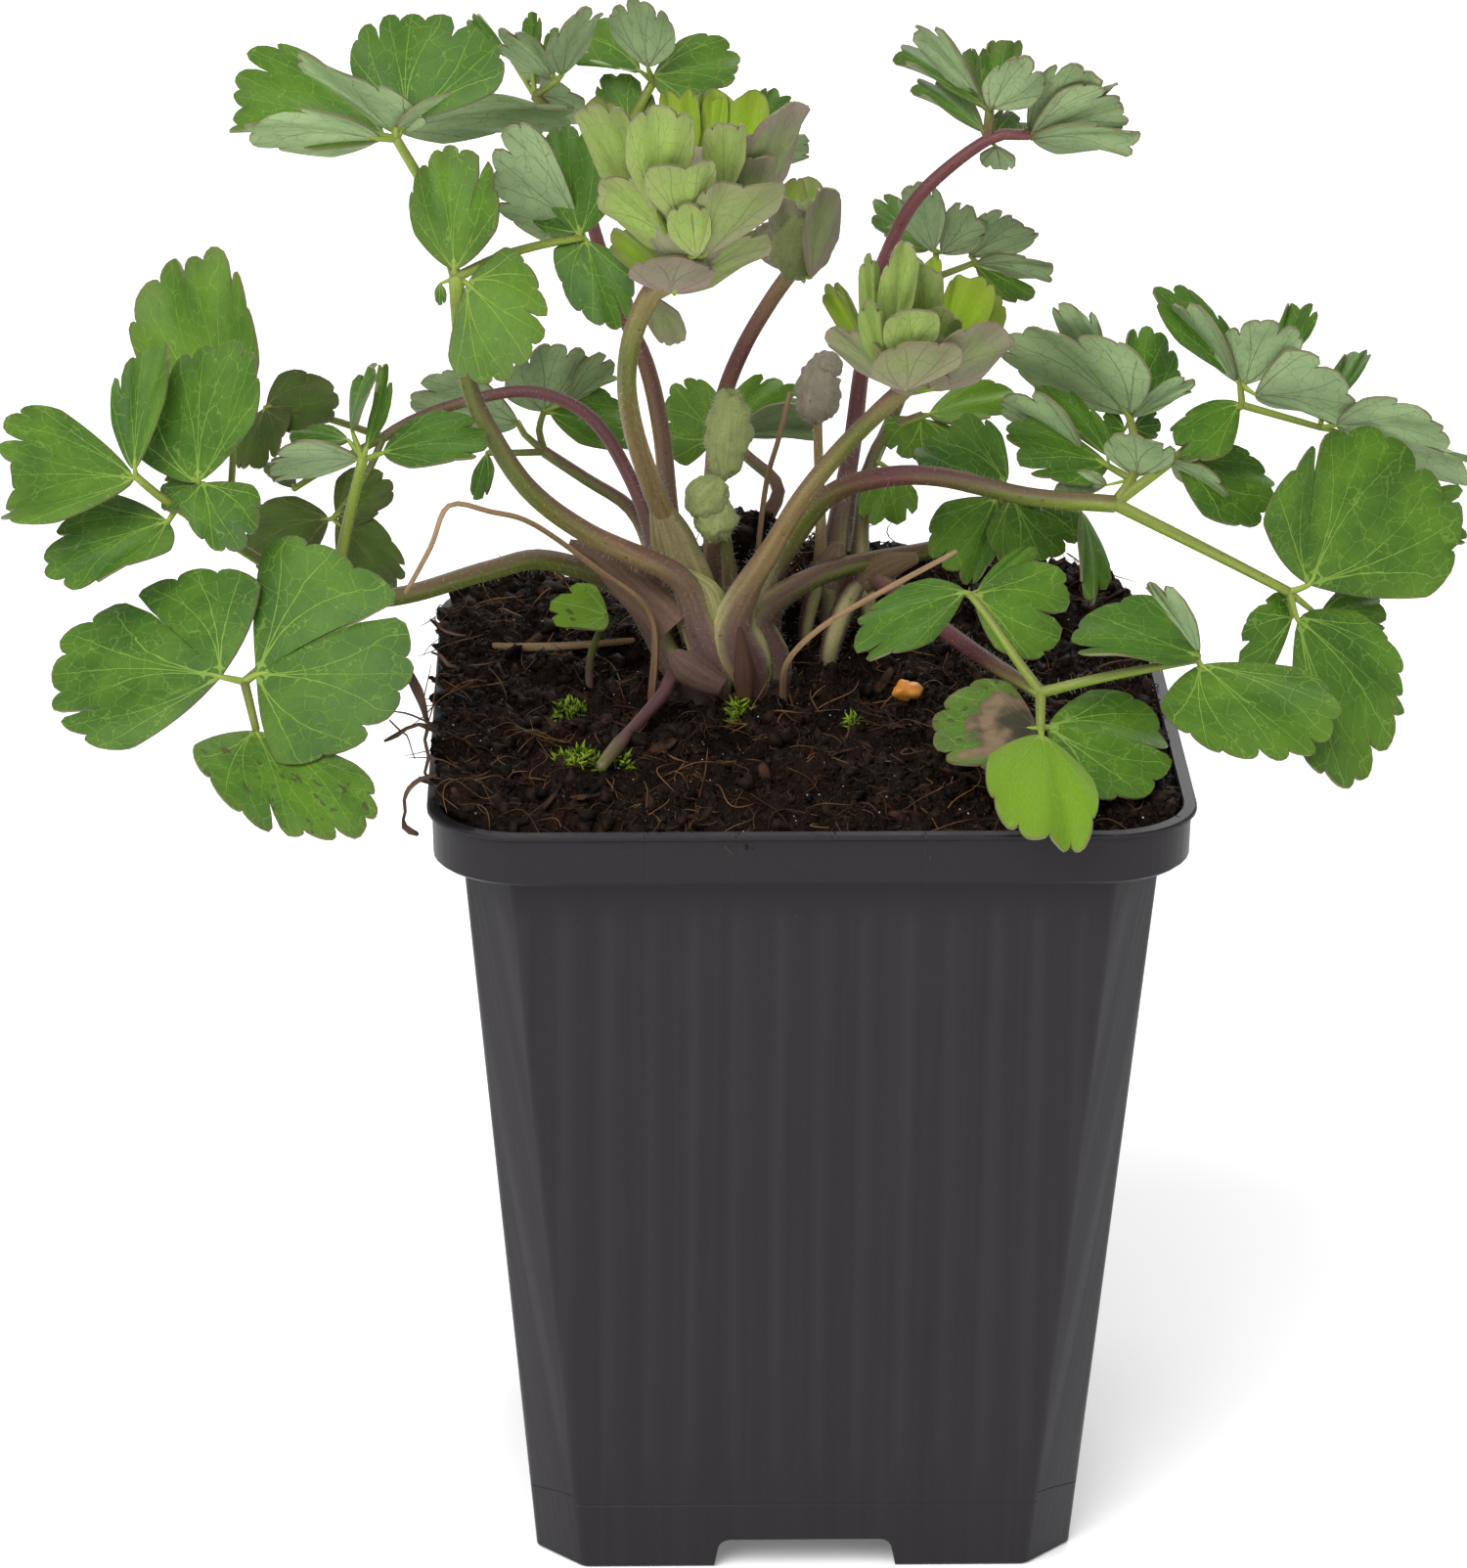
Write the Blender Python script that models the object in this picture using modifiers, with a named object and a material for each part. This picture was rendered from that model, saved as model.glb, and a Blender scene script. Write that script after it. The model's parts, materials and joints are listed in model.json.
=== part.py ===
"""A columbine in a square nursery pot, as a Blender model.

Blender 4.5, metres, +Z up. Every sub-part is one named object. The origin is the bottom centre of the whole
plant and pot; POT_CENTRE says where the pot's own middle stands from there.

The pot is measured in millimetres. The plant is placed by eye: a point of it is the pixel where the
photograph shows it, and its depth in millimetres behind the pot's middle. seen() turns the two into a place.
"""

from collections import namedtuple
from math import cos, exp, pi, radians, sin

import bmesh
import bpy
from mathutils import Matrix, Vector

MM = 0.001
GAP = 0.3  # clearance between neighbours, mm

# The pot's driving dimensions, mm
POT_HEIGHT = 102.3
POT_CENTRE = (7.6, 3.7)
LIP_HALF = 45.5
LIP_THICK = 0.7
RIM_HALF = 44.8
RIM_CORNER = 10.8
RIM_HEIGHT = 6.6
BODY_TOP_HALF = 41.3
BODY_BASE_HALF = 33.3
CHAMFER = 5.8
WALL = 1.0
SKIRT_WALL = 1.8
FLOOR_UNDERSIDE = 4.4
FLOOR_THICK = 1.2
NOTCH_WIDTH = 23.0
NOTCH_HEIGHT = 3.9
DRAIN_RADIUS = 3.6
DRAIN_AT = 17.0
CORNER_POINTS = 4

# The soil, mm
SOIL_EDGE = 101.2
SOIL_CROWN = 2.6
MOUND_HEIGHT = 10.5
MOUND_AT = (5.0, 25.0)
MOUND_SPREAD = (23.0, 14.0)
FOOT_DEPTH = 3.6

# The crown, the woody stock at soil level that the leaves rise from, mm
CROWN_AT = (-9.0, 2.2)
CROWN_HALF = (9.6, 8.2)
CROWN_ABOVE = 1.3
CROWN_BELOW = 6.6

# The camera that took the photograph, in mm and degrees, and its picture in pixels
EYE = Vector((-25.06, -702.73, 361.2))
PITCH, YAW, ROLL = 21.0, 1.35, 0.265
FOCAL = 6209.0
PICTURE_MIDDLE = (750.0, 801.5)

# The leaves, mm
BLADE_THICK = 0.65
FAN_HALF_ANGLE = radians(66)
CRENATION = 0.10
LARGE_BLADE = 15.0
SMALL_BLADE = 10.0
STALK_STEP = 10.0
JOINT = 0.9
FLAT_ENOUGH = 2.0  # degrees between faces that are merged


def clear_scene():
    for thing in list(bpy.data.objects):
        bpy.data.objects.remove(thing)


def new_collection(name):
    collection = bpy.data.collections.new(name)
    bpy.context.scene.collection.children.link(collection)
    return collection


clear_scene()
PLANT = new_collection("potted_columbine")
CUTTERS = new_collection("cutters")


def material(name, colour, roughness):
    made = bpy.data.materials.new(name)
    made.use_nodes = True
    shader = made.node_tree.nodes["Principled BSDF"]
    shader.inputs["Base Color"].default_value = (*colour, 1.0)
    shader.inputs["Roughness"].default_value = roughness
    shader.inputs["Metallic"].default_value = 0.0
    return made


# Seeing the plant through the photograph's camera


def camera_axes():
    pitch, yaw, roll = (radians(a) for a in (PITCH, YAW, ROLL))
    forward = Vector((sin(yaw) * cos(pitch), cos(yaw) * cos(pitch), -sin(pitch)))
    level = Vector((cos(yaw), -sin(yaw), 0.0))
    upright = level.cross(forward)
    right = cos(roll) * level + sin(roll) * upright
    return forward, right, -sin(roll) * level + cos(roll) * upright


FORWARD, RIGHT, UP = camera_axes()


def sight(px, py):
    """The line of sight through a pixel."""
    across = (px - PICTURE_MIDDLE[0]) / FOCAL
    down = (py - PICTURE_MIDDLE[1]) / FOCAL
    return FORWARD + RIGHT * across - UP * down


def seen(px, py, depth):
    """The point seen at a pixel, that many mm behind the pot's middle."""
    ray = sight(px, py)
    return EYE + ray * ((depth - EYE.y) / ray.y)


def seen_on_plane(px, py, point, normal):
    ray = sight(px, py)
    return EYE + ray * ((point - EYE).dot(normal) / ray.dot(normal))


# Meshes


def mesh_object(name, verts, faces):
    mesh = bpy.data.meshes.new(name)
    mesh.from_pydata([Vector(v) * MM for v in verts], [], faces)
    return bpy.data.objects.new(name, mesh)


def finish(obj, finish_material, angle=40):
    """Places a finished object in the plant, on the pot's middle, shaded smooth."""
    obj.data.materials.clear()
    obj.data.materials.append(finish_material)
    obj.data.shade_smooth()
    obj.data.set_sharp_from_angle(angle=radians(angle))
    if obj.name not in PLANT.objects:
        PLANT.objects.link(obj)
    obj.location = (POT_CENTRE[0] * MM, POT_CENTRE[1] * MM, 0.0)
    return obj


def applied(obj):
    """The object as a plain mesh, with its modifiers or its curve worked out."""
    if not obj.users_collection:
        bpy.context.scene.collection.objects.link(obj)
    bpy.context.view_layer.update()
    evaluated = obj.evaluated_get(bpy.context.evaluated_depsgraph_get())
    mesh = bpy.data.meshes.new_from_object(evaluated)
    name = obj.name
    bpy.data.objects.remove(obj)
    return bpy.data.objects.new(name, mesh)


def without_crumbs(mesh):
    """Drops the specks and pockets that crossing blades leave beside the one large body."""
    work = bmesh.new()
    work.from_mesh(mesh)
    unseen = set(work.verts)
    islands = []
    while unseen:
        island = {unseen.pop()}
        edge_of = list(island)
        while edge_of:
            vert = edge_of.pop()
            for edge in vert.link_edges:
                far = edge.other_vert(vert)
                if far not in island:
                    island.add(far)
                    edge_of.append(far)
        unseen -= island
        islands.append(island)
    islands.sort(key=len)
    crumbs = [vert for island in islands[:-1] for vert in island]
    bmesh.ops.delete(work, geom=crumbs, context="VERTS")
    work.to_mesh(mesh)
    work.free()


def merge_flat_faces(mesh):
    work = bmesh.new()
    work.from_mesh(mesh)
    bmesh.ops.dissolve_limit(work, angle_limit=radians(FLAT_ENOUGH), verts=work.verts, edges=work.edges)
    work.to_mesh(mesh)
    work.free()


def united(name, pieces):
    """One body made of overlapping pieces. Thin blades that cross each other need the manifold solver."""
    joining = new_collection("joining")
    body, others = pieces[0], pieces[1:]
    bpy.context.scene.collection.objects.link(body)
    for piece in others:
        joining.objects.link(piece)
    union = body.modifiers.new("union", "BOOLEAN")
    union.operation = "UNION"
    union.operand_type = "COLLECTION"
    union.collection = joining
    union.solver = "MANIFOLD"
    whole = applied(body)
    for piece in others:
        bpy.data.objects.remove(piece)
    bpy.data.collections.remove(joining)
    without_crumbs(whole.data)
    whole.name = whole.data.name = name
    return whole


def cut(obj, cutters):
    for cutter in cutters:
        cutter.hide_render = True
        cutter.display_type = "WIRE"
        CUTTERS.objects.link(cutter)
        hole = obj.modifiers.new("cut", "BOOLEAN")
        hole.operation = "DIFFERENCE"
        hole.object = cutter
        hole.solver = "EXACT"


def smooth_route(points, step=STALK_STEP):
    """Points on the smooth curve through the route's own points."""
    ends = [2 * points[0] - points[1]] + list(points) + [2 * points[-1] - points[-2]]
    route = []
    for a, b, c, d in zip(ends, ends[1:], ends[2:], ends[3:]):
        count = max(1, round((c - b).length / step))
        for i in range(count):
            t = i / count
            route.append(
                0.5 * (2 * b + (c - a) * t + (2 * a - 5 * b + 4 * c - d) * t * t + (3 * b - a - 3 * c + d) * t**3)
            )
    return route + [points[-1]]


def tube(name, route, thick, slim=False):
    """A stem along a route. thick lists its radius at even steps from foot to tip. A slim one has four sides."""
    curve = bpy.data.curves.new(name, "CURVE")
    curve.dimensions = "3D"
    curve.bevel_depth = MM
    curve.bevel_resolution = 0 if slim else 1
    curve.use_fill_caps = True
    spline = curve.splines.new("POLY")
    spline.points.add(len(route) - 1)
    for i, point in enumerate(route):
        place = i / (len(route) - 1) * (len(thick) - 1)
        k = min(int(place), len(thick) - 2)
        spline.points[i].co = (*(point * MM), 1.0)
        spline.points[i].radius = thick[k] + (thick[k + 1] - thick[k]) * (place - k)
    made = applied(bpy.data.objects.new(name, curve))
    work = bmesh.new()
    work.from_mesh(made.data)
    bmesh.ops.remove_doubles(work, verts=work.verts, dist=0.00001)
    bmesh.ops.recalc_face_normals(work, faces=work.faces)
    work.to_mesh(made.data)
    work.free()
    return made


# The pot


def square_ring(half, height, corner, rounded):
    """A square ring of points whose corners are cut straight or rounded."""
    ring = []
    for quarter in range(4):
        turn = Matrix.Rotation(quarter * pi / 2, 3, "Z")
        for i in range(CORNER_POINTS):
            part = i / (CORNER_POINTS - 1)
            if rounded:
                x = half - corner + corner * sin(part * pi / 2)
                y = -half + corner - corner * cos(part * pi / 2)
            else:
                x, y = half - corner + corner * part, -half + corner * part
            ring.append(turn @ Vector((x, y, height)))
    return ring


def loft(name, rings):
    """A closed solid through rings with equal numbers of points, first and last capped."""
    count = len(rings[0])
    verts = [v for ring in rings for v in ring]
    faces = [list(range(count))[::-1], list(range(len(verts) - count, len(verts)))]
    for k in range(len(rings) - 1):
        for i in range(count):
            j = (i + 1) % count
            faces.append((k * count + i, k * count + j, (k + 1) * count + j, (k + 1) * count + i))
    return mesh_object(name, verts, faces)


def body_half(z):
    """Half the width of the tapered body at a height."""
    top = POT_HEIGHT - RIM_HEIGHT
    return BODY_BASE_HALF + (BODY_TOP_HALF - BODY_BASE_HALF) * z / top


def make_pot():
    rim_bottom = POT_HEIGHT - RIM_HEIGHT
    floor_top = FLOOR_UNDERSIDE + FLOOR_THICK
    lip_under = POT_HEIGHT - LIP_THICK
    rim_inner = RIM_HALF - WALL
    rings = [
        square_ring(BODY_BASE_HALF - SKIRT_WALL, FLOOR_UNDERSIDE, CHAMFER - WALL, False),
        square_ring(BODY_BASE_HALF - SKIRT_WALL, 0.0, CHAMFER - WALL, False),
        square_ring(BODY_BASE_HALF, 0.0, CHAMFER, False),
        square_ring(BODY_TOP_HALF, rim_bottom, CHAMFER, False),
        square_ring(RIM_HALF, rim_bottom + 0.3, RIM_CORNER, True),
        square_ring(RIM_HALF, lip_under, RIM_CORNER, True),
        square_ring(LIP_HALF, lip_under, RIM_CORNER, True),
        square_ring(LIP_HALF, POT_HEIGHT, RIM_CORNER, True),
        square_ring(rim_inner, POT_HEIGHT, RIM_CORNER - WALL, True),
        square_ring(rim_inner, rim_bottom + 1.5, RIM_CORNER - WALL, True),
        square_ring(BODY_TOP_HALF - WALL, rim_bottom + 1.2, CHAMFER - WALL / 2, False),
        square_ring(body_half(floor_top) - WALL, floor_top, CHAMFER - WALL / 2, False),
    ]
    pot = loft("pot", rings)
    cutters = []
    for side in range(4):
        notch = bmesh.new()
        bmesh.ops.create_cube(notch, size=1.0)
        size = Vector((NOTCH_WIDTH, 3 * SKIRT_WALL, 2 * NOTCH_HEIGHT)) * MM
        bmesh.ops.scale(notch, vec=size, verts=notch.verts)
        for v in notch.verts:
            if v.co.z > 0:
                v.co.x *= 0.92
        mesh = bpy.data.meshes.new(f"notch_cutter_{side}")
        notch.to_mesh(mesh)
        notch.free()
        cutter = bpy.data.objects.new(mesh.name, mesh)
        turn = Matrix.Rotation(side * pi / 2, 4, "Z")
        cutter.matrix_world = turn @ Matrix.Translation((0, -(BODY_BASE_HALF - SKIRT_WALL / 2) * MM, 0))
        cutters.append(cutter)
    for x in (-DRAIN_AT, DRAIN_AT):
        for y in (-DRAIN_AT, DRAIN_AT):
            cutters.append(cylinder("drain_cutter", x, y, 0.0, floor_top + 2.0, DRAIN_RADIUS, 8))
    cut(pot, cutters)
    whole = applied(pot)
    return finish(whole, material("pot_plastic", (0.045, 0.042, 0.047), 0.45), 30)


def cylinder(name, x, y, low, high, radius, sides):
    work = bmesh.new()
    bmesh.ops.create_cone(
        work,
        cap_ends=True,
        segments=sides,
        radius1=radius * MM,
        radius2=radius * MM,
        depth=(high - low) * MM,
        matrix=Matrix.Translation(Vector((x, y, (low + high) / 2)) * MM),
    )
    mesh = bpy.data.meshes.new(name)
    work.to_mesh(mesh)
    work.free()
    return bpy.data.objects.new(name, mesh)


# The soil


def soil_height(x, y):
    """The top of the soil: a low crown, a mound behind the middle, and small clods."""
    edge = max(abs(x), abs(y)) / (RIM_HALF - WALL)
    crown = SOIL_CROWN * (1 - min(edge, 1.0) ** 4)
    over = ((x - MOUND_AT[0]) / MOUND_SPREAD[0]) ** 2 + ((y - MOUND_AT[1]) / MOUND_SPREAD[1]) ** 2
    clods = 0.35 * sin(0.55 * x + 1.0) * cos(0.47 * y) + 0.25 * sin(0.9 * x - 0.7 * y)
    return SOIL_EDGE + crown + MOUND_HEIGHT * exp(-over) + clods * (1 - min(edge, 1.0) ** 8)


def socket(name, foot):
    """The hole that a stem stands in, with a little clearance."""
    low = soil_height(foot.x, foot.y) - FOOT_DEPTH - GAP
    return cylinder(f"hole_{name}", foot.x, foot.y, low, POT_HEIGHT + 20.0, foot.radius + GAP + 0.25, 6)


def egg(name, centre, half, lean=0.0, segments=(8, 6)):
    """A closed ball stretched to its half sizes in mm, and leant about the picture's depth."""
    work = bmesh.new()
    bmesh.ops.create_uvsphere(work, u_segments=segments[0], v_segments=segments[1], radius=MM)
    for v in work.verts:
        v.co.x *= half[0]
        v.co.y *= half[1]
        v.co.z *= half[2]
    place = Matrix.Translation(centre * MM) @ Matrix.Rotation(radians(lean), 4, "Y")
    bmesh.ops.transform(work, matrix=place, verts=work.verts)
    mesh = bpy.data.meshes.new(name)
    work.to_mesh(mesh)
    work.free()
    return bpy.data.objects.new(name, mesh)


def crown_shape(name, larger):
    """A dome that stands a little above the soil, on a deeper bowl below it."""
    middle = Vector((*CROWN_AT, soil_height(*CROWN_AT)))
    crown = egg(name, Vector(), (CROWN_HALF[0] + larger, CROWN_HALF[1] + larger, 1.0), segments=(10, 6))
    for v in crown.data.vertices:
        deep = CROWN_ABOVE if v.co.z > 0 else CROWN_BELOW
        v.co.z *= deep + larger
        v.co += middle * MM
    return crown


def make_soil(feet):
    rim_bottom = POT_HEIGHT - RIM_HEIGHT
    floor_top = FLOOR_UNDERSIDE + FLOOR_THICK + GAP
    side = WALL + GAP
    rings = [
        square_ring(body_half(floor_top) - side - 0.1, floor_top, CHAMFER - WALL / 2, False),
        square_ring(BODY_TOP_HALF - side - 0.1, rim_bottom + 1.2, CHAMFER - WALL / 2, False),
        square_ring(RIM_HALF - side, rim_bottom + 1.5 + GAP, RIM_CORNER - side, True),
    ]
    top = square_ring(RIM_HALF - side, 0.0, RIM_CORNER - side, True)
    for share in (1.0, 0.93, 0.8, 0.62, 0.42, 0.22):
        rings.append([Vector((v.x * share, v.y * share, soil_height(v.x * share, v.y * share))) for v in top])
    soil = loft("soil", rings)
    cutters = []
    for name, foot in feet.items():
        cutters.append(socket(name, foot))
    cutters.append(crown_shape("crown_pit", GAP + 0.1))
    cut(soil, cutters)
    whole = applied(soil)
    return finish(whole, material("soil", (0.022, 0.014, 0.009), 0.95), 60)


# Leaflets: a leaflet is flat in fan coordinates, a turn from -1 to 1 across the fan and a radius from 0 to 1

Leaflet = namedtuple("Leaflet", "base tip side other faces lobes cuts fold")
Foot = namedtuple("Foot", "x y radius")


def leaflet(base, tip, side, other, faces, lobes=(2, 3, 2), cuts=(0.12, 0.12), fold=0.0):
    """A fan-shaped blade.

    base is the pixel and depth where it leaves its stalk. tip, side and other are the pixels of the middle of
    its margin and of its two widest points. faces is the azimuth and elevation in degrees towards which its
    upper face looks: 0 is the viewer's side, more than 90 up leans away. lobes counts the rounded teeth of
    each lobe, cuts is how deep the margin is cut between them, and fold lifts its sides, in mm.
    """
    return Leaflet(base, tip, side, other, faces, lobes, cuts, fold)


def fan_margin(lobes, cuts, steps):
    """The margin of a blade: each lobe is as wide as its count of teeth and runs from one cut to the next."""
    bounds = [sum(lobes[:i]) / sum(lobes) * 2 - 1 for i in range(len(lobes) + 1)]
    valleys = [1 - CRENATION, *(1 - depth for depth in cuts), 1 - CRENATION]
    margin = []
    for i in range(len(lobes)):
        for step in steps:
            turn = bounds[i] + (bounds[i + 1] - bounds[i]) * step
            valley = valleys[i] if step < 0.5 else valleys[i + 1]
            swell = 1 - abs(2 * step - 1) ** 4
            margin.append((turn, reach(turn) * (valley + (1 - valley) * swell)))
    return margin + [(1.0, reach(1.0) * valleys[-1])]


def reach(turn):
    """How far the margin lies from the base: less at the fan's sides."""
    return 1 - 0.28 * abs(turn) ** 2.6


class Blade:
    """The curved surface of one leaflet, from flat fan coordinates to a place in mm."""

    def __init__(self, shape):
        azimuth, elevation = (radians(a) for a in shape.faces)
        normal = Vector((sin(azimuth) * cos(elevation), -cos(azimuth) * cos(elevation), sin(elevation)))
        self.base = seen(*shape.base)
        tip, side, other = (
            seen_on_plane(*pixel, self.base, normal) for pixel in (shape.tip, shape.side, shape.other)
        )
        if (other - side).cross(tip - self.base).dot(normal) < 0:
            side, other = other, side
        self.normal = normal
        lift = normal * shape.fold
        margin = fan_margin(shape.lobes, shape.cuts, (0.0, 0.2, 0.5, 0.8))
        flat = [self.flatten(turn, radius) for turn, radius in margin]
        left = min(flat)
        right = max(flat)
        self.along = tip - self.base
        half_left = (side + lift - self.base - left[1] * self.along) / -left[0]
        half_right = (other + lift - self.base - right[1] * self.along) / right[0]
        self.across = (half_right - half_left) / 2
        self.crease = (half_right + half_left) / 2
        self.length = self.along.length

    @staticmethod
    def flatten(turn, radius):
        angle = turn * FAN_HALF_ANGLE
        return radius * sin(angle), radius * cos(angle)

    def point(self, turn, radius):
        u, v = self.flatten(turn, radius)
        ridge = (u * u + 0.01) ** 0.5 - 0.1
        arch = 0.05 * self.length * 4 * v * (1 - v)
        wave = 0.025 * self.length * radius * radius * sin(2.2 * pi * turn + 1.0)
        return self.base + v * self.along + u * self.across + ridge * self.crease + (arch + wave) * self.normal


def blade_pieces(name, shape, hub, stalk):
    """A leaflet as a thin closed sheet: a triangulated fan, and its short stalk from the hub, made thick."""
    blade = Blade(shape)
    steps = (0.0, 0.25, 0.75)
    if blade.length > LARGE_BLADE:
        steps = (0.0, 0.2, 0.5, 0.8)
    elif blade.length < SMALL_BLADE:
        steps = (0.0, 0.5)
    margin = fan_margin(shape.lobes, shape.cuts, steps)
    inner = [(turn, 0.5 * radius) for turn, radius in margin[:: len(steps)]]
    start = seen(*hub)
    run = blade.base - start
    half_width = blade.across.normalized() * stalk
    pieces = []
    if run.length < 0.8:
        verts, left, right = [start], 0, 0
        faces = []
    elif run.dot(blade.along) > 0.3 * run.length * blade.length:
        verts = [start - half_width, start + half_width, blade.base + half_width, blade.base - half_width]
        left, right = 3, 2
        faces = [(0, 1, 2, 3)]
    else:
        verts, left, right = [blade.base], 0, 0
        faces = []
        pieces.append(tube(name, [start, blade.base, blade.point(0.0, 2.0 / blade.length)], (stalk, stalk), slim=True))
    ring = len(verts)
    if blade.length < LARGE_BLADE:
        verts += [blade.point(*place) for place in margin]
        middle = len(margin) // 2
        faces += [(left, ring + i + 1, ring + i) for i in range(middle)]
        faces += [(right, ring + i + 1, ring + i) for i in range(middle, len(margin) - 1)]
    else:
        verts += [blade.point(*place) for place in inner + margin]
        rim = ring + len(inner)
        middle = len(inner) // 2
        for lobe in range(len(shape.lobes)):
            outer = rim + lobe * len(steps)
            half = len(steps) // 2
            faces.append((left if lobe < middle else right, ring + lobe + 1, ring + lobe))
            faces += [(ring + lobe, outer + i + 1, outer + i) for i in range(half)]
            faces.append((ring + lobe, ring + lobe + 1, outer + half))
            faces += [(ring + lobe + 1, outer + i + 1, outer + i) for i in range(half, len(steps))]
    if left != right:
        faces.append((left, right, ring + middle))
    piece = mesh_object(name, verts, faces)
    thick = piece.modifiers.new("thick", "SOLIDIFY")
    thick.thickness = BLADE_THICK * MM
    thick.offset = 0.0
    return pieces + [applied(piece)]


def past_end(route):
    """The route run on past its last point, so that what joins it there starts inside it."""
    return route[:-1] + [route[-1] + (route[-1] - route[-2]).normalized() * JOINT]


def grow(name, foot, stem, thick, stalks=(), sprays=(), lumps=(), colour=(0.07, 0.2, 0.03)):
    """A leaf or shoot: a stem from its hole in the soil, stalks, and sprays of blades round their hubs."""
    ground = soil_height(foot.x, foot.y)
    route = [Vector((foot.x, foot.y, ground - FOOT_DEPTH)), Vector((foot.x, foot.y, ground + CROWN_ABOVE + 1.2))]
    route += [seen(*point) for point in stem]
    pieces = [tube(name, past_end(smooth_route(route)), (foot.radius,) + tuple(thick))]
    for points, radii in stalks:
        pieces.append(tube(name, past_end(smooth_route([seen(*point) for point in points])), radii, slim=True))
    for hub, radius, shapes in sprays:
        for shape in shapes:
            pieces += blade_pieces(name, shape, hub, radius)
    pieces += [egg(name, seen(*pixel), *rest) for pixel, *rest in lumps]
    made = united(name, pieces)
    merge_flat_faces(made.data)
    return finish(made, material(name, colour, 0.55), 50)


# Where each stem stands in the soil: x and y from the pot's middle, and its radius, mm

FEET = {
    "leaf_left_front": Foot(-15.6, -0.5, 1.2),
    "leaf_top_left": Foot(-10.7, -3.2, 1.5),
    "rosette_right": Foot(-6.5, -2.9, 1.6),
    "leaf_right_low": Foot(-3.0, 0.2, 1.3),
    "rosette_left": Foot(-11.8, 3.0, 1.3),
    "bud_shoot_front": Foot(-7.7, 1.2, 1.1),
    "leaf_right": Foot(-4.4, 4.2, 1.5),
    "leaf_top_back": Foot(-13.6, 9.4, 1.3),
    "furled_leaf": Foot(-8.6, 5.6, 1.3),
    "bud_shoot_back": Foot(0.6, 8.6, 1.0),
    "leaf_right_front": Foot(3.6, 5.0, 1.3),
    "leaf_top_right": Foot(3.2, 12.0, 1.5),
    "leaf_right_back_low": Foot(8.4, 9.5, 1.2),
    "leaf_back_left": Foot(-17.0, 14.2, 1.1),
    "leaf_back": Foot(-2.0, 15.4, 1.1),
    "leaf_right_back_top": Foot(3.0, 18.2, 1.2),
    "leaf_left_back": Foot(-16.8, 5.2, 1.1),
    "seedling": Foot(-26.2, 5.0, 0.7),
    "dry_stalk_left": Foot(-18.6, -5.8, 0.6),
    "dry_stalk_back": Foot(-6.0, 13.0, 0.6),
    "dry_stalk_right": Foot(-2.6, -6.8, 0.6),
}


def leaf_left_front():
    fork = (338, 617, -18)
    top, far, near, low, side, back = (
        (371, 470, -16),
        (139, 487, -24),
        (250, 697, -33),
        (262, 746, -35),
        (206, 496, -22),
        (239, 442, -11),
    )
    stalks = [
        ([fork, (345, 590, -17), (355, 540, -16), top], (1.0, 0.8)),
        ([fork, (280, 582, -20), (190, 525, -22), (160, 505, -23), far], (0.95, 0.6)),
        ([fork, (300, 655, -24), near], (0.9, 0.7)),
        ([near, low], (0.7, 0.6)),
        ([(222, 546, -21.4), side], (0.6, 0.6)),
        ([(228, 550, -21.3), (236, 500, -16), back], (0.6, 0.5)),
    ]
    sprays = [
        (near, 0.6, [
            leaflet((226, 692, -33), (70, 655), (112, 772), (258, 592), (-38, 40), (2, 4, 3), (0.33, 0.6), 1.0),
            leaflet((262, 690, -33), (428, 668), (298, 552), (312, 784), (-18, 35), (3, 3, 2), (0.65, 0.15), 1.0),
        ]),
        (low, 0.55, [
            leaflet((262, 748, -35), (318, 862), (388, 815), (207, 795), (-23, 60), (3, 2, 3), (0.15, 0.35), 1.0),
        ]),
        (far, 0.5, [
            leaflet((137, 489, -24), (14, 492), (20, 540), (30, 417), (-43, 45), (2, 3, 2)),
            leaflet((138, 480, -24), (150, 362), (119, 393), (177, 372), (-28, 25), (1, 3, 1)),
        ]),
        ((180, 520, -22.5), 0.5, [
            leaflet((172, 533, -23), (52, 592), (85, 512), (150, 572), (-38, 50), (2, 3, 2), (0.2, 0.2), -1.0),
        ]),
        (side, 0.5, [
            leaflet((203, 493, -23), (212, 356), (142, 440), (269, 398), (-28, 15), (2, 3, 2), (0.15, 0.1)),
            leaflet((208, 494, -23), (232, 566), (270, 510), (188, 522), (-28, 40), (2, 2, 2), (0.15, 0.15)),
        ]),
        (back, 0.5, [
            leaflet((238, 440, -11), (203, 258), (140, 345), (262, 330), (-33, 15), (3, 2, 2), (0.15, 0.2)),
        ]),
        (top, 0.55, [
            leaflet((366, 469, -16), (277, 478), (310, 455), (300, 494), (5, 140), (2, 2, 2)),
            leaflet((356, 450, -15), (298, 448), (335, 437), (332, 459), (-56, 60), (1, 2, 1)),
            leaflet((360, 440, -15), (384, 373), (364, 405), (378, 410), (-75, 10), (1, 2, 1)),
            leaflet((374, 460, -16), (390, 373), (379, 420), (397, 418), (26, 10), (1, 2, 1)),
            leaflet((392, 463, -15), (502, 450), (445, 426), (450, 479), (-13, 60), (2, 2, 2)),
        ]),
    ]
    stem = [(640, 606, 2.2), (560, 573, -4.1), (500, 583, -9), (415, 608, -15), fork]
    return grow("leaf_left_front", FEET["leaf_left_front"], stem, (1.4, 1.6, 1.5, 1.4, 1.3), stalks, sprays)


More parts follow.
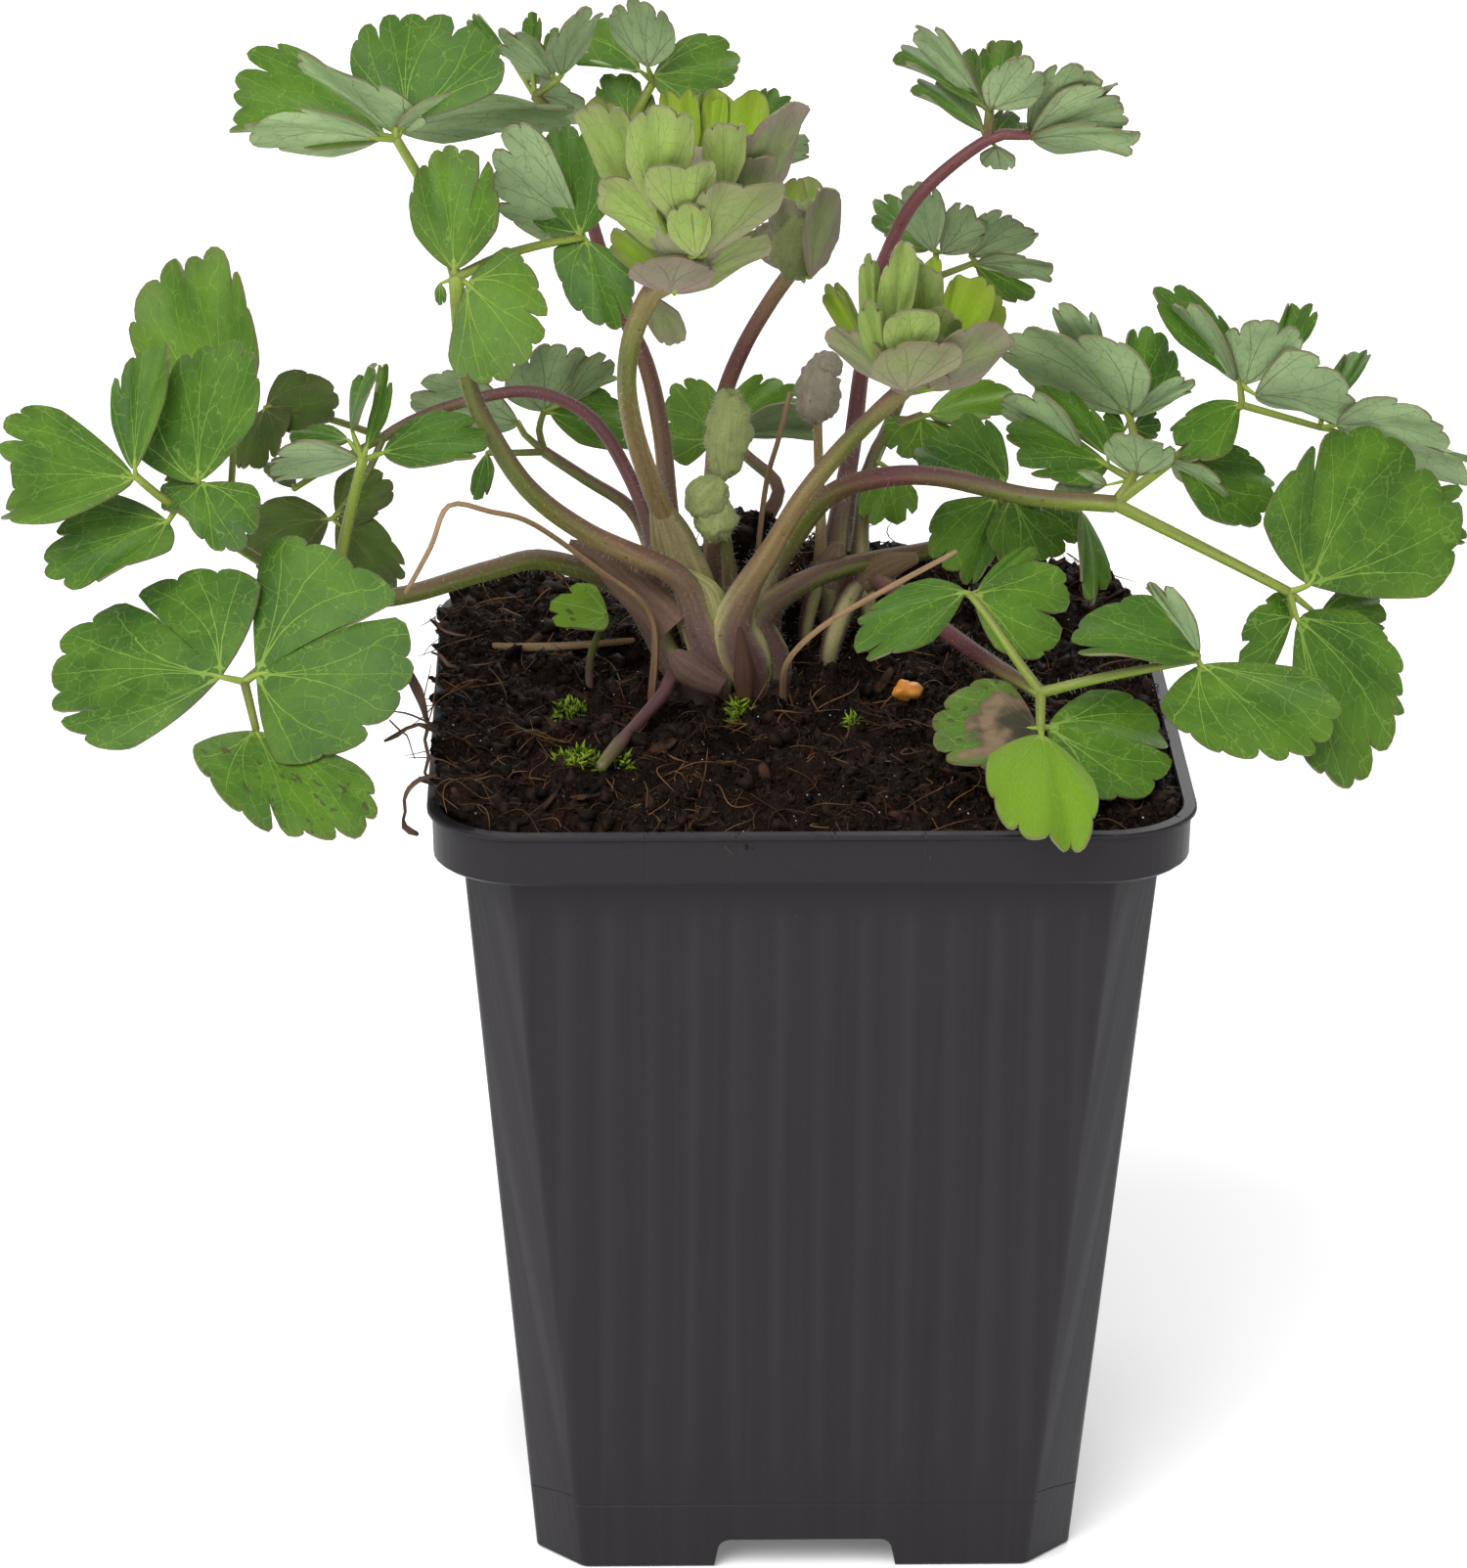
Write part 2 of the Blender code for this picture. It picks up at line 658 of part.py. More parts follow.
def leaf_left_back():
    fork = (392, 447, 17)
    upper, lower, near = (272, 416, 13), (341, 530, 12), (300, 500, 13)
    stalks = [
        ([fork, (335, 428, 15), upper], (0.6, 0.5)),
        ([fork, (372, 490, 14), lower], (0.6, 0.5)),
        ([fork, (338, 476, 15), near], (0.7, 0.5)),
    ]
    sprays = [
        (upper, 0.5, [
            leaflet((273, 416, 13), (347, 408), (305, 380), (318, 443), (-28, 35), (2, 2, 1), (0.1, 0.15)),
            leaflet((271, 418, 13), (257, 481), (298, 440), (243, 460), (-38, 50), (2, 2, 2)),
        ]),
        (lower, 0.5, [
            leaflet((336, 531, 12), (250, 548), (282, 514), (290, 592), (-37, 50), (2, 2, 2), (0.15, 0.15)),
            leaflet((344, 527, 12), (404, 495), (360, 480), (382, 530), (-16, 40), (2, 2, 1)),
            leaflet((344, 534, 12), (411, 600), (395, 545), (365, 618), (-16, 45), (2, 2, 2)),
        ]),
        (near, 0.5, [
            leaflet((302, 498, 13), (272, 478), (283, 494), (298, 478), (-48, 60), (1, 2, 1)),
        ]),
    ]
    stem = [(668, 560, 8.1), (645, 490, 10.8), (602, 425, 15.2), (540, 400, 18), (470, 412, 19), (418, 431, 18), fork]
    return grow(
        "leaf_left_back", FEET["leaf_left_back"], stem, (1.3, 1.1, 1.0, 0.9, 0.8), stalks, sprays,
        colour=(0.06, 0.09, 0.02),
    )


def leaf_top_left():
    fork = (466, 284, -10)
    far, star = (405, 142, -4), (596, 243, -5)
    stalks = [
        ([fork, (452, 235, -5), (436, 195, -4), far], (0.9, 0.7)),
        ([fork, (510, 263, -8), (555, 250, -6), star], (0.8, 0.6)),
    ]
    sprays = [
        (fork, 0.6, [
            leaflet((465, 276, -10), (462, 149), (424, 212), (516, 208), (-18, 25), (2, 3, 2), (0.1, 0.42), 1.0),
            leaflet((478, 290, -10), (550, 355), (532, 263), (470, 388), (-12, 30), (3, 2, 3), (0.3, 0.1), 1.0),
        ]),
        (far, 0.6, [
            leaflet((394, 139, -4), (242, 115), (290, 160), (295, 62), (-33, 65), (2, 4, 2), (0.1, 0.2), 1.5),
            leaflet((388, 142, -5), (252, 131), (300, 163), (322, 121), (13, 150), (1, 3, 1)),
            leaflet((404, 136, -3), (308, 60), (340, 95), (414, 105), (2, 150), (1, 3, 1)),
            leaflet((416, 122, -3), (438, 17), (364, 55), (520, 73), (-22, 40), (2, 3, 3), (0.12, 0.12)),
            leaflet((405, 132, -4), (590, 118), (490, 150), (480, 104), (22, 140), (2, 3, 2)),
        ]),
        (star, 0.55, [
            leaflet((593, 240, -5), (582, 128), (554, 172), (626, 180), (-10, 20), (1, 2, 2), (0.06, 0.1)),
            leaflet((600, 246, -5), (618, 337), (650, 292), (568, 275), (-9, 35), (2, 2, 2), (0.3, 0.1)),
            leaflet((592, 230, -3), (502, 178), (540, 130), (535, 238), (0, 150), (2, 2, 2)),
        ]),
    ]
    stem = [
        (712, 632, -3), (690, 588, -4.1), (600, 545, -8.1), (540, 500, -11.4), (500, 440, -12), (480, 395, -11),
        (471, 340, -10), fork,
    ]
    return grow("leaf_top_left", FEET["leaf_top_left"], stem, (1.9, 1.6, 1.5, 1.3, 1.1), stalks, sprays)


def leaf_top_back():
    fork, branch = (547, 98, 25), (592, 180, 27)
    pale, middle, far = (570, 82, 24.5), (668, 84, 31), (760, 155, 31)
    stalks = [
        ([fork, pale], (0.7, 0.6)),
        ([branch, (640, 130, 30), middle], (0.8, 0.7)),
        ([(640, 130, 30), (700, 150, 31), far], (0.7, 0.6)),
    ]
    sprays = [
        (fork, 0.5, [
            leaflet((522, 60, 31.5), (486, 16), (487, 36), (502, 28), (-45, 30), (1, 1, 1)),
            leaflet((543, 60, 27), (544, 12), (534, 35), (554, 35), (-13, 10), (1, 1, 1)),
        ]),
        (pale, 0.5, [
            leaflet((566, 82, 26), (511, 30), (552, 52), (528, 76), (-8, 140), (2, 2, 2)),
            leaflet((562, 74, 26), (566, 29), (556, 50), (577, 45), (-12, 30), (1, 1, 1)),
            leaflet((575, 76, 25), (602, 11), (565, 42), (612, 32), (31, 145), (2, 2, 1)),
        ]),
        (middle, 0.55, [
            leaflet((655, 73, 30), (590, 64), (618, 18), (608, 62), (-16, 55), (1, 2, 2)),
            leaflet((662, 68, 28), (655, 2), (622, 24), (690, 34), (5, 155), (2, 2, 2)),
            leaflet((668, 78, 30), (757, 72), (714, 38), (702, 104), (5, 50), (2, 3, 2), (0.1, 0.15)),
            leaflet((645, 132, 30), (630, 75), (609, 95), (672, 110), (-6, 30), (1, 2, 1)),
        ]),
        (far, 0.5, [
            leaflet((756, 150, 31), (799, 98), (768, 104), (800, 122), (21, 40), (1, 2, 1)),
            leaflet((785, 160, 31), (829, 152), (812, 140), (812, 168), (17, 145), (1, 1, 1)),
        ]),
    ]
    stem = [
        (692, 600, 12), (684, 520, 14.9), (676, 440, 19.6), (660, 370, 23.5), (633, 312, 25), (612, 250, 26.5), branch,
        (575, 130, 26), fork,
    ]
    return grow("leaf_top_back", FEET["leaf_top_back"], stem, (1.5, 1.4, 1.3, 1.1, 0.9, 0.8), stalks, sprays)


def leaf_back_left():
    fork = (557, 462, 22.7)
    pale, upper, low = (529, 431, 25.9), (556, 421, 26.7), (499, 463, 21.9)
    stalks = [
        ([fork, (536, 444, 24.6), pale], (0.6, 0.5)),
        ([fork, (551, 440, 25.4), upper], (0.6, 0.5)),
        ([fork, (525, 463, 22.5), low], (0.6, 0.5)),
    ]
    sprays = [
        (pale, 0.5, [
            leaflet((530, 432, 25.8), (416, 412), (468, 386), (478, 442), (4, 150), (2, 2, 2)),
        ]),
        (upper, 0.5, [
            leaflet((556, 420, 26.7), (562, 353), (518, 392), (606, 376), (12, 155), (2, 2, 2)),
            leaflet((578, 412, 26.6), (630, 382), (603, 366), (612, 398), (21, 150), (1, 2, 1)),
            leaflet((562, 422, 26.6), (652, 440), (610, 398), (620, 462), (-2, 50), (2, 2, 1)),
        ]),
        (low, 0.5, [
            leaflet((498, 464, 21.9), (488, 512), (484, 490), (506, 488), (-36, 30), (1, 1, 1)),
        ]),
    ]
    stem = [(668, 566, 16.8), (645, 520, 18.9), (600, 490, 21), fork]
    return grow("leaf_back_left", FEET["leaf_back_left"], stem, (1.2, 1.0, 0.9), stalks, sprays)


def leaf_back():
    hub = (738, 445, 31.8)
    sprays = [
        (hub, 0.6, [
            leaflet((733, 445, 31.8), (682, 405), (722, 394), (688, 472), (-10, 50), (2, 2, 2)),
            leaflet((742, 441, 31.8), (803, 393), (757, 397), (800, 425), (10, 50), (1, 2, 1)),
            leaflet((744, 444, 31.8), (836, 445), (800, 415), (800, 450), (10, 145), (1, 2, 1)),
        ]),
    ]
    stem = [(768, 560, 20.2), (796, 502, 23), (766, 468, 27.4), hub]
    return grow("leaf_back", FEET["leaf_back"], stem, (1.2, 1.0, 0.8), (), sprays)


def leaf_top_right():
    fork, end, upper = (1010, 143, 7), (1052, 138, 7), (1012, 112, 7)
    stalks = [([fork, upper], (0.85, 0.7))]
    sprays = [
        (end, 0.6, [
            leaflet((1055, 137, 7), (1150, 113), (1100, 90), (1125, 143), (-11, 150), (2, 3, 2)),
            leaflet((1055, 141, 7), (1166, 143), (1110, 163), (1110, 132), (-21, 140), (1, 3, 1)),
            leaflet((1053, 134, 9), (1120, 82), (1075, 70), (1125, 105), (-11, 145), (2, 2, 1)),
        ]),
        (upper, 0.55, [
            leaflet((1014, 111, 6), (1052, 60), (1014, 74), (1066, 98), (-18, 155), (2, 2, 1)),
            leaflet((1012, 110, 8), (1028, 42), (1000, 55), (1046, 62), (18, 35), (1, 3, 1)),
            leaflet((1006, 106, 9), (938, 33), (942, 58), (973, 50), (-28, 145), (1, 2, 1)),
            leaflet((1007, 110, 7), (916, 56), (955, 86), (972, 62), (8, 70), (1, 2, 1)),
        ]),
        (fork, 0.55, [
            leaflet((1005, 134, 7), (934, 88), (965, 116), (985, 98), (8, 65), (1, 2, 1)),
        ]),
    ]
    stem = [
        (848, 595, 15.1), (860, 520, 15.6), (872, 450, 16.5), (880, 385, 15.9), (892, 310, 13), (905, 265, 11), (940, 200, 9),
        fork, end,
    ]
    return grow("leaf_top_right", FEET["leaf_top_right"], stem, (1.6, 1.4, 1.2, 1.1, 1.0, 0.8), stalks, sprays)


def leaf_right_back_top():
    fork, left, right = (958, 283, 28), (957, 257, 29), (998, 268, 30)
    stalks = [([fork, left], (0.6, 0.5)), ([fork, right], (0.6, 0.5))]
    sprays = [
        (left, 0.5, [
            leaflet((950, 254, 30), (893, 218), (908, 246), (922, 206), (-6, 50), (1, 2, 1)),
            leaflet((955, 256, 28), (932, 190), (922, 228), (965, 215), (-14, 150), (1, 2, 1)),
            leaflet((962, 258, 29), (1000, 222), (970, 216), (998, 255), (-5, 150), (1, 2, 1)),
        ]),
        (right, 0.5, [
            leaflet((992, 262, 30), (1042, 228), (1005, 223), (1057, 252), (-7, 145), (2, 3, 2)),
            leaflet((999, 269, 30), (1078, 276), (1040, 264), (1050, 290), (-7, 145), (1, 3, 1)),
            leaflet((997, 272, 30), (1060, 298), (1012, 281), (1030, 312), (27, 50), (2, 1, 1)),
        ]),
    ]
    stem = [(846, 600, 19.4), (880, 500, 24.1), (915, 420, 27.7), (940, 350, 28), fork]
    return grow("leaf_right_back_top", FEET["leaf_right_back_top"], stem, (1.3, 1.1, 0.9, 0.8), stalks, sprays)


def leaf_right():
    fork = (1140, 515, -11)
    outer, first, under, second = (1318, 605, -16), (1157, 490, -9), (1134, 477, -7), (1155, 427, 0)
    third, crossing = (1270, 414, -1), (1196, 473, -8)
    stalks = [
        ([fork, (1240, 565, -14), outer], (1.0, 0.75)),
        ([fork, first, (1162, 462, -3), second], (0.9, 0.6)),
        ([first, under], (0.6, 0.5)),
        ([fork, crossing, (1235, 441, -4), third], (0.9, 0.6)),
        ([third, (1268, 392, 1)], (0.6, 0.5)),
        ([third, (1350, 437, 1)], (0.6, 0.5)),
    ]
    sprays = [
        (outer, 0.6, [
            leaflet((1338, 598, -16), (1415, 440), (1297, 505), (1474, 592), (33, 30), (2, 3, 3), (0.5, 0.12), 1.0),
            leaflet((1327, 634, -16), (1425, 742), (1402, 655), (1335, 800), (33, 45), (3, 2, 3), (0.15, 0.15), 1.0),
            leaflet((1321, 632, -15), (1267, 650), (1300, 610), (1285, 692), (23, 45), (2, 2, 1)),
            leaflet((1350, 630, -13), (1412, 622), (1390, 600), (1398, 650), (38, 50), (1, 2, 1)),
            leaflet((1430, 540, -7), (1493, 540), (1475, 498), (1480, 557), (48, 40), (1, 2, 1)),
        ]),
        (first, 0.5, [
            leaflet((1163, 486, -8), (1160, 446), (1128, 455), (1200, 463), (-28, 150), (1, 3, 1)),
        ]),
        (under, 0.5, [
            leaflet((1132, 474, -6), (1037, 462), (1052, 430), (1085, 497), (16, 50), (2, 2, 2), (0.3, 0.1)),
            leaflet((1108, 463, -5), (1022, 415), (1062, 407), (1052, 442), (-35, 145), (1, 3, 1)),
        ]),
        (second, 0.5, [
            leaflet((1154, 423, 0), (1050, 338), (1045, 392), (1154, 366), (-38, 150), (2, 3, 2), (0.3, 0.15)),
            leaflet((1130, 395, 3), (1100, 318), (1078, 336), (1122, 344), (-26, 150), (1, 2, 1)),
            leaflet((1158, 421, 1), (1180, 338), (1142, 362), (1205, 392), (33, 30), (2, 2, 2), (0.15, 0.15)),
        ]),
        (third, 0.55, [
            leaflet((1267, 414, -1), (1198, 448), (1218, 424), (1238, 478), (18, 60), (2, 2, 1), (0.2, 0.1)),
        ]),
        ((1268, 392, 1), 0.5, [
            leaflet((1264, 386, 2), (1205, 294), (1180, 322), (1248, 330), (23, 30), (2, 2, 1), (0.1, 0.2)),
            leaflet((1273, 393, 1), (1290, 328), (1243, 355), (1330, 356), (-28, 155), (2, 2, 2)),
            leaflet((1283, 403, 0), (1385, 430), (1340, 362), (1325, 423), (-8, 145), (2, 3, 1)),
            leaflet((1300, 380, 4), (1326, 315), (1308, 328), (1343, 335), (28, 35), (1, 2, 1)),
        ]),
        ((1350, 437, 1), 0.5, [
            leaflet((1366, 435, 1.4), (1480, 446), (1420, 412), (1440, 470), (-18, 145), (2, 3, 1)),
            leaflet((1368, 441, 2.6), (1498, 476), (1452, 457), (1455, 496), (-8, 145), (1, 2, 1)),
            leaflet((1352, 425, 3), (1388, 361), (1358, 385), (1390, 382), (48, 50), (1, 2, 1)),
        ]),
        (crossing, 0.5, [
            leaflet((1205, 475, -8), (1301, 505), (1262, 461), (1252, 541), (38, 40), (3, 3), (0.1,)),
        ]),
    ]
    stem = [
        (786, 596, 4), (815, 545, 1.6), (850, 505, -1.9), (900, 488, -5.5), (960, 487, -7.9), (1050, 507, -10), fork,
    ]
    return grow("leaf_right", FEET["leaf_right"], stem, (1.9, 1.6, 1.5, 1.4, 1.3), stalks, sprays)


def leaf_right_low():
    hub = (1028, 510, 8)
    sprays = [
        (hub, 0.6, [
            leaflet((1018, 510, 8), (978, 592), (948, 535), (1014, 572), (14, 45), (2, 2, 2), (0.15, 0.2)),
            leaflet((1034, 510, 8), (1060, 577), (1013, 560), (1109, 532), (25, 45), (2, 3, 2)),
            leaflet((1106, 524, 6), (1113, 616), (1100, 565), (1127, 575), (64, 30), (1, 2, 1)),
            leaflet((1028, 494, 9), (965, 442), (935, 478), (1008, 432), (14, 50), (2, 3, 1)),
        ]),
    ]
    stem = [(775, 640, 0), (800, 608, 1.1), (860, 580, 4), (950, 562, 8.9), (1005, 545, 10.8), hub]
    return grow("leaf_right_low", FEET["leaf_right_low"], stem, (1.8, 1.5, 1.3, 1.0), (), sprays)


def leaf_right_back_low():
    hub = (943, 425, 23.9)
    sprays = [
        (hub, 0.55, [
            leaflet((950, 424, 24), (1045, 408), (1000, 394), (1002, 432), (19, 60), (2, 2, 1)),
            leaflet((942, 428, 23.9), (930, 472), (903, 436), (985, 452), (13, 45), (2, 2, 2)),
        ]),
        ((892, 470, 19.4), 0.5, [
            leaflet((908, 478, 17.6), (905, 534), (877, 515), (938, 512), (11, 35), (1, 2, 1)),
        ]),
    ]
    stem = [(880, 580, 14.3), (882, 520, 16.8), (892, 470, 19.4), (910, 440, 22.4), hub]
    return grow(
        "leaf_right_back_low", FEET["leaf_right_back_low"], stem, (1.3, 1.1, 0.8), (), sprays,
    )


def leaf_right_front():
    fork, upper, lower, right = (1064, 708, -28), (992, 608, -20), (1064, 744, -32), (1224, 674, -28)
    stalks = [
        ([fork, (1040, 675, -26), (1008, 628, -22), upper], (0.8, 0.6)),
        ([fork, lower], (0.8, 0.7)),
        ([fork, (1130, 692, -28), right], (0.85, 0.6)),
    ]
    sprays = [
        (upper, 0.55, [
            leaflet((986, 606, -20), (875, 648), (925, 604), (925, 674), (6, 60), (2, 2, 2)),
            leaflet((997, 609, -20), (1088, 636), (1062, 578), (1030, 672), (22, 45), (2, 2), (0.35,)),
        ]),
        (lower, 0.6, [
            leaflet((1059, 745, -32), (950, 750), (1005, 698), (1015, 792), (11, 55), (2, 2, 2), (0.15, 0.15)),
            leaflet((1065, 752, -34), (1070, 866), (1120, 832), (1006, 806), (22, 65), (2, 2, 2), (0.1, 0.1)),
            leaflet((1071, 744, -31), (1196, 775), (1140, 714), (1125, 822), (32, 55), (3, 3), (0.33,)),
        ]),
        (right, 0.55, [
            leaflet((1228, 680, -28), (1325, 775), (1350, 705), (1198, 748), (8, 45), (3, 2, 3), (0.12, 0.15), 1.0),
            leaflet((1226, 671, -28), (1092, 656), (1165, 612), (1160, 677), (23, 60), (2, 2, 1), (0.3, 0.1)),
        ]),
    ]
    stem = [(880, 592, 6), (920, 607, 1), (960, 640, -7), (1020, 682, -19), fork]
    return grow("leaf_right_front", FEET["leaf_right_front"], stem, (1.4, 1.3, 1.2, 1.1), stalks, sprays)


# Rosettes and buds


def rosette_left():
    low, middle = (684, 288, -21), (694, 262, -21)
    sprays = [
        (low, 0.8, [
            leaflet((682, 299, -22), (700, 264), (645, 274), (730, 282), (0, 150), (1, 3, 1)),
            leaflet((690, 299, -22), (790, 243), (742, 290), (735, 258), (20, 150), (1, 2, 1)),
            leaflet((686, 286, -20), (627, 240), (640, 276), (662, 248), (-20, 60), (1, 1, 1)),
            leaflet((668, 304, -18), (690, 352), (662, 335), (698, 330), (0, 150), (1, 1, 1)),
        ]),
        (middle, 0.9, [
            leaflet((697, 256, -24), (612, 190), (640, 240), (668, 203), (-20, 150), (1, 3, 1)),
            leaflet((722, 260, -25), (748, 190), (713, 216), (804, 208), (15, 150), (2, 2, 1)),
            leaflet((700, 232, -27), (700, 171), (658, 190), (732, 182), (0, 155), (2, 2), (0.15,)),
            leaflet((740, 205, -25), (740, 128), (719, 155), (764, 152), (5, 160), (1, 1, 1)),
            leaflet((670, 214, -27), (674, 112), (640, 152), (711, 148), (0, 160), (1, 1, 1)),
            leaflet((770, 222, -20), (816, 104), (758, 158), (812, 168), (30, 155), (1, 3, 1)),
            leaflet((655, 236, -21), (598, 114), (604, 168), (648, 148), (-30, 155), (1, 2, 1)),
            leaflet((698, 200, -17), (694, 99), (674, 122), (716, 122), (0, 30), (1, 2, 1)),
            leaflet((748, 205, -16), (752, 101), (716, 122), (786, 124), (5, 30), (2, 2), (0.12,)),
        ]),
    ]
    stem = [
        (702, 600, 5), (686, 545, 1.3), (664, 490, -4.8), (648, 440, -11.9), (641, 390, -17), (648, 340, -20), (668, 297, -21),
        low, middle,
    ]
    lumps = [((706, 212, -21), (6.6, 4.6, 7.4))]
    return grow(
        "rosette_left", FEET["rosette_left"], stem, (1.5, 2.0, 1.8, 1.6, 1.5, 1.4, 1.5, 1.8), (), sprays, lumps,
        (0.25, 0.38, 0.1),
    )


def rosette_right():
    low, middle = (926, 396, -17), (935, 376, -17)
    sprays = [
        (low, 0.8, [
            leaflet((912, 393, -19), (848, 337), (866, 374), (897, 358), (-30, 150), (1, 2, 1)),
            leaflet((952, 398, -19), (1027, 335), (1008, 388), (975, 346), (20, 150), (1, 3, 1)),
            leaflet((882, 352, -17), (846, 293), (851, 326), (870, 318), (-30, 40), (1, 1, 1)),
        ]),
        (middle, 0.9, [
            leaflet((892, 352, -17), (888, 262), (876, 308), (897, 300), (-20, 160), (1, 1, 1)),
            leaflet((912, 352, -19), (926, 250), (897, 308), (937, 300), (0, 160), (1, 2, 1)),
            leaflet((940, 344, -16), (942, 274), (924, 312), (966, 304), (0, 155), (2, 1), (0.12,)),
            leaflet((926, 398, -21), (935, 350), (893, 376), (986, 364), (0, 155), (2, 2, 2)),
            leaflet((926, 372, -21), (930, 318), (904, 342), (962, 336), (0, 155), (2, 1), (0.12,)),
            leaflet((962, 372, -14), (990, 283), (962, 312), (1014, 320), (10, 30), (1, 2, 1)),
        ]),
    ]
    stem = [
        (750, 645, -3), (762, 605, -4), (790, 560, -5.7), (820, 510, -9.2), (860, 460, -13.4), (900, 420, -16.5), low, middle,
    ]
    lumps = [((932, 356, -16.5), (5.2, 3.8, 4.4))]
    return grow(
        "rosette_right", FEET["rosette_right"], stem, (2.1, 1.8, 1.5, 1.4, 1.3, 1.5), (), sprays, lumps,
        (0.22, 0.36, 0.08),
    )


def furled_leaf():
    hub = (814, 272, 9)
    sprays = [
        (hub, 0.8, [
            leaflet((815, 285, 6), (803, 205), (787, 243), (836, 245), (0, 160), (1, 1, 1)),
            leaflet((826, 284, 7), (842, 196), (826, 240), (863, 234), (30, 155), (1, 2, 1)),
            leaflet((806, 262, 10), (800, 192), (790, 214), (826, 200), (-10, 40), (1, 2, 1)),
            leaflet((800, 274, 11), (770, 238), (776, 262), (794, 236), (-30, 150), (1, 1, 1)),
            leaflet((822, 286, 8), (820, 186), (802, 232), (850, 226), (0, 60), (1, 2, 1)),
        ]),
    ]
    stem = [(733, 600, 10), (728, 520, 9.9), (732, 450, 10.8), (742, 400, 11.1), (762, 352, 10.9), (790, 305, 10), hub]
    lumps = [((824, 242, 9), (4.0, 3.6, 4.8))]
    return grow(
        "furled_leaf", FEET["furled_leaf"], stem, (1.5, 1.3, 1.3, 1.2, 1.2), (), sprays, lumps, (0.13, 0.2, 0.06)
    )


def bud_shoot_front():
    top = (743, 446, 1.5)
    lumps = [
        ((744, 444, 1.5), (3.0, 2.6, 5.6), 4),
        ((722, 508, 0.5), (3.0, 2.2, 2.8), 30),
        ((731, 530, 1), (2.9, 2.2, 3.0), 0),
    ]
    stem = [(748, 612, 4), (744, 570, 3), (738, 530, 1.5), (734, 500, 1.5), top]
    return grow("bud_shoot_front", FEET["bud_shoot_front"], stem, (1.1, 0.9, 0.9), (), (), lumps, (0.2, 0.26, 0.12))


def bud_shoot_back():
    top = (836, 430, 9.6)
    lumps = [((835, 400, 9.8), (3.0, 2.5, 4.2), 4), ((845, 374, 10), (2.0, 1.8, 2.0), 20)]
    stem = [(838, 580, 10.3), (839, 520, 9.7), (837, 470, 9.7), top]
    return grow("bud_shoot_back", FEET["bud_shoot_back"], stem, (1.0, 0.75, 0.7), (), (), lumps, (0.16, 0.14, 0.11))


# What stands and lies on the soil


def on_soil(px, py, above):
    """The point at a pixel that many mm above the soil."""
    near, far = -LIP_HALF, LIP_HALF
    for _ in range(30):
        middle = (near + far) / 2
        point = seen(px, py, middle)
        if point.z > soil_height(point.x, point.y) + above:
            near = middle
        else:
            far = middle
    return point


def make_crown():
    """The stock, with the stub of an old stalk that lies on the soil before it."""
    stub = [Vector((CROWN_AT[0] - 1.0, CROWN_AT[1] - 4.0, soil_height(*CROWN_AT) + 0.8))]
    stub += [on_soil(690, 692, 1.9), on_soil(650, 740, 1.7), on_soil(616, 784, 1.7)]
    stub_tube = tube("crown", smooth_route(stub), (1.6, 1.1, 1.0, 0.9))
    crown = united("crown", [crown_shape("crown", 0.0), stub_tube])
    cut(crown, [socket(name, foot) for name, foot in FEET.items()])
    return finish(applied(crown), material("crown", (0.14, 0.08, 0.06), 0.8), 50)


def seedling():
    """A weed's seed leaf, close over the soil."""
    sprays = [((618, 630, 3.5), 0.5, [
        leaflet((622, 630, 3.5), (560, 630), (592, 598), (600, 646), (-30, 60), (2, 1, 1)),
    ])]
    return grow("seedling", FEET["seedling"], [(618, 634, 3.6)], (0.5,), (), sprays)


def dry_stalk(name, points, thick=0.45):
    """A dead leaf stalk, thin and bent."""
    foot = FEET[name]
    ground = soil_height(foot.x, foot.y)
    route = [Vector((foot.x, foot.y, ground - FOOT_DEPTH)), Vector((foot.x, foot.y, ground + 1.0))]
    route += [seen(*point) for point in points]
    stalk = tube(name, smooth_route(route), (foot.radius, thick, thick, 0.35), slim=True)
    return finish(stalk, material(name, (0.38, 0.2, 0.1), 0.8), 60)


def lying(name, points, colour, thick=0.5):
    """A dead stalk that lies on the soil: pixels and heights above the ground."""
    route = smooth_route([on_soil(*point) for point in points])
    return finish(tube(name, route, (thick, thick), slim=True), material(name, colour, 0.8), 60)


def make_bead():
    middle = on_soil(927, 706, 1.9)
    return finish(egg("fertiliser_bead", middle, (1.5, 1.3, 1.2)), material("bead", (0.6, 0.25, 0.03), 0.5), 180)


make_pot()
make_soil(FEET)
leaf_left_front()
leaf_left_back()
leaf_top_left()
leaf_top_back()
leaf_back_left()
leaf_back()
leaf_top_right()
leaf_right_back_top()
leaf_right()
leaf_right_low()
leaf_right_back_low()
leaf_right_front()
rosette_left()
rosette_right()
furled_leaf()
bud_shoot_front()
bud_shoot_back()
make_crown()
seedling()
dry_stalk("dry_stalk_left", [(666, 630, -6), (610, 582, -11), (545, 536, -17), (500, 523, -21), (459, 517, -23),
                             (440, 560, -24), (415, 606, -24)])
dry_stalk("dry_stalk_back", [(782, 505, 14), (796, 450, 13), (808, 402, 12)])
dry_stalk("dry_stalk_right", [(806, 676, -10), (842, 640, -11), (900, 606, -11), (978, 564, -10)])
lying("dry_stalk_low", [(470, 660, 1.0), (560, 661, 1.15), (648, 655, 1.1)], (0.4, 0.22, 0.12))
make_bead()
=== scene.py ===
# %% [markdown]
# # A potted columbine
# A young columbine in a square nursery pot. The measured solids are loaded first and stay where they are;
# everything below is a finer skin over them. We work in millimetres from the pot's middle, and turn to
# metres only when a mesh is made.

# %% Load the solids
import json
import random
from math import cos, exp, hypot, pi, radians, sin

import bmesh
import bpy
import numpy as np
from mathutils import Matrix, Vector, noise

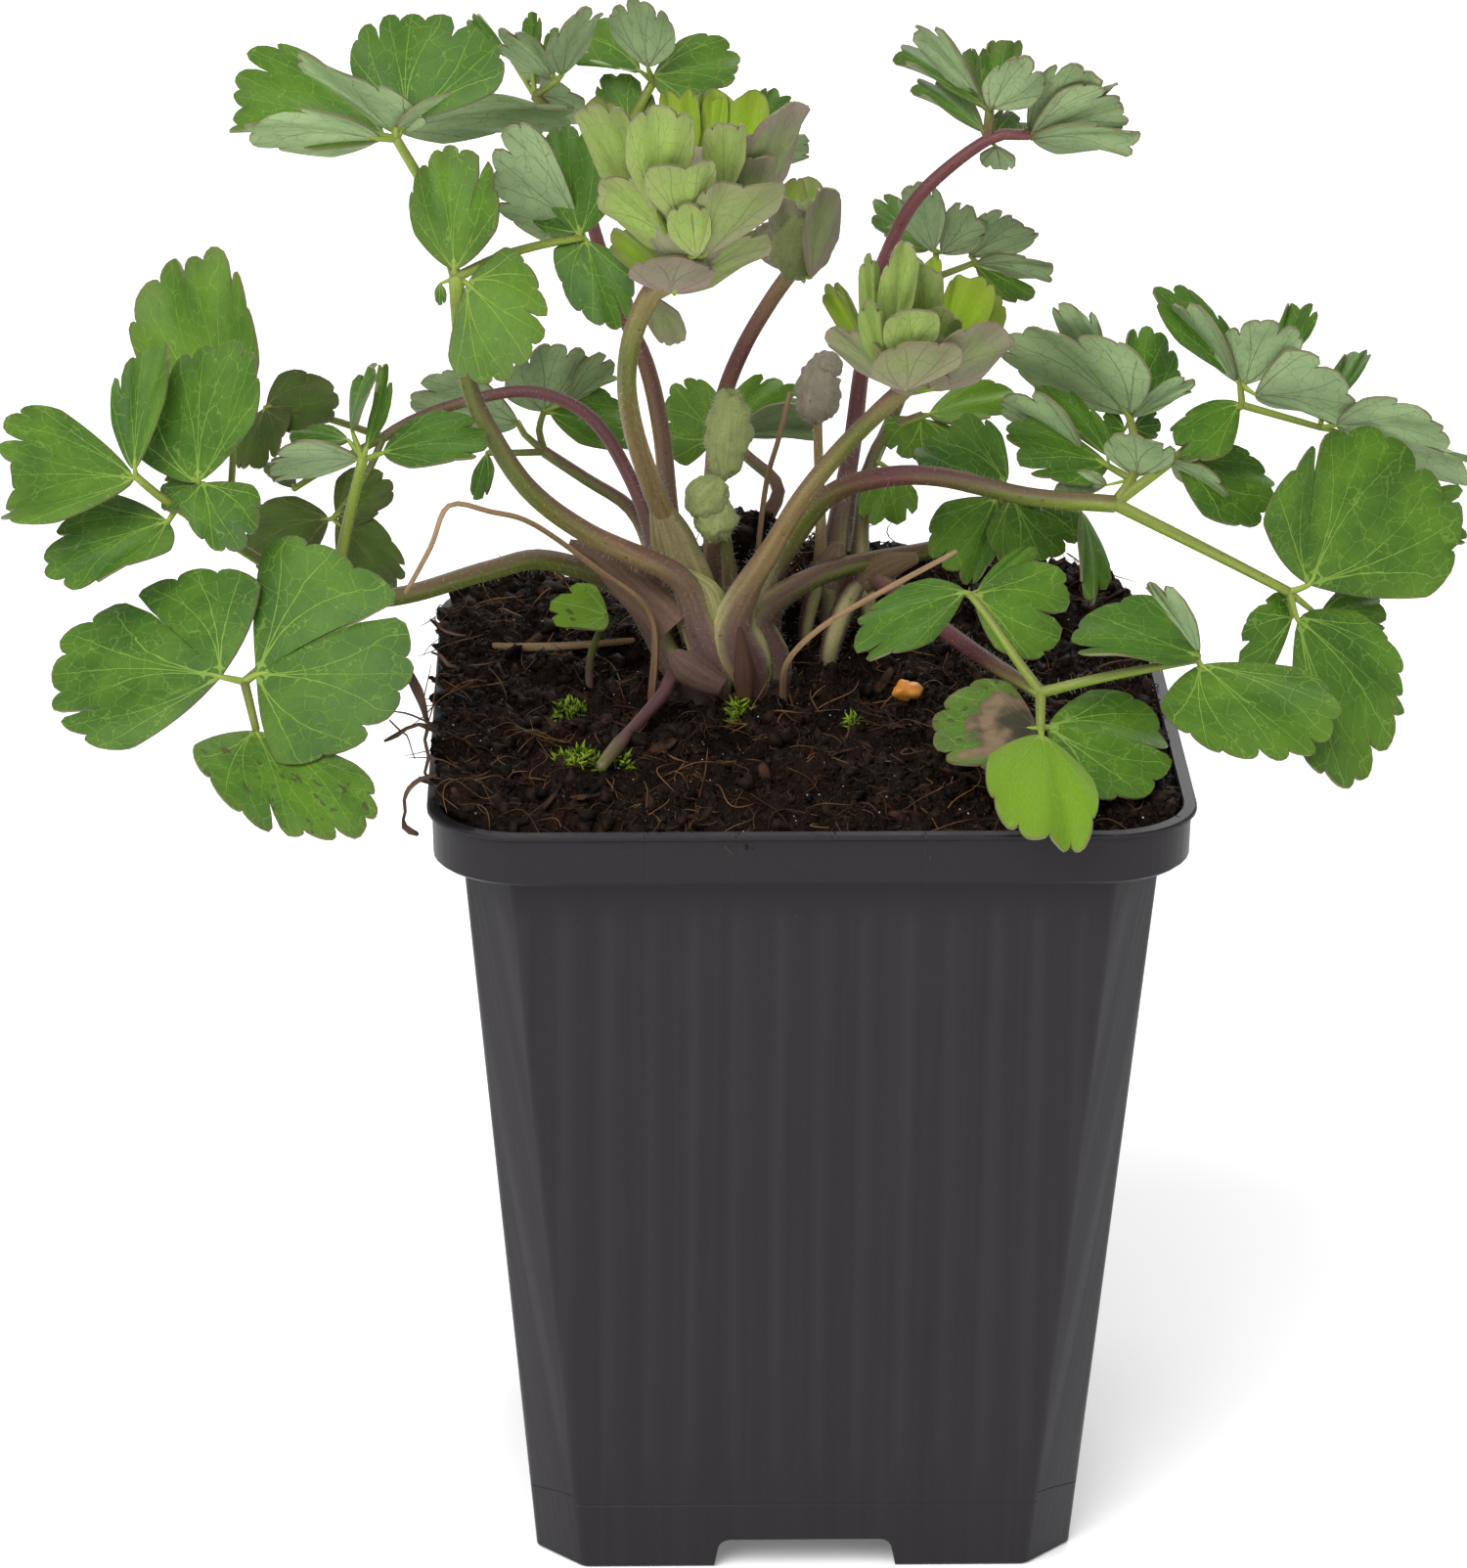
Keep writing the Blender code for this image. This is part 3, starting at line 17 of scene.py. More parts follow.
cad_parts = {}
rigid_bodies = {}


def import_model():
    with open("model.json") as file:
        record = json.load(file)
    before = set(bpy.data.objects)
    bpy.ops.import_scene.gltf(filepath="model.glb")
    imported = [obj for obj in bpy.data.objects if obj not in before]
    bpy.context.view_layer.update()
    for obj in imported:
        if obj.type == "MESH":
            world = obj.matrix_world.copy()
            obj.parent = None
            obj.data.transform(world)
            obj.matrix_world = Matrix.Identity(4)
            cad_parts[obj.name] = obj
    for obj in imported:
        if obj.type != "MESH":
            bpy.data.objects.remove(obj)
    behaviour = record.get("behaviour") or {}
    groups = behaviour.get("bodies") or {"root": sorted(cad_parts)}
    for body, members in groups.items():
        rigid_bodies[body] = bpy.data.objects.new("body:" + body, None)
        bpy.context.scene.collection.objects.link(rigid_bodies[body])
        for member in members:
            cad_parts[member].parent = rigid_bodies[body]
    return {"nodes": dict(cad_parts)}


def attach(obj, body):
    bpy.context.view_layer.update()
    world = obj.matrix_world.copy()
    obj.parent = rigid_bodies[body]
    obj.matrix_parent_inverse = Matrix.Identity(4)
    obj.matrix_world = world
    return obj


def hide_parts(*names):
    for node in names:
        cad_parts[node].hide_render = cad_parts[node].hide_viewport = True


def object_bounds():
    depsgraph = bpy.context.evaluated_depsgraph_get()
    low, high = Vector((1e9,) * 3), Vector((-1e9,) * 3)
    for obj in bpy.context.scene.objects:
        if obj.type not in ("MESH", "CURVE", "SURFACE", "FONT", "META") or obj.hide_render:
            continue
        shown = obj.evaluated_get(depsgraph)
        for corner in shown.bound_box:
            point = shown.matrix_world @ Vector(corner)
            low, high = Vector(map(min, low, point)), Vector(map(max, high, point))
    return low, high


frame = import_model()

SOLID_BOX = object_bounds()
MM = 0.001
POT_CENTRE = Vector((7.6, 3.7, 0.0))
print("solids:", len(frame["nodes"]), "box in mm:")
for corner in SOLID_BOX:
    print([round(c / MM, 1) for c in corner])

# %% [markdown]
# The photograph was taken from a little above with a long lens. Its camera comes first, because the plant is
# laid out through it: a point of a leaf is the pixel where it shows and its depth behind the pot's middle.

# %% The camera
EYE = Vector((-25.06, -702.73, 361.2))
PITCH, YAW, ROLL = radians(21.0), radians(1.35), radians(0.265)
FOCAL = 6209.0
PICTURE_MIDDLE = (750.0, 801.5)
SENSOR = 36.0
NEAREST, FARTHEST = 0.05, 20.0


def camera_axes():
    forward = Vector((sin(YAW) * cos(PITCH), cos(YAW) * cos(PITCH), -sin(PITCH)))
    level = Vector((cos(YAW), -sin(YAW), 0.0))
    upright = level.cross(forward)
    right = cos(ROLL) * level + sin(ROLL) * upright
    return forward, right, -sin(ROLL) * level + cos(ROLL) * upright


FORWARD, RIGHT, UP = camera_axes()
lens = bpy.data.cameras.new("photo_camera")
lens.sensor_fit = "VERTICAL"
lens.sensor_height = SENSOR
lens.lens = FOCAL / (2 * PICTURE_MIDDLE[1]) * SENSOR
lens.clip_start, lens.clip_end = NEAREST, FARTHEST
camera = bpy.data.objects.new("photo_camera", lens)
camera.matrix_world = (
    Matrix.Translation((EYE + POT_CENTRE) * MM) @ Matrix((RIGHT, UP, -FORWARD)).transposed().to_4x4()
)
bpy.context.scene.collection.objects.link(camera)
bpy.context.scene.camera = camera
print("lens:", round(lens.lens, 1), "mm")


def sight(px, py):
    """The line of sight through a pixel."""
    return FORWARD + RIGHT * ((px - PICTURE_MIDDLE[0]) / FOCAL) - UP * ((py - PICTURE_MIDDLE[1]) / FOCAL)


def seen(px, py, depth):
    """The point at a pixel, that many mm behind the pot's middle."""
    ray = sight(px, py)
    return EYE + ray * ((depth - EYE.y) / ray.y)


def seen_on_plane(px, py, point, normal):
    ray = sight(px, py)
    return EYE + ray * ((point - EYE).dot(normal) / ray.dot(normal))


# %% [markdown]
# The light is a plain studio's: a large softbox above on the left, a weak one on the right, one from behind
# for the leaf edges, and a pale floor that glows a little, so that it stays white in the shade.

# %% Lights
LIGHTS = (  # name, place and size in m, power in W
    ("key_light", (-0.65, -1.0, 1.4), 1.5, 33),
    ("fill_light", (1.0, -0.75, 0.6), 1.0, 2),
    ("back_light", (0.25, 1.0, 0.95), 0.9, 8),
)
LIGHTS_AIM = Vector((0.0, 0.0, 0.12))
SKY_STRENGTH, WHITE = 0.55, (1.0, 1.0, 1.0, 1.0)
for name, place, size, power in LIGHTS:
    light = bpy.data.lights.new(name, "AREA")
    light.shape, light.size, light.energy = "DISK", size, power
    lamp = bpy.data.objects.new(name, light)
    turn = (LIGHTS_AIM - Vector(place)).to_track_quat("-Z", "Y").to_matrix().to_4x4()
    lamp.matrix_world = Matrix.Translation(place) @ turn
    bpy.context.scene.collection.objects.link(lamp)
world = bpy.data.worlds.new("studio")
world.use_nodes = True
sky = world.node_tree.nodes["Background"]
sky.inputs["Color"].default_value = WHITE
sky.inputs["Strength"].default_value = SKY_STRENGTH
bpy.context.scene.world = world
bpy.context.scene.view_settings.view_transform = "Standard"
print("lights:", {name: f"{power} W" for name, _, _, power in LIGHTS})

# %% [markdown]
# Materials are written as sums. `Wire` holds one socket, and its operators add Math nodes, so a line such as
# `1 - mask * 0.5` builds the nodes that it names. `Graph` adds any other node, in a shader or in a geometry
# tree, with its settings first and then its sockets.

# %% Sums on sockets
class Wire:
    """One output socket of a graph, to be used in sums."""

    def __init__(self, graph, socket):
        self.graph, self.socket = graph, socket

    def maths(self, operation, *others):
        return self.graph.node("ShaderNodeMath", {"operation": operation}, dict(enumerate((self, *others))))

    def __add__(self, other):
        return self.maths("ADD", other)

    __radd__ = __add__

    def __mul__(self, other):
        return self.maths("MULTIPLY", other)

    __rmul__ = __mul__

    def __sub__(self, other):
        return self.maths("SUBTRACT", other)

    def __rsub__(self, other):
        return self.graph.node("ShaderNodeMath", {"operation": "SUBTRACT"}, {0: other, 1: self})

    def __truediv__(self, other):
        return self.maths("DIVIDE", other)

    def __abs__(self):
        return self.maths("ABSOLUTE")

    def nearest(self):
        """How far a number is from the nearest whole one: 0 on it and a half between two."""
        return abs(self - self.maths("ROUND"))

    def rise(self, low, high):
        """0 below low, 1 above high and smooth between. Falls where low is the larger."""
        ends = {"Value": self, "From Min": low, "From Max": high}
        return self.graph.node("ShaderNodeMapRange", {"interpolation_type": "SMOOTHSTEP"}, ends)

    def parts(self):
        """The three numbers of a vector."""
        split = self.graph.node("ShaderNodeSeparateXYZ", {}, {"Vector": self})
        return [Wire(self.graph, socket) for socket in split.socket.node.outputs]


class Graph:
    """A node tree that is filled one node at a time."""

    def __init__(self, tree):
        self.tree = tree

    def node(self, kind, settings=None, inputs=None, out=0):
        made = self.tree.nodes.new(kind)
        for name, value in (settings or {}).items():
            setattr(made, name, value)
        for key, value in (inputs or {}).items():
            if isinstance(value, Wire):
                self.tree.links.new(value.socket, made.inputs[key])
            else:
                made.inputs[key].default_value = value
        return Wire(self, made.outputs[out])

    def scaled(self, vector, by):
        return self.node("ShaderNodeVectorMath", {"operation": "SCALE"}, {"Vector": vector, "Scale": by})


class Finish(Graph):
    """A material: a Principled shader and what feeds it."""

    def __init__(self, name, **fixed):
        self.material = bpy.data.materials.new(name)
        self.material.use_nodes = True
        super().__init__(self.material.node_tree)
        self.shader = self.tree.nodes["Principled BSDF"]
        for socket, value in fixed.items():
            self.shader.inputs[socket.replace("_", " ")].default_value = value

    def place(self):
        """Where a point is on the object, in mm."""
        return self.scaled(self.node("ShaderNodeTexCoord", out="Object"), 1 / MM)

    def map(self, name):
        return self.node("ShaderNodeUVMap", {"uv_map": name})

    def attribute(self, name, out="Vector"):
        return self.node("ShaderNodeAttribute", {"attribute_name": name}, out=out)

    def stretch(self, vector, by):
        return self.node("ShaderNodeVectorMath", {"operation": "MULTIPLY"}, {0: vector, 1: by})

    def noise(self, vector, scale, detail=3.0, roughness=0.55):
        sizes = {"Vector": vector, "Scale": scale, "Detail": detail, "Roughness": roughness}
        return self.node("ShaderNodeTexNoise", {}, sizes)

    def cells(self, vector, scale, feature="DISTANCE_TO_EDGE"):
        sizes = {"Vector": vector, "Scale": scale}
        return self.node("ShaderNodeTexVoronoi", {"feature": feature}, sizes, "Distance")

    def mix(self, share, first, second):
        ends = [(*end, 1.0) if isinstance(end, tuple) else end for end in (first, second)]
        return self.node("ShaderNodeMix", {"data_type": "RGBA"}, {0: share, 6: ends[0], 7: ends[1]}, 2)

    def wear(self, colour, roughness=None, height=None, depth=0.2, strength=0.6):
        """Plugs in what varies over the surface; height is 0 to 1 and depth is in mm."""
        self.tree.links.new(colour.socket, self.shader.inputs["Base Color"])
        if roughness is not None:
            self.tree.links.new(roughness.socket, self.shader.inputs["Roughness"])
        if height is not None:
            relief = {"Height": height, "Distance": depth * MM, "Strength": strength}
            bump = self.node("ShaderNodeBump", {}, relief)
            self.tree.links.new(bump.socket, self.shader.inputs["Normal"])
        return self.material


# %% The floor
FLOOR_SIZE = 8.0
floor_finish = Finish("pale_floor", Roughness=0.9, Emission_Color=WHITE, Emission_Strength=0.14)
grain = floor_finish.noise(floor_finish.place(), 0.02)
floor_tint = floor_finish.mix(grain, (0.92, 0.92, 0.92), (0.95, 0.95, 0.95))
bpy.ops.mesh.primitive_plane_add(size=FLOOR_SIZE)
floor = bpy.context.object
floor.name = "floor"
floor.data.materials.append(floor_finish.wear(floor_tint))

# %% [markdown]
# The pot is one thin moulding. Its outline is a square with rounded corners at the rim and cut corners below,
# so it is a loft through rings that all have the same number of points. The arched notches and the drain
# holes are cut afterwards.

# %% The pot's rings
POT_HEIGHT, RIM_HEIGHT, WALL, SKIRT_WALL = 102.3, 6.6, 1.0, 1.8
LIP_HALF, RIM_HALF, RIM_CORNER = 45.5, 44.8, 10.8
BODY_TOP_HALF, BODY_BASE_HALF, CHAMFER, EDGE_ROUND = 41.3, 33.3, 5.8, 1.6
FLOOR_UNDERSIDE, FLOOR_THICK = 4.4, 1.2
CORNER_POINTS, TAN_OF_HALF_CORNER = 10, 0.414


def corner_outline(half, corner, rounded):
    """The points of one corner: an arc, or a straight cut whose two edges are rounded."""
    if rounded:
        turns = [i / (CORNER_POINTS - 1) * pi / 2 for i in range(CORNER_POINTS)]
        return [(half - corner + corner * sin(a), -half + corner - corner * cos(a)) for a in turns]
    side = CORNER_POINTS // 2
    first = []
    for i in range(side):
        a = i / (side - 1) * pi / 4
        start = half - corner - EDGE_ROUND * TAN_OF_HALF_CORNER
        first.append((start + EDGE_ROUND * sin(a), -half + EDGE_ROUND * (1 - cos(a))))
    return first + [(-y, -x) for x, y in reversed(first)]


def square_ring(half, height, corner, rounded):
    ring = []
    for quarter in range(4):
        turn = Matrix.Rotation(quarter * pi / 2, 3, "Z")
        ring += [turn @ Vector((x, y, height)) for x, y in corner_outline(half, corner, rounded)]
    return ring


def body_half(z):
    return BODY_BASE_HALF + (BODY_TOP_HALF - BODY_BASE_HALF) * z / (POT_HEIGHT - RIM_HEIGHT)


print("the pot's wall leans out by", round(body_half(POT_HEIGHT - RIM_HEIGHT) - body_half(0.0), 1), "mm")


# %% Meshes and pieces
def new_mesh(name, verts, faces):
    """An object from points in mm round the pot's middle."""
    mesh = bpy.data.meshes.new(name)
    mesh.from_pydata([(Vector(v) + POT_CENTRE) * MM for v in verts], [], faces)
    return bpy.data.objects.new(name, mesh)


def plain(obj):
    """The object as a plain mesh, its modifiers or curve worked out and its place in the mesh."""
    if not obj.users_collection:
        bpy.context.scene.collection.objects.link(obj)
    bpy.context.view_layer.update()
    ready = obj.evaluated_get(bpy.context.evaluated_depsgraph_get())
    mesh = bpy.data.meshes.new_from_object(ready)
    mesh.transform(obj.matrix_world)
    name = obj.name
    bpy.data.objects.remove(obj)
    made = bpy.data.objects.new(name, mesh)
    bpy.context.scene.collection.objects.link(made)
    return made


def settle(piece, slot, *nodes):
    """The last step of every piece: it rides on the one body and stands for its solids."""
    if not piece.users_collection:
        bpy.context.scene.collection.objects.link(piece)
    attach(piece, "root")
    if nodes:
        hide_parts(*nodes)
    print(f"{piece.name}: {len(piece.data.polygons)} faces")


# %% Shape the pot
def loft(name, rings):
    """A closed skin through rings of points, with a flat face at each end."""
    count = len(rings[0])
    verts = [v for ring in rings for v in ring]
    faces = [list(range(count))[::-1], list(range(len(verts) - count, len(verts)))]
    for k in range(len(rings) - 1):
        for i in range(count):
            j = (i + 1) % count
            faces.append((k * count + i, k * count + j, (k + 1) * count + j, (k + 1) * count + i))
    return new_mesh(name, verts, faces)


rim_bottom = POT_HEIGHT - RIM_HEIGHT
floor_top = FLOOR_UNDERSIDE + FLOOR_THICK
profile = [  # half width, height, corner, and whether the corner is round
    (BODY_BASE_HALF - SKIRT_WALL, FLOOR_UNDERSIDE, CHAMFER - WALL, False),
    (BODY_BASE_HALF - SKIRT_WALL, 0.2, CHAMFER - WALL, False),
    (BODY_BASE_HALF - SKIRT_WALL + 0.25, 0.0, CHAMFER - WALL, False),
    (BODY_BASE_HALF - 0.3, 0.0, CHAMFER, False),
    (BODY_BASE_HALF, 0.3, CHAMFER, False),
    (BODY_TOP_HALF, rim_bottom, CHAMFER, False),
    (RIM_HALF - 0.4, rim_bottom + 0.05, RIM_CORNER, True),
    (RIM_HALF, rim_bottom + 0.5, RIM_CORNER, True),
    (RIM_HALF + 0.1, POT_HEIGHT - 0.9, RIM_CORNER, True),
    (LIP_HALF - 0.2, POT_HEIGHT - 0.7, RIM_CORNER, True),
    (LIP_HALF, POT_HEIGHT - 0.5, RIM_CORNER, True),
    (LIP_HALF, POT_HEIGHT - 0.2, RIM_CORNER, True),
    (LIP_HALF - 0.2, POT_HEIGHT, RIM_CORNER, True),
    (RIM_HALF - WALL + 0.2, POT_HEIGHT, RIM_CORNER - WALL, True),
    (RIM_HALF - WALL, POT_HEIGHT - 0.3, RIM_CORNER - WALL, True),
    (RIM_HALF - WALL, rim_bottom + 1.5, RIM_CORNER - WALL, True),
    (BODY_TOP_HALF - WALL, rim_bottom + 1.2, CHAMFER - WALL / 2, False),
    (body_half(floor_top) - WALL, floor_top, CHAMFER - WALL / 2, False),
]
pot = loft("nursery_pot", [square_ring(*row) for row in profile])
bpy.context.scene.collection.objects.link(pot)
print("pot before the cuts:", len(pot.data.polygons), "faces")

# %% Cut the notches and the drain holes
NOTCH_WIDTH, NOTCH_HEIGHT, NOTCH_ROUND, NOTCH_TOP_SHARE, NOTCH_STEPS = 23.0, 3.9, 1.5, 0.94, 4
DRAIN_RADIUS, DRAIN_AT, DRILL_LENGTH, DRILL_SIDES = 3.6, 17.0, 6.0, 32
SMOOTH_BELOW = radians(28)
cutters = bpy.data.collections.new("pot_cutters")
bpy.context.scene.collection.children.link(cutters)


def prism(name, outline, across):
    """A prism from an outline in x and z, as deep as across in y."""
    count = len(outline)
    verts = [(x, y, z) for y in (-across / 2, across / 2) for x, z in outline]
    faces = [list(range(count)), list(range(2 * count - 1, count - 1, -1))]
    faces += [(i, i + count, (i + 1) % count + count, (i + 1) % count) for i in range(count)]
    return new_mesh(name, verts, faces)


arch = [(-NOTCH_WIDTH / 2, -1.0), (NOTCH_WIDTH / 2, -1.0)]
for i in range(NOTCH_STEPS + 1):
    a = i / NOTCH_STEPS * pi / 2
    x = NOTCH_WIDTH / 2 * NOTCH_TOP_SHARE - NOTCH_ROUND * (1 - cos(a))
    arch.append((x, NOTCH_HEIGHT - NOTCH_ROUND * (1 - sin(a))))
arch += [(-x, z) for x, z in reversed(arch[2:])]
for side in range(4):
    notch = prism(f"notch_{side}", arch, 4 * SKIRT_WALL)
    out = Vector((0, -(BODY_BASE_HALF - SKIRT_WALL / 2) * MM, 0))
    round_pot = Matrix.Translation(POT_CENTRE * MM) @ Matrix.Rotation(side * pi / 2, 4, "Z")
    notch.matrix_world = round_pot @ Matrix.Translation(out) @ Matrix.Translation(-POT_CENTRE * MM)
    cutters.objects.link(notch)
for x in (-DRAIN_AT, DRAIN_AT):
    for y in (-DRAIN_AT, DRAIN_AT):
        hole = bmesh.new()
        middle = (Vector((x, y, FLOOR_UNDERSIDE)) + POT_CENTRE) * MM
        bmesh.ops.create_cone(
            hole, cap_ends=True, segments=DRILL_SIDES, radius1=DRAIN_RADIUS * MM, radius2=DRAIN_RADIUS * MM,
            depth=DRILL_LENGTH * MM, matrix=Matrix.Translation(middle),
        )
        drain = bpy.data.objects.new("drain", bpy.data.meshes.new("drain"))
        hole.to_mesh(drain.data)
        hole.free()
        cutters.objects.link(drain)
cut = pot.modifiers.new("cut", "BOOLEAN")
cut.operand_type = "COLLECTION"
cut.collection = cutters
cut.solver = "EXACT"
pot = plain(pot)
for cutter in list(cutters.objects):
    bpy.data.objects.remove(cutter)
bpy.data.collections.remove(cutters)
pot.data.shade_smooth()
pot.data.set_sharp_from_angle(angle=SMOOTH_BELOW)
print("pot after the cuts:", len(pot.data.polygons), "faces")

# %% [markdown]
# The pot's plastic is nearly black, slightly warm and satin. Its faces have faint upright flutes from the
# mould, and the flutes and some broad upright streaks are painted lighter as painted sheen. A fine seam runs
# round it near the foot, with painted shade in its groove, and the lip carries specks of peat. The flutes
# follow a width across each face, so the pot gets a map of its own: across the face, and up.

# %% The pot's map and finish
FLUTE_GAP, SEAM_HEIGHT, SEAM_CLIMB = 5.1, 9.0, 1.4
PANEL_SHIFT, PANEL_LINES = 3.5, (5.6, 16.2)
face_map = pot.data.uv_layers.new(name="face")
for face in pot.data.polygons:
    front = abs(face.normal.y) >= abs(face.normal.x)
    for corner in face.loop_indices:
        spot = pot.data.vertices[pot.data.loops[corner].vertex_index].co / MM - POT_CENTRE
        face_map.data[corner].uv = (spot.x if front else spot.y, spot.z)

plastic = Finish("nursery_plastic", IOR=1.46, Specular_IOR_Level=0.22)
across, up, _ = plastic.map("face").parts()
spot = plastic.place()
flute = (across / FLUTE_GAP + 0.25).nearest().rise(0.2, 0.5)
flute = flute * up.rise(rim_bottom - 1, rim_bottom - 6) * up.rise(9, 20)
fine_flute = plastic.noise(plastic.stretch(plastic.map("face"), (1.0, 0.02, 1.0)), 0.9, 2.0)
seam_height = SEAM_HEIGHT + abs(across).rise(27.0, 34.0) * SEAM_CLIMB
seam = abs(up - seam_height).rise(0.22, 0.05)
inner, outer = (abs(abs(across + PANEL_SHIFT) - line).rise(0.3, 0.05) for line in PANEL_LINES)
panel = (inner + outer) * up.rise(rim_bottom, rim_bottom + 1)
haze = plastic.noise(spot, 0.05, 2.0)
dust = plastic.noise(spot, 1.6, 6.0, 0.7).rise(0.62, 0.72) * up.rise(60, 103)
tint = plastic.mix(haze, (0.012, 0.01, 0.0127), (0.0165, 0.0142, 0.0174))
# broad upright streaks with no relief, used only as painted sheen
broad_sheen = plastic.noise(plastic.stretch(plastic.map("face"), (1.0, 0.004, 1.0)), 0.16, 3.0)
broad_sheen = broad_sheen.rise(0.35, 0.65)
flute_sheen = flute * 0.6 + fine_flute.rise(0.4, 0.7) * 0.25 + broad_sheen * 0.3
flute_sheen = flute_sheen * up.rise(rim_bottom, rim_bottom - 8)
# painted sheen: the flutes and the broad streaks are painted lighter
tint = plastic.mix(flute_sheen * 0.4, tint, (0.032, 0.029, 0.033))
# painted shade: the seam's groove is painted darker
tint = plastic.mix(seam * 0.5, tint, (0.012, 0.01, 0.012))
tint = plastic.mix(dust * 0.55, tint, (0.07, 0.045, 0.03))
gloss = 0.36 + haze * 0.12 + dust * 0.3
height = flute * 0.35 + fine_flute * 0.35 - seam * 0.8 - panel * 0.35 + plastic.noise(spot, 3.0) * 0.06
pot.data.materials.clear()
pot.data.materials.append(plastic.wear(tint, gloss, height, depth=0.3, strength=0.7))
settle(pot, "pot", "pot")

# %% [markdown]
# Peat is a crumbly, fibrous block. Its top is a fine grid, pulled into the pot's rounded square and lifted by
# the same low crown and mound as the solid, with clods and crumbs of noise on top. Loose crumbs, fibres and
# moss are scattered on it later.

# %% The peat's height
SOIL_EDGE, SOIL_CROWN, MOUND_HEIGHT = 101.2, 2.6, 10.5
MOUND_AT, MOUND_SPREAD = (5.0, 25.0), (23.0, 14.0)
SOIL_HALF = RIM_HALF - WALL - 0.3
HEAP_HEIGHT, HEAP_AT, HEAP_SPREAD = 10.5, (-7.0, 17.0), (8.0, 6.5)
FINE_TOP_DROP = 0.7


def mound(x, y, middle, spread):
    """1 on a mound's top, and less away from it."""
    return exp(-(((x - middle[0]) / spread[0]) ** 2) - ((y - middle[1]) / spread[1]) ** 2)


def soil_height(x, y):
    """The top of the soil's solid."""
    edge = min(max(abs(x), abs(y)) / (RIM_HALF - WALL), 1.0)
    clods = 0.35 * sin(0.55 * x + 1.0) * cos(0.47 * y) + 0.25 * sin(0.9 * x - 0.7 * y)
    height = SOIL_EDGE + SOIL_CROWN * (1 - edge**4) + MOUND_HEIGHT * mound(x, y, MOUND_AT, MOUND_SPREAD)
    return height + clods * (1 - edge**8)


def peat_height(x, y):
    """The same top with clods, crumbs, raised edges and a heap behind the crown."""
    spot = Vector((x, y, 0.0))
    clods = noise.noise(spot * 0.16) * 2.2 + abs(noise.noise(spot * 0.42)) * 2.3
    crumbs = abs(noise.noise(spot * 1.1)) * 0.8 + noise.noise(spot * 2.2) * 0.4
    raised = 3.6 * max(0.0, (-x - 34) / 10, (y - 32) / 12) - 0.9 * max(0.0, (-y - 34) / 10)
    raised += 0.9 * max(0.0, (x - 36) / 8)
    heap = HEAP_HEIGHT * mound(x, y, HEAP_AT, HEAP_SPREAD)
    return soil_height(x, y) + clods + crumbs + raised + heap - FINE_TOP_DROP


def square_reach(direction):
    """How far the rounded square of the peat reaches that way."""
    half, corner = SOIL_HALF, RIM_CORNER - WALL
    x, y = abs(direction[0]), abs(direction[1])
    far = half / max(x, y)
    if min(x, y) * far > half - corner:
        middle = half - corner
        along = middle * (x + y)
        far = along + (along * along - 2 * middle * middle + corner * corner) ** 0.5
    return far


print("peat over the middle:", round(peat_height(0.0, 0.0), 1), "mm high")


# %% The peat block
PEAT_CELLS = 170
OVERHANG, OVERHANG_FROM, OVERHANG_FADE, OVERHANG_SIDE = 2.0, 0.93, 0.05, 40
columns = PEAT_CELLS + 1


def grid_faces(cells):
    """The quads of a square grid of points."""
    wide = cells + 1
    corners = (row * wide + column for row in range(cells) for column in range(cells))
    return [(i, i + 1, i + wide + 1, i + wide) for i in corners]


top = []
for row in range(columns):
    for column in range(columns):
        a, b = 2 * column / PEAT_CELLS - 1, 2 * row / PEAT_CELLS - 1
        share = max(abs(a), abs(b))
        if share < 1e-6:
            x = y = 0.0
        else:
            way = (a / hypot(a, b), b / hypot(a, b))
            x, y = (part * square_reach(way) * share for part in way)
        over = OVERHANG * max(0.0, min(1.0, (share - OVERHANG_FROM) / OVERHANG_FADE))
        broad, fine = noise.noise(Vector((x, y, 5.0)) * 0.35), noise.noise(Vector((x, y, 9.0)) * 0.8)
        over *= 0.5 + 1.4 * broad + 0.9 * fine
        z = peat_height(x, y)
        if z > POT_HEIGHT + 0.4:
            x, y = x - over * (x < -OVERHANG_SIDE), y + over * (y > OVERHANG_SIDE)
        top.append((x, y, z))
faces = grid_faces(PEAT_CELLS)
border = list(range(PEAT_CELLS)) + [i * columns + PEAT_CELLS for i in range(PEAT_CELLS)]
border += [PEAT_CELLS * columns + PEAT_CELLS - i for i in range(PEAT_CELLS)]
border += [(PEAT_CELLS - i) * columns for i in range(PEAT_CELLS)]
shoulder = rim_bottom + 1.9
bottom = floor_top + 0.4
levels = [(None, 1.0), (shoulder, 1.0), (shoulder - 0.3, (BODY_TOP_HALF - WALL - 0.4) / SOIL_HALF)]
levels.append((bottom, (body_half(bottom) - WALL - 0.5) / SOIL_HALF))
rim_points = []
for i in border:
    x, y, z = top[i]
    out = hypot(x, y)
    inward = min(1.0, square_reach((x / out, y / out)) / out)
    rim_points.append((x * inward, y * inward, min(z - 0.1, POT_HEIGHT + 0.1)))
rows = [border]
verts = list(top)
for z, share in levels:
    rows.append(list(range(len(verts), len(verts) + len(border))))
    verts += [(x * share, y * share, rim_z if z is None else z) for x, y, rim_z in rim_points]
for upper, lower in zip(rows, rows[1:]):
    for i in range(len(border)):
        j = (i + 1) % len(border)
        faces.append((upper[j], upper[i], lower[i], lower[j]))
faces.append(rows[-1][::-1])
peat = new_mesh("peat", verts, faces)
peat.data.shade_smooth()
print("peat:", len(verts), "points")

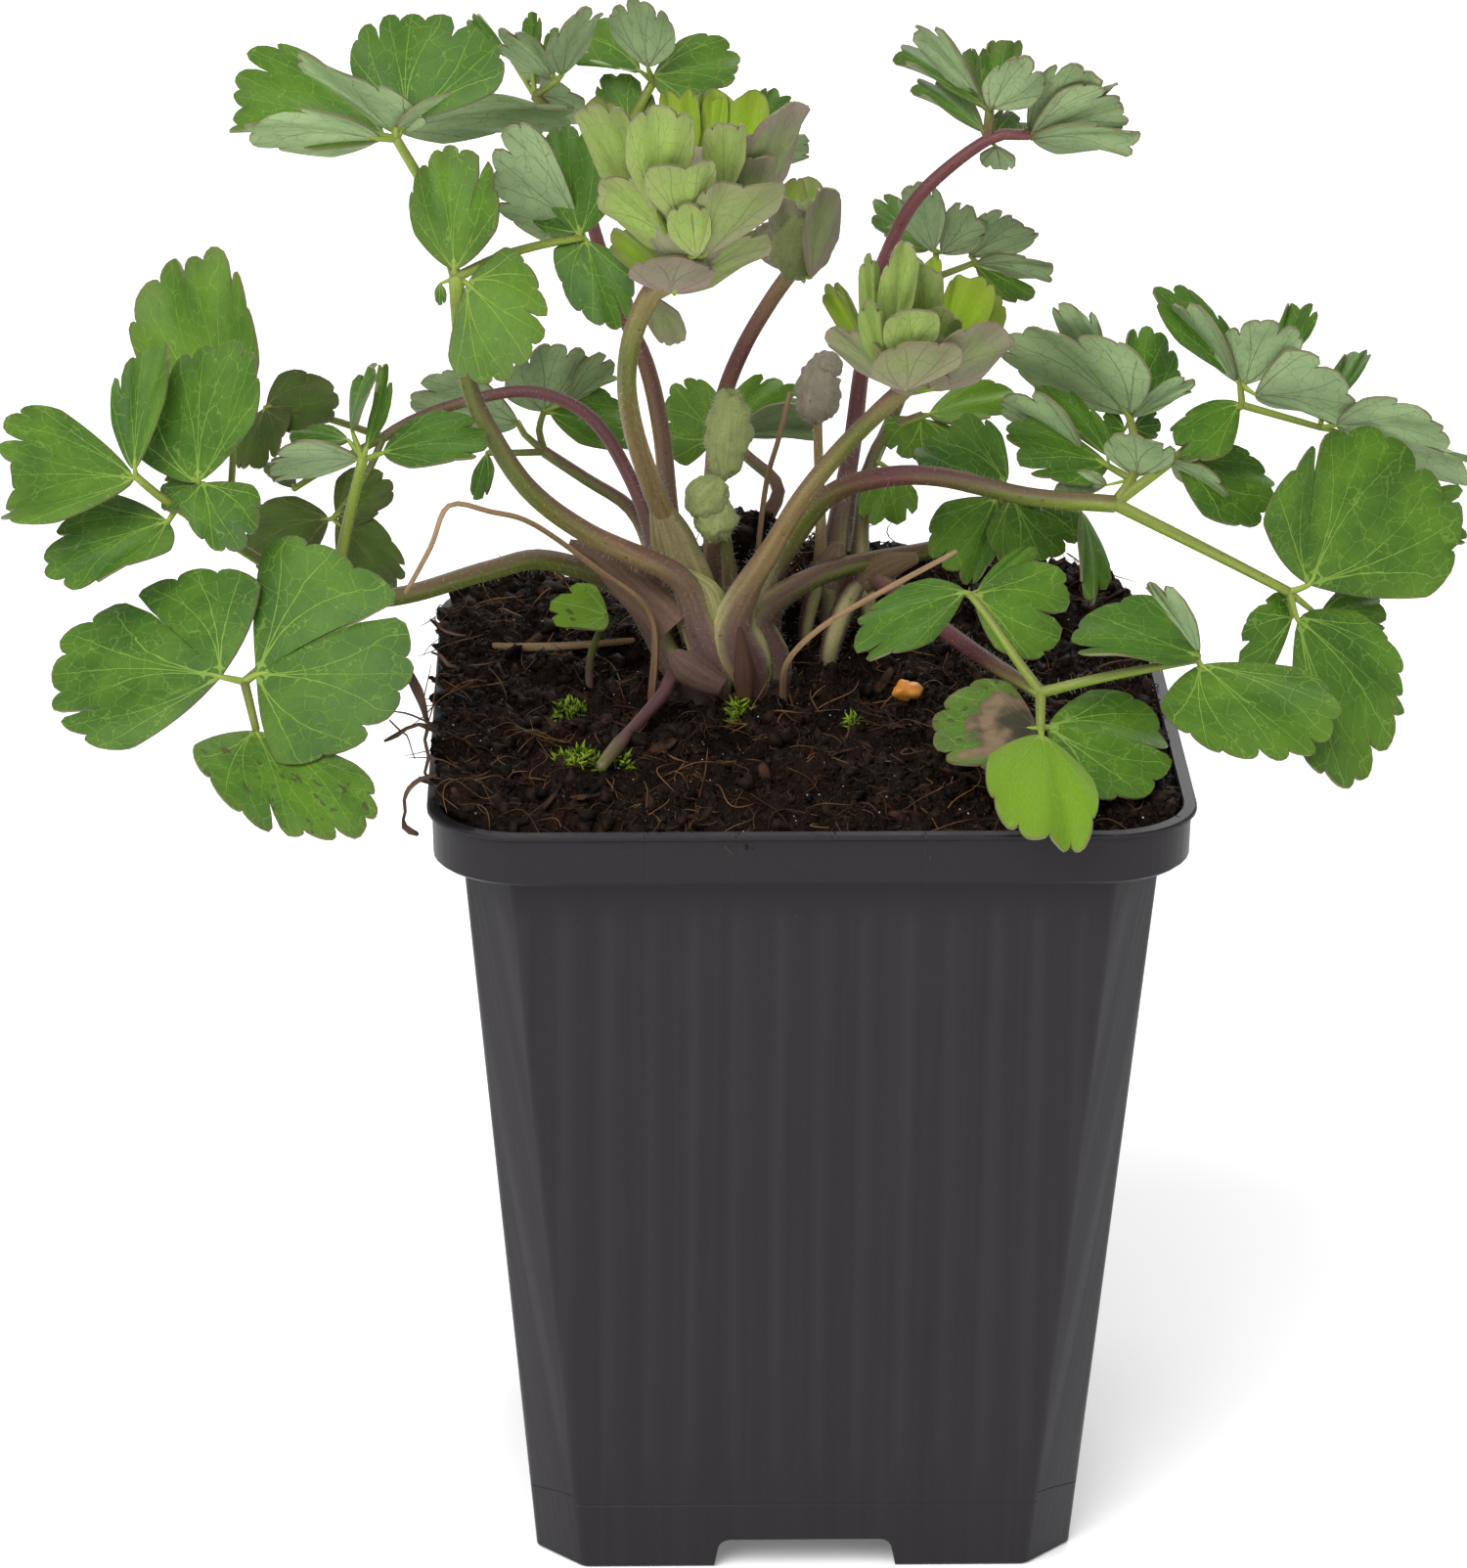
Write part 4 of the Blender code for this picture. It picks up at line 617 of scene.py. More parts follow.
# %% The peat's finish
def humus_finish(name):
    humus = Finish(name, Specular_IOR_Level=0.06)
    spot = humus.place()
    clod = humus.noise(spot, 0.22, 4.0)
    crumb = humus.cells(spot, 1.5, "F1")
    fibre = humus.noise(humus.stretch(spot, (0.35, 2.4, 1.0)), 1.1, 3.0).rise(0.6, 0.68)
    cross_fibre = humus.noise(humus.stretch(spot, (2.6, 0.4, 1.0)), 0.9, 3.0).rise(0.61, 0.69)
    tint = humus.mix(clod.rise(0.3, 0.7), (0.003, 0.0018, 0.0012), (0.013, 0.007, 0.0045))
    tint = humus.mix(humus.noise(spot, 3.5, 2.0).rise(0.55, 0.7) * 0.5, tint, (0.035, 0.017, 0.009))
    tint = humus.mix((fibre + cross_fibre) * 0.3, tint, (0.07, 0.034, 0.018))
    height = crumb * 0.8 + humus.noise(spot, 4.0, 4.0) * 0.8 + fibre * 0.3
    damp = humus.noise(spot, 0.7, 3.0).rise(0.42, 0.7)
    return humus.wear(tint, 0.38 + damp * 0.5, height, depth=0.5, strength=0.9)


PEAT_TOP = humus_finish("peat")
peat.data.materials.append(PEAT_TOP)
peat.data.materials.append(humus_finish("packed_peat"))
loose = len(peat.data.polygons) - 1 - len(levels) * len(border)
below = [int(i >= loose) for i in range(len(peat.data.polygons))]
peat.data.polygons.foreach_set("material_index", below)
settle(peat, "soil", "soil")

# %% [markdown]
# Leaf blades need the most care. A columbine leaflet is a fan: ribs run from its base to every round tooth,
# fine veins net the spaces, the upper face is satin green, the lower one pale and matt, and the margin is
# drawn with a thin purple line. The net and the ribs can't come from an image, so every blade carries maps:
# `flat` is the blade laid flat in mm, `vein` counts the ribs, `rim` is the distance to the margin, and `look`
# holds how lime, how purple and how old the leaflet is.

# %% The finish of a leaf's faces
SIDE_RIB_GAP = 3.8
SPOT_TINT, WILT_TINTS = (0.05, 0.035, 0.02), ((0.035, 0.025, 0.02), (0.2, 0.125, 0.085))


def leaf_face(name, dark, light, lime, rib_tint, purple, rib_strength, sunk, roughness):
    """The face of a blade; sunk is how deep its ribs lie, and below 0 they stand proud."""
    finish = Finish(name, Specular_IOR_Level=0.18)
    flat = finish.map("flat")
    wander = finish.noise(flat, 0.3, 2.0)
    count, spacing, _ = finish.map("vein").parts()
    to_margin, share, from_base = finish.attribute("rim").parts()
    lime_share, purple_share, age = finish.attribute("look").parts()
    off = (count + (wander - 0.5) * 0.3 * share).nearest() * spacing
    width = 0.14 - share * 0.07
    rib = (off / width).rise(1.0, 0.3)
    climb = (from_base - off * 1.2 + (wander - 0.5) * 3.2) / SIDE_RIB_GAP
    side_rib = (climb.nearest() * SIDE_RIB_GAP).rise(0.13, 0.03)
    side_rib = side_rib * off.rise(3.0, 0.8) * share.rise(0.1, 0.35)
    swerve = finish.noise(flat, 0.8, 2.0)
    bent = finish.node("ShaderNodeVectorMath", {"operation": "ADD"}, {0: flat, 1: swerve})
    net = finish.cells(bent, 0.4).rise(0.028, 0.01)
    fine_net = finish.cells(bent, 1.1).rise(0.09, 0.02)
    patch = finish.noise(flat, 0.11, 3.0)
    tint = finish.mix(patch.rise(0.3, 0.7), dark, light)
    tint = finish.mix((lime_share + (patch - 0.5) * 0.4).rise(0.0, 1.0), tint, lime)
    tint = finish.mix(finish.noise(flat, 1.8, 3.0).rise(0.4, 0.75) * 0.18, tint, dark)
    tint = finish.mix(net * 0.42 * rib_strength + fine_net * 0.06 * rib_strength, tint, rib_tint)
    tint = finish.mix((rib * 0.8 + side_rib * 0.35).rise(0.0, 1.0) * rib_strength, tint, rib_tint)
    flush = to_margin.rise(4.0, 0.0) * purple_share * (0.1 + patch * 0.5)
    line = to_margin.rise(0.3, 0.06) * (0.25 + purple_share * 0.75)
    tint = finish.mix(flush, tint, purple)
    tint = finish.mix(line * 0.65, tint, purple)
    spots = finish.noise(flat, 0.5, 2.0).rise(0.62, 0.66) * age.rise(1.0, 1.05)
    tint = finish.mix(spots * 0.75, tint, SPOT_TINT)
    wilt = (patch + (1 - share) * 0.35).rise(0.56, 0.66) * age.rise(1.2, 1.4)
    tint = finish.mix(wilt * 0.9, tint, finish.mix(patch.rise(0.45, 0.6), *WILT_TINTS))
    relief = 0.5 - (rib * 0.5 + side_rib * 0.3 + net * 0.25 + fine_net * 0.05) * sunk
    relief = relief + finish.noise(flat, 1.0, 3.0) * 0.12
    return finish.wear(tint, roughness + patch * 0.14 - rib * 0.05, relief, depth=0.24, strength=0.6)


PURPLE = (0.11, 0.045, 0.05)
UPPER = leaf_face(
    "leaf_upper", (0.028, 0.085, 0.008), (0.062, 0.148, 0.012), (0.135, 0.255, 0.009), (0.24, 0.38, 0.06),
    PURPLE, 0.62, 1.0, 0.40,
)
UNDER = leaf_face(
    "leaf_under", (0.24, 0.34, 0.165), (0.335, 0.455, 0.225), (0.32, 0.45, 0.14), (0.1, 0.085, 0.05), PURPLE,
    0.62, -0.8, 0.58,
)
BRONZE = leaf_face(
    "leaf_bronze", (0.028, 0.05, 0.008), (0.055, 0.105, 0.01), (0.1, 0.19, 0.012), (0.17, 0.17, 0.05), PURPLE,
    0.55, 1.0, 0.42,
)
YOUNG = leaf_face(
    "leaf_young", (0.095, 0.16, 0.01), (0.155, 0.25, 0.011), (0.195, 0.31, 0.008), (0.25, 0.33, 0.05), PURPLE,
    0.4, 0.8, 0.5,
)
YOUNG_UNDER = leaf_face(
    "leaf_young_under", (0.205, 0.195, 0.13), (0.22, 0.27, 0.105), (0.265, 0.38, 0.08), (0.14, 0.11, 0.07),
    (0.25, 0.16, 0.165), 0.5, -0.9, 0.6,
)
print("leaf faces:", [finish.name for finish in (UPPER, UNDER, BRONZE, YOUNG, YOUNG_UNDER)])

# %% The finish of margins, stems, buds and bark
margin_finish = Finish("leaf_margin", Roughness=0.5)
mottle = margin_finish.noise(margin_finish.place(), 0.4)
rim_tint = margin_finish.mix(mottle, (0.12, 0.07, 0.045), (0.16, 0.2, 0.07))
MARGIN = margin_finish.wear(rim_tint)


def stalk_finish(name, streak_share, rough, relief):
    """Streaks and specks over the colour that each point of the mesh carries."""
    finish = Finish(name, Specular_IOR_Level=0.3)
    along = finish.map("flat")
    own = finish.attribute("tint", "Color")
    streaks = finish.noise(finish.stretch(along, (1.0, 0.06, 1.0)), 1.5, 3.0)
    speckle = finish.noise(along, 2.2, 4.0)
    darker, paler = finish.scaled(own, 0.55), finish.scaled(own, 1.35)
    tint = finish.mix(streaks.rise(0.35, 0.65) * streak_share, own, darker)
    tint = finish.mix(speckle.rise(0.5, 0.7) * 0.4, tint, paler)
    tint = finish.mix(finish.noise(along, 1.1, 2.0).rise(0.66, 0.7) * 0.6, tint, (0.03, 0.015, 0.012))
    roughness = rough + speckle * 0.15
    height = streaks * 0.6 + speckle * 0.4
    return finish.wear(tint, roughness, height, depth=relief, strength=0.5)


STEM = stalk_finish("stem", 0.6, 0.42, 0.12)
BUD = stalk_finish("bud", 0.4, 0.6, 0.2)
DRY = stalk_finish("dry_stalk", 0.8, 0.7, 0.15)
print("other finishes:", [finish.name for finish in (MARGIN, STEM, BUD, DRY)])

# %% [markdown]
# A leaf is drawn by a table. For each leaflet a row gives the pixels of its base, of its tip and of its two
# widest points, and the way that its upper face looks, as an azimuth and an elevation. Where they aren't the
# usual ones, the teeth of its lobes follow, then how lime, purple and old it is, how deep it is cut, and how
# far it is folded. `Blade` turns that into a curved fan in space, the same one that the solid has, and the
# margin is then cut with far more points.

# %% A leaflet's shape
FAN_HALF_ANGLE = radians(66)
SIDE_BULGE = 0.3
SIDE_SHORTER = 0.28
SCALLOP = 0.075
CLEFT = 0.12
ARCH, WAVE, CURL, PLEAT = 0.05, 0.034, 0.022, 0.02


def leaflet(base, tip, side, other, faces, lobes="121", look=(), cuts=(0.21, 0.21), fold=0.0):
    """A row of the table in full: what shapes the blade, then its own lime, purple and age or None."""
    teeth = [int(digit) for digit in lobes]
    return (base, tip, side, other, faces, teeth, cuts, fold), (*look, None, None, None)[:3]


def reach(turn):
    """How far the margin lies from the base: less at the fan's sides."""
    return 1 - SIDE_SHORTER * abs(turn) ** 2.6


def flatten(turn, radius):
    """A place in the flat fan, whose sides are rounded out towards the base."""
    angle = turn * FAN_HALF_ANGLE * (1 + SIDE_BULGE * max(0.0, 1 - radius))
    return radius * sin(angle), radius * cos(angle)


class Blade:
    """The curved surface of a leaflet, from a turn across the fan and a radius to a place in mm."""

    def __init__(self, base, tip, side, other, faces, lobes, cuts, fold, chance, scallop):
        azimuth, elevation = (radians(a) for a in faces)
        self.normal = Vector((sin(azimuth) * cos(elevation), -cos(azimuth) * cos(elevation), sin(elevation)))
        self.base = seen(*base)
        tip, side, other = (seen_on_plane(*pixel, self.base, self.normal) for pixel in (tip, side, other))
        if (other - side).cross(tip - self.base).dot(self.normal) < 0:
            side, other = other, side
        self.along = tip - self.base
        self.length = self.along.length
        self.lobes, self.cuts, self.scallop = lobes, cuts, scallop
        teeth = sum(lobes)
        inner = [k + chance.uniform(-0.12, 0.12) for k in range(1, teeth)]
        self.bounds = [2 * k / teeth - 1 for k in [0, *inner, teeth]]
        self.tops = [1 + chance.uniform(-0.03, 0.02) for _ in range(teeth)]
        flat = [flatten(turn, radius) for turn, radius, *_ in self.margin(4)]
        left, right = min(flat), max(flat)
        lift = self.normal * fold
        half_left = (side + lift - self.base - left[1] * self.along) / -left[0]
        half_right = (other + lift - self.base - right[1] * self.along) / right[0]
        self.across = (half_right - half_left) / 2
        self.crease = (half_right + half_left) / 2
        self.phase = chance.random() * 6.3

    def margin(self, steps):
        """Each column's turn, its radius, its lobe, its place in the lobe and the lobe's teeth."""
        teeth = sum(self.lobes)
        valleys = [1 - self.scallop] * (teeth + 1)
        at = 0
        for count, depth in zip(self.lobes, self.cuts):
            at += count
            valleys[at] = 1 - depth * self.scallop / SCALLOP
        columns = []
        first = 0
        for lobe, count in enumerate(self.lobes):
            for tooth in range(first, first + count):
                for i in range(steps + (tooth == teeth - 1)):
                    step = (1 - cos(pi * i / steps)) / 2
                    turn = self.bounds[tooth] + step * (self.bounds[tooth + 1] - self.bounds[tooth])
                    valley = valleys[tooth] if step < 0.5 else valleys[tooth + 1]
                    narrow = 2.1 + 8 * max(0.0, 1 - valley - CLEFT)
                    swell = max(0.0, 1 - abs(2 * step - 1) ** narrow) ** 0.55
                    radius = reach(turn) * (valley + (self.tops[tooth] - valley) * swell)
                    columns.append((turn, radius, lobe, (tooth + step - first) * 2 / count - 1, count))
            first += count
        return columns

    def point(self, turn, radius):
        u, v = flatten(turn, radius)
        ridge = (u * u + 0.01) ** 0.5 - 0.1
        arch = ARCH * self.length * 4 * v * (1 - v)
        wave = WAVE * self.length * radius**2 * sin(2.2 * pi * turn + 1.0)
        curl = CURL * self.length * radius**4 * sin(5.3 * turn + self.phase)
        pleat = PLEAT * self.length * radius**2 * cos(3 * pi * turn)
        out = arch + wave + curl + pleat
        return self.base + v * self.along + u * self.across + ridge * self.crease + out * self.normal


print("a leaflet's fan opens", round(FAN_HALF_ANGLE * 360 / pi), "degrees")


# %% [markdown]
# `Growth` collects all the faces of one leaf, bud or stalk. Its sheets get their real thickness of a third of
# a millimetre here, because a blade is seen from its edge too. Its stems are tubes with soft ridges, and
# where a stem leaves the crown it swells into the sheath that clasps its neighbours.

# %% Routes and colours along a stem
def smooth_route(points, step):
    """Points on the smooth curve through the route's own points."""
    ends = [2 * points[0] - points[1]] + list(points) + [2 * points[-1] - points[-2]]
    route = []
    for a, b, c, d in zip(ends, ends[1:], ends[2:], ends[3:]):
        count = max(1, round((c - b).length / step))
        for i in range(count):
            t = i / count
            curve = 2 * b + (c - a) * t + (2 * a - 5 * b + 4 * c - d) * t * t
            route.append((curve + (3 * b - a - 3 * c + d) * t**3) * 0.5)
    return route + [points[-1]]


def along_list(values, share):
    """The value at a share of the way through a list of numbers or colours."""
    place = share * (len(values) - 1)
    k = min(int(place), len(values) - 2)
    first, second = values[k], values[k + 1]
    if isinstance(first, tuple):
        return tuple(a + (b - a) * (place - k) for a, b in zip(first, second))
    return first + (second - first) * (place - k)


# %% Collect a leaf's faces
BLADE_THICK = 0.32
SHEATH_AT, SHEATH_BELOW, SHEATH_ABOVE = 9.0, 4.5, 7.5
CREAM, FLUSH = (0.42, 0.4, 0.17), (0.11, 0.04, 0.045)
RINGS = (0.12, 0.26, 0.4, 0.54, 0.67, 0.79, 0.89, 0.96, 1.0)
FINE_FROM, MEDIUM_FROM = 15, 8


class Growth:
    """The mesh of one leaf, shoot or stalk, with the maps that its finishes read."""

    def __init__(self):
        self.points, self.faces, self.slots = [], [], []
        self.flat, self.vein, self.rim, self.look, self.tint = [], [], [], [], []
        self.finishes = []

    def slot(self, finish):
        if finish not in self.finishes:
            self.finishes.append(finish)
        return self.finishes.index(finish)

    def add_point(self, point, tint, rim=(0, 0, 0), look=(0, 0, 0)):
        self.points.append(Vector(point))
        self.rim.append(rim)
        self.look.append(look)
        self.tint.append((*tint, 1.0))
        return len(self.points) - 1

    def add_face(self, corners, finish, flat, vein=None):
        self.faces.append(corners)
        self.slots.append(self.slot(finish))
        self.flat += flat
        self.vein += vein or [(0.5, 1.0)] * len(corners)

    def sheet(self, points, faces, outline, upper, under, thick, rim, look, flat, tint=(0, 0, 0)):
        """A thin shell from an open sheet: faces are (corners, vein map), outline is its border in order."""
        normals = [Vector() for _ in points]
        for corners, _ in faces:
            a, b, c = (points[i] for i in corners[:3])
            way = (b - a).cross(c - a)
            for i in corners:
                normals[i] += way
        shift = [n.normalized() * (thick / 2) for n in normals]
        above = [self.add_point(p + s, tint, r, look) for p, s, r in zip(points, shift, rim)]
        below = [self.add_point(p - s, tint, r, look) for p, s, r in zip(points, shift, rim)]
        for corners, vein in faces:
            maps = [flat[i] for i in corners]
            self.add_face([above[i] for i in corners], upper, maps, vein)
            self.add_face([below[i] for i in reversed(corners)], under, maps[::-1], vein and vein[::-1])
        for a, b in zip(outline, outline[1:] + outline[:1]):
            maps = [flat[b], flat[a], flat[a], flat[b]]
            self.add_face([above[b], above[a], below[a], below[b]], MARGIN, maps)

    def blade(self, form, lime, purple, age, upper, under, chance, scallop):
        """A leaflet, with the points of its margin denser on a larger one."""
        blade = Blade(*form, chance, scallop)
        steps = 8 if blade.length > FINE_FROM else 6 if blade.length > MEDIUM_FROM else 4
        columns = blade.margin(steps)
        shift = chance.random() * 90
        own_age = chance.random()
        look = (lime, purple, own_age if age is None else age)
        size = blade.length
        points, flat, rim = [blade.base], [(shift, shift)], [(0, 0, 0)]
        rough = [1 + chance.uniform(-0.003, 0.003) for _ in columns]
        for ring in RINGS:
            for (turn, radius, *_), bump in zip(columns, rough):
                out = ring * radius * (1 + (bump - 1) * ring**6)
                points.append(blade.point(turn, out))
                u, v = flatten(turn, out)
                flat.append((u * size + shift, v * size + shift))
                side = (1 - abs(turn)) * FAN_HALF_ANGLE * out * size
                rim.append((min((1 - ring) * radius * size, side), ring, out * size))
        teeth = sum(blade.lobes)

        def vein(lobe_place, count, ring, radius):
            """The rib count and the ribs' spacing, which beyond the outer rib is twice the way to it."""
            gather = 0.12 + 0.88 * min(1.0, max(0.0, (ring - 0.08) / 0.8)) ** 1.3
            pitch = 2 / teeth * FAN_HALF_ANGLE * ring * radius * size
            rib = lobe_place * count / 2 / gather
            beyond = abs(rib) - count / 2
            if beyond <= 0:
                return rib + count / 2 - 0.5, pitch * gather + 0.01
            return (count - 0.5 if rib > 0 else -0.5), 2 * (beyond + 0.5) * pitch * gather + 0.01

        faces, width = [], len(columns)
        for k in range(len(RINGS)):
            inner = RINGS[k - 1] if k else 0.0
            for c in range(width - 1):
                _, radius, lobe, start, count = columns[c]
                end = columns[c + 1][3] if columns[c + 1][2] == lobe else 1.0
                out_a, out_b = 1 + k * width + c, 2 + k * width + c
                maps = [vein(start, count, RINGS[k], radius), vein(end, count, RINGS[k], radius)]
                if k:
                    maps = [vein(start, count, inner, radius)] + maps + [vein(end, count, inner, radius)]
                    faces.append(([out_a - width, out_a, out_b, out_b - width], maps))
                else:
                    faces.append(([0, out_a, out_b], [vein(0, count, 0.0, radius)] + maps))
        last = 1 + (len(RINGS) - 1) * width
        outline = [0] + [1 + k * width for k in range(len(RINGS) - 1)] + list(range(last, last + width))
        outline += [k * width for k in range(len(RINGS) - 1, 0, -1)]
        way = (points[2] - points[0]).cross(points[width] - points[0])
        if way.dot(blade.normal) <= 0:
            faces, outline = [(corners[::-1], maps[::-1]) for corners, maps in faces], outline[::-1]
        self.sheet(points, faces, outline, upper, under, BLADE_THICK, rim, look, flat)
        return blade

    def tube(self, route, radii, tints, finish, sides, sheath=0.0, ridges=0.03, outward=None, flush=0.0):
        """A stem along a route, with its radius and colour listed from foot to tip.

        Where it has a sheath it widens across the outward way, and the sheath's two margins are cream.
        """
        away = (route[1] - route[0]).normalized()
        level = away.cross(Vector((0.3, 1.0, 0.2))).normalized()
        run, rings = 0.0, []
        for i, point in enumerate(route):
            ahead = (route[min(i + 1, len(route) - 1)] - route[max(i - 1, 0)]).normalized()
            level = (level - ahead * level.dot(ahead)).normalized()
            upright = ahead.cross(level)
            run += (point - route[i - 1]).length if i else 0.0
            share = i / (len(route) - 1)
            radius = along_list(radii, share)
            spread = SHEATH_BELOW if run < SHEATH_AT else SHEATH_ABOVE
            clasp = sheath * exp(-(((run - SHEATH_AT) / spread) ** 2))
            facing = (outward - ahead * outward.dot(ahead)).normalized() if outward else upright
            lateral = ahead.cross(facing)
            ring = []
            for j in range(sides + 1):
                a = 2 * pi * j / sides
                way = level * cos(a) + upright * sin(a)
                out = radius * (1 + ridges * cos(5 * a))
                way += lateral * way.dot(lateral) * clasp + facing * way.dot(facing) * clasp * 0.35
                ring.append((point + way * out, (out * a, run)))
            tint = along_list(tints, share)
            ids = []
            for p, _ in ring[:-1]:
                away = (p - point).normalized()
                edge = min(1.0, clasp * 1.6) * max(0.0, abs(away.dot(lateral)) - 0.72) / 0.28
                top = flush * min(1.0, max(0.0, away.z - 0.05) / 0.5) * (1 - edge)
                own = tuple(t + (c - t) * edge + (b - t) * top for t, c, b in zip(tint, CREAM, FLUSH))
                ids.append(self.add_point(p, own))
            rings.append((ids + ids[:1], [uv for _, uv in ring], share))
        for (low, low_map, _), (high, high_map, _) in zip(rings, rings[1:]):
            for j in range(sides):
                maps = [low_map[j], low_map[j + 1], high_map[j + 1], high_map[j]]
                self.add_face([low[j], low[j + 1], high[j + 1], high[j]], finish, maps)
        self.add_face(rings[0][0][:-1][::-1], finish, rings[0][1][:-1][::-1])
        end, end_map, _ = rings[-1]
        tip = route[-1] + (route[-1] - route[-2]).normalized() * radii[-1] * 0.7
        tip = self.add_point(tip, tints[-1])
        for j in range(sides):
            self.add_face([end[j], end[j + 1], tip], finish, [end_map[j], end_map[j + 1], end_map[j]])

    def ball(self, centre, half, lean, tint, finish, rough, sides=36, levels=26, furrow=0.0):
        """A closed ball stretched to its half sizes, with furrows down its sides."""
        turn = Matrix.Rotation(radians(lean), 3, "Y")
        rows = []
        for k in range(1, levels):
            polar = pi * k / levels
            row = []
            for j in range(sides):
                a = 2 * pi * j / sides
                out = sin(polar) * (1 - furrow * abs(sin(1.5 * a + 0.6 * cos(polar))) ** 0.5)
                spot = Vector((half[0] * out * cos(a), half[1] * out * sin(a), half[2] * cos(polar)))
                broad, fine = noise.noise(spot * 0.7 + centre), noise.noise(spot * 1.6 + centre)
                spot *= 1 + rough * (broad + 0.6 * fine)
                row.append(self.add_point(centre + turn @ spot, tint))
            rows.append(row)
        ends = [self.add_point(centre + turn @ Vector((0, 0, z)), tint) for z in (half[2], -half[2])]
        size = max(half)
        for j in range(sides):
            i = (j + 1) % sides
            u, v = 6.3 * size * j / sides, 6.3 * size * (j + 1) / sides
            self.add_face([ends[0], rows[0][j], rows[0][i]], finish, [(u, 0), (u, 1), (v, 1)])
            maps = [(u, levels), (v, levels - 1), (u, levels - 1)]
            self.add_face([ends[1], rows[-1][i], rows[-1][j]], finish, maps)
            for k in range(len(rows) - 1):
                maps = [(u, k), (u, k + 1), (v, k + 1), (v, k)]
                self.add_face([rows[k][j], rows[k + 1][j], rows[k + 1][i], rows[k][i]], finish, maps)

    def piece(self, name):
        """The collected faces as one object."""
        made = new_mesh(name, self.points, self.faces)
        mesh = made.data
        for finish in self.finishes:
            mesh.materials.append(finish)
        mesh.polygons.foreach_set("material_index", self.slots)
        for title, values in (("flat", self.flat), ("vein", self.vein)):
            layer = mesh.uv_layers.new(name=title)
            layer.data.foreach_set("uv", np.array(values, np.float32).ravel())
        for title, values in (("rim", self.rim), ("look", self.look)):
            layer = mesh.attributes.new(title, "FLOAT_VECTOR", "POINT")
            layer.data.foreach_set("vector", np.array(values, np.float32).ravel())
        layer = mesh.attributes.new("tint", "FLOAT_COLOR", "POINT")
        layer.data.foreach_set("color", np.array(self.tint, np.float32).ravel())
        mesh.shade_smooth()
        mesh.set_sharp_from_angle(angle=radians(60))
        return made


print("a blade has", len(RINGS), "rings of points")


# %% Grow a leaf from its table
FOOT_DEPTH, FOOT_ABOVE = 3.6, 2.5
STEM_STEP, SHORT_STEP = 1.5, 1.2
SHEATH_SIDES, STEM_SIDES, STALK_SIDES, STEM_RIDGES = 20, 12, 8, 0.04
SLIM, STALKLET_TIP, LONGEST_STALKLET = 0.82, 0.12, 12
BUD_WOOL, LUMP_WOOL, FURROW = 0.2, 0.1, 0.12
TAN, PLUM = (0.25, 0.175, 0.075), (0.15, 0.05, 0.05)
OLIVE, PALE = (0.12, 0.14, 0.025), (0.22, 0.3, 0.04)
SHEATH_TINT, LUMP_TINT = (0.13, 0.075, 0.065), (0.1, 0.16, 0.05)
CROWN_AT, FACED_BEHIND = (-9.0, 2.2), 4.0
JOINT_IN, JOINT_REACH = 0.12, 2.0
HUB_SHARE, STALKLET_SHARE, STALKLET_WAIST = 0.8, 0.5, 0.75
DOWNY = []


def seen_route(points, step):
    """The smooth curve through points that are given as pixels and depths."""
    return smooth_route([seen(*point) for point in points], step)


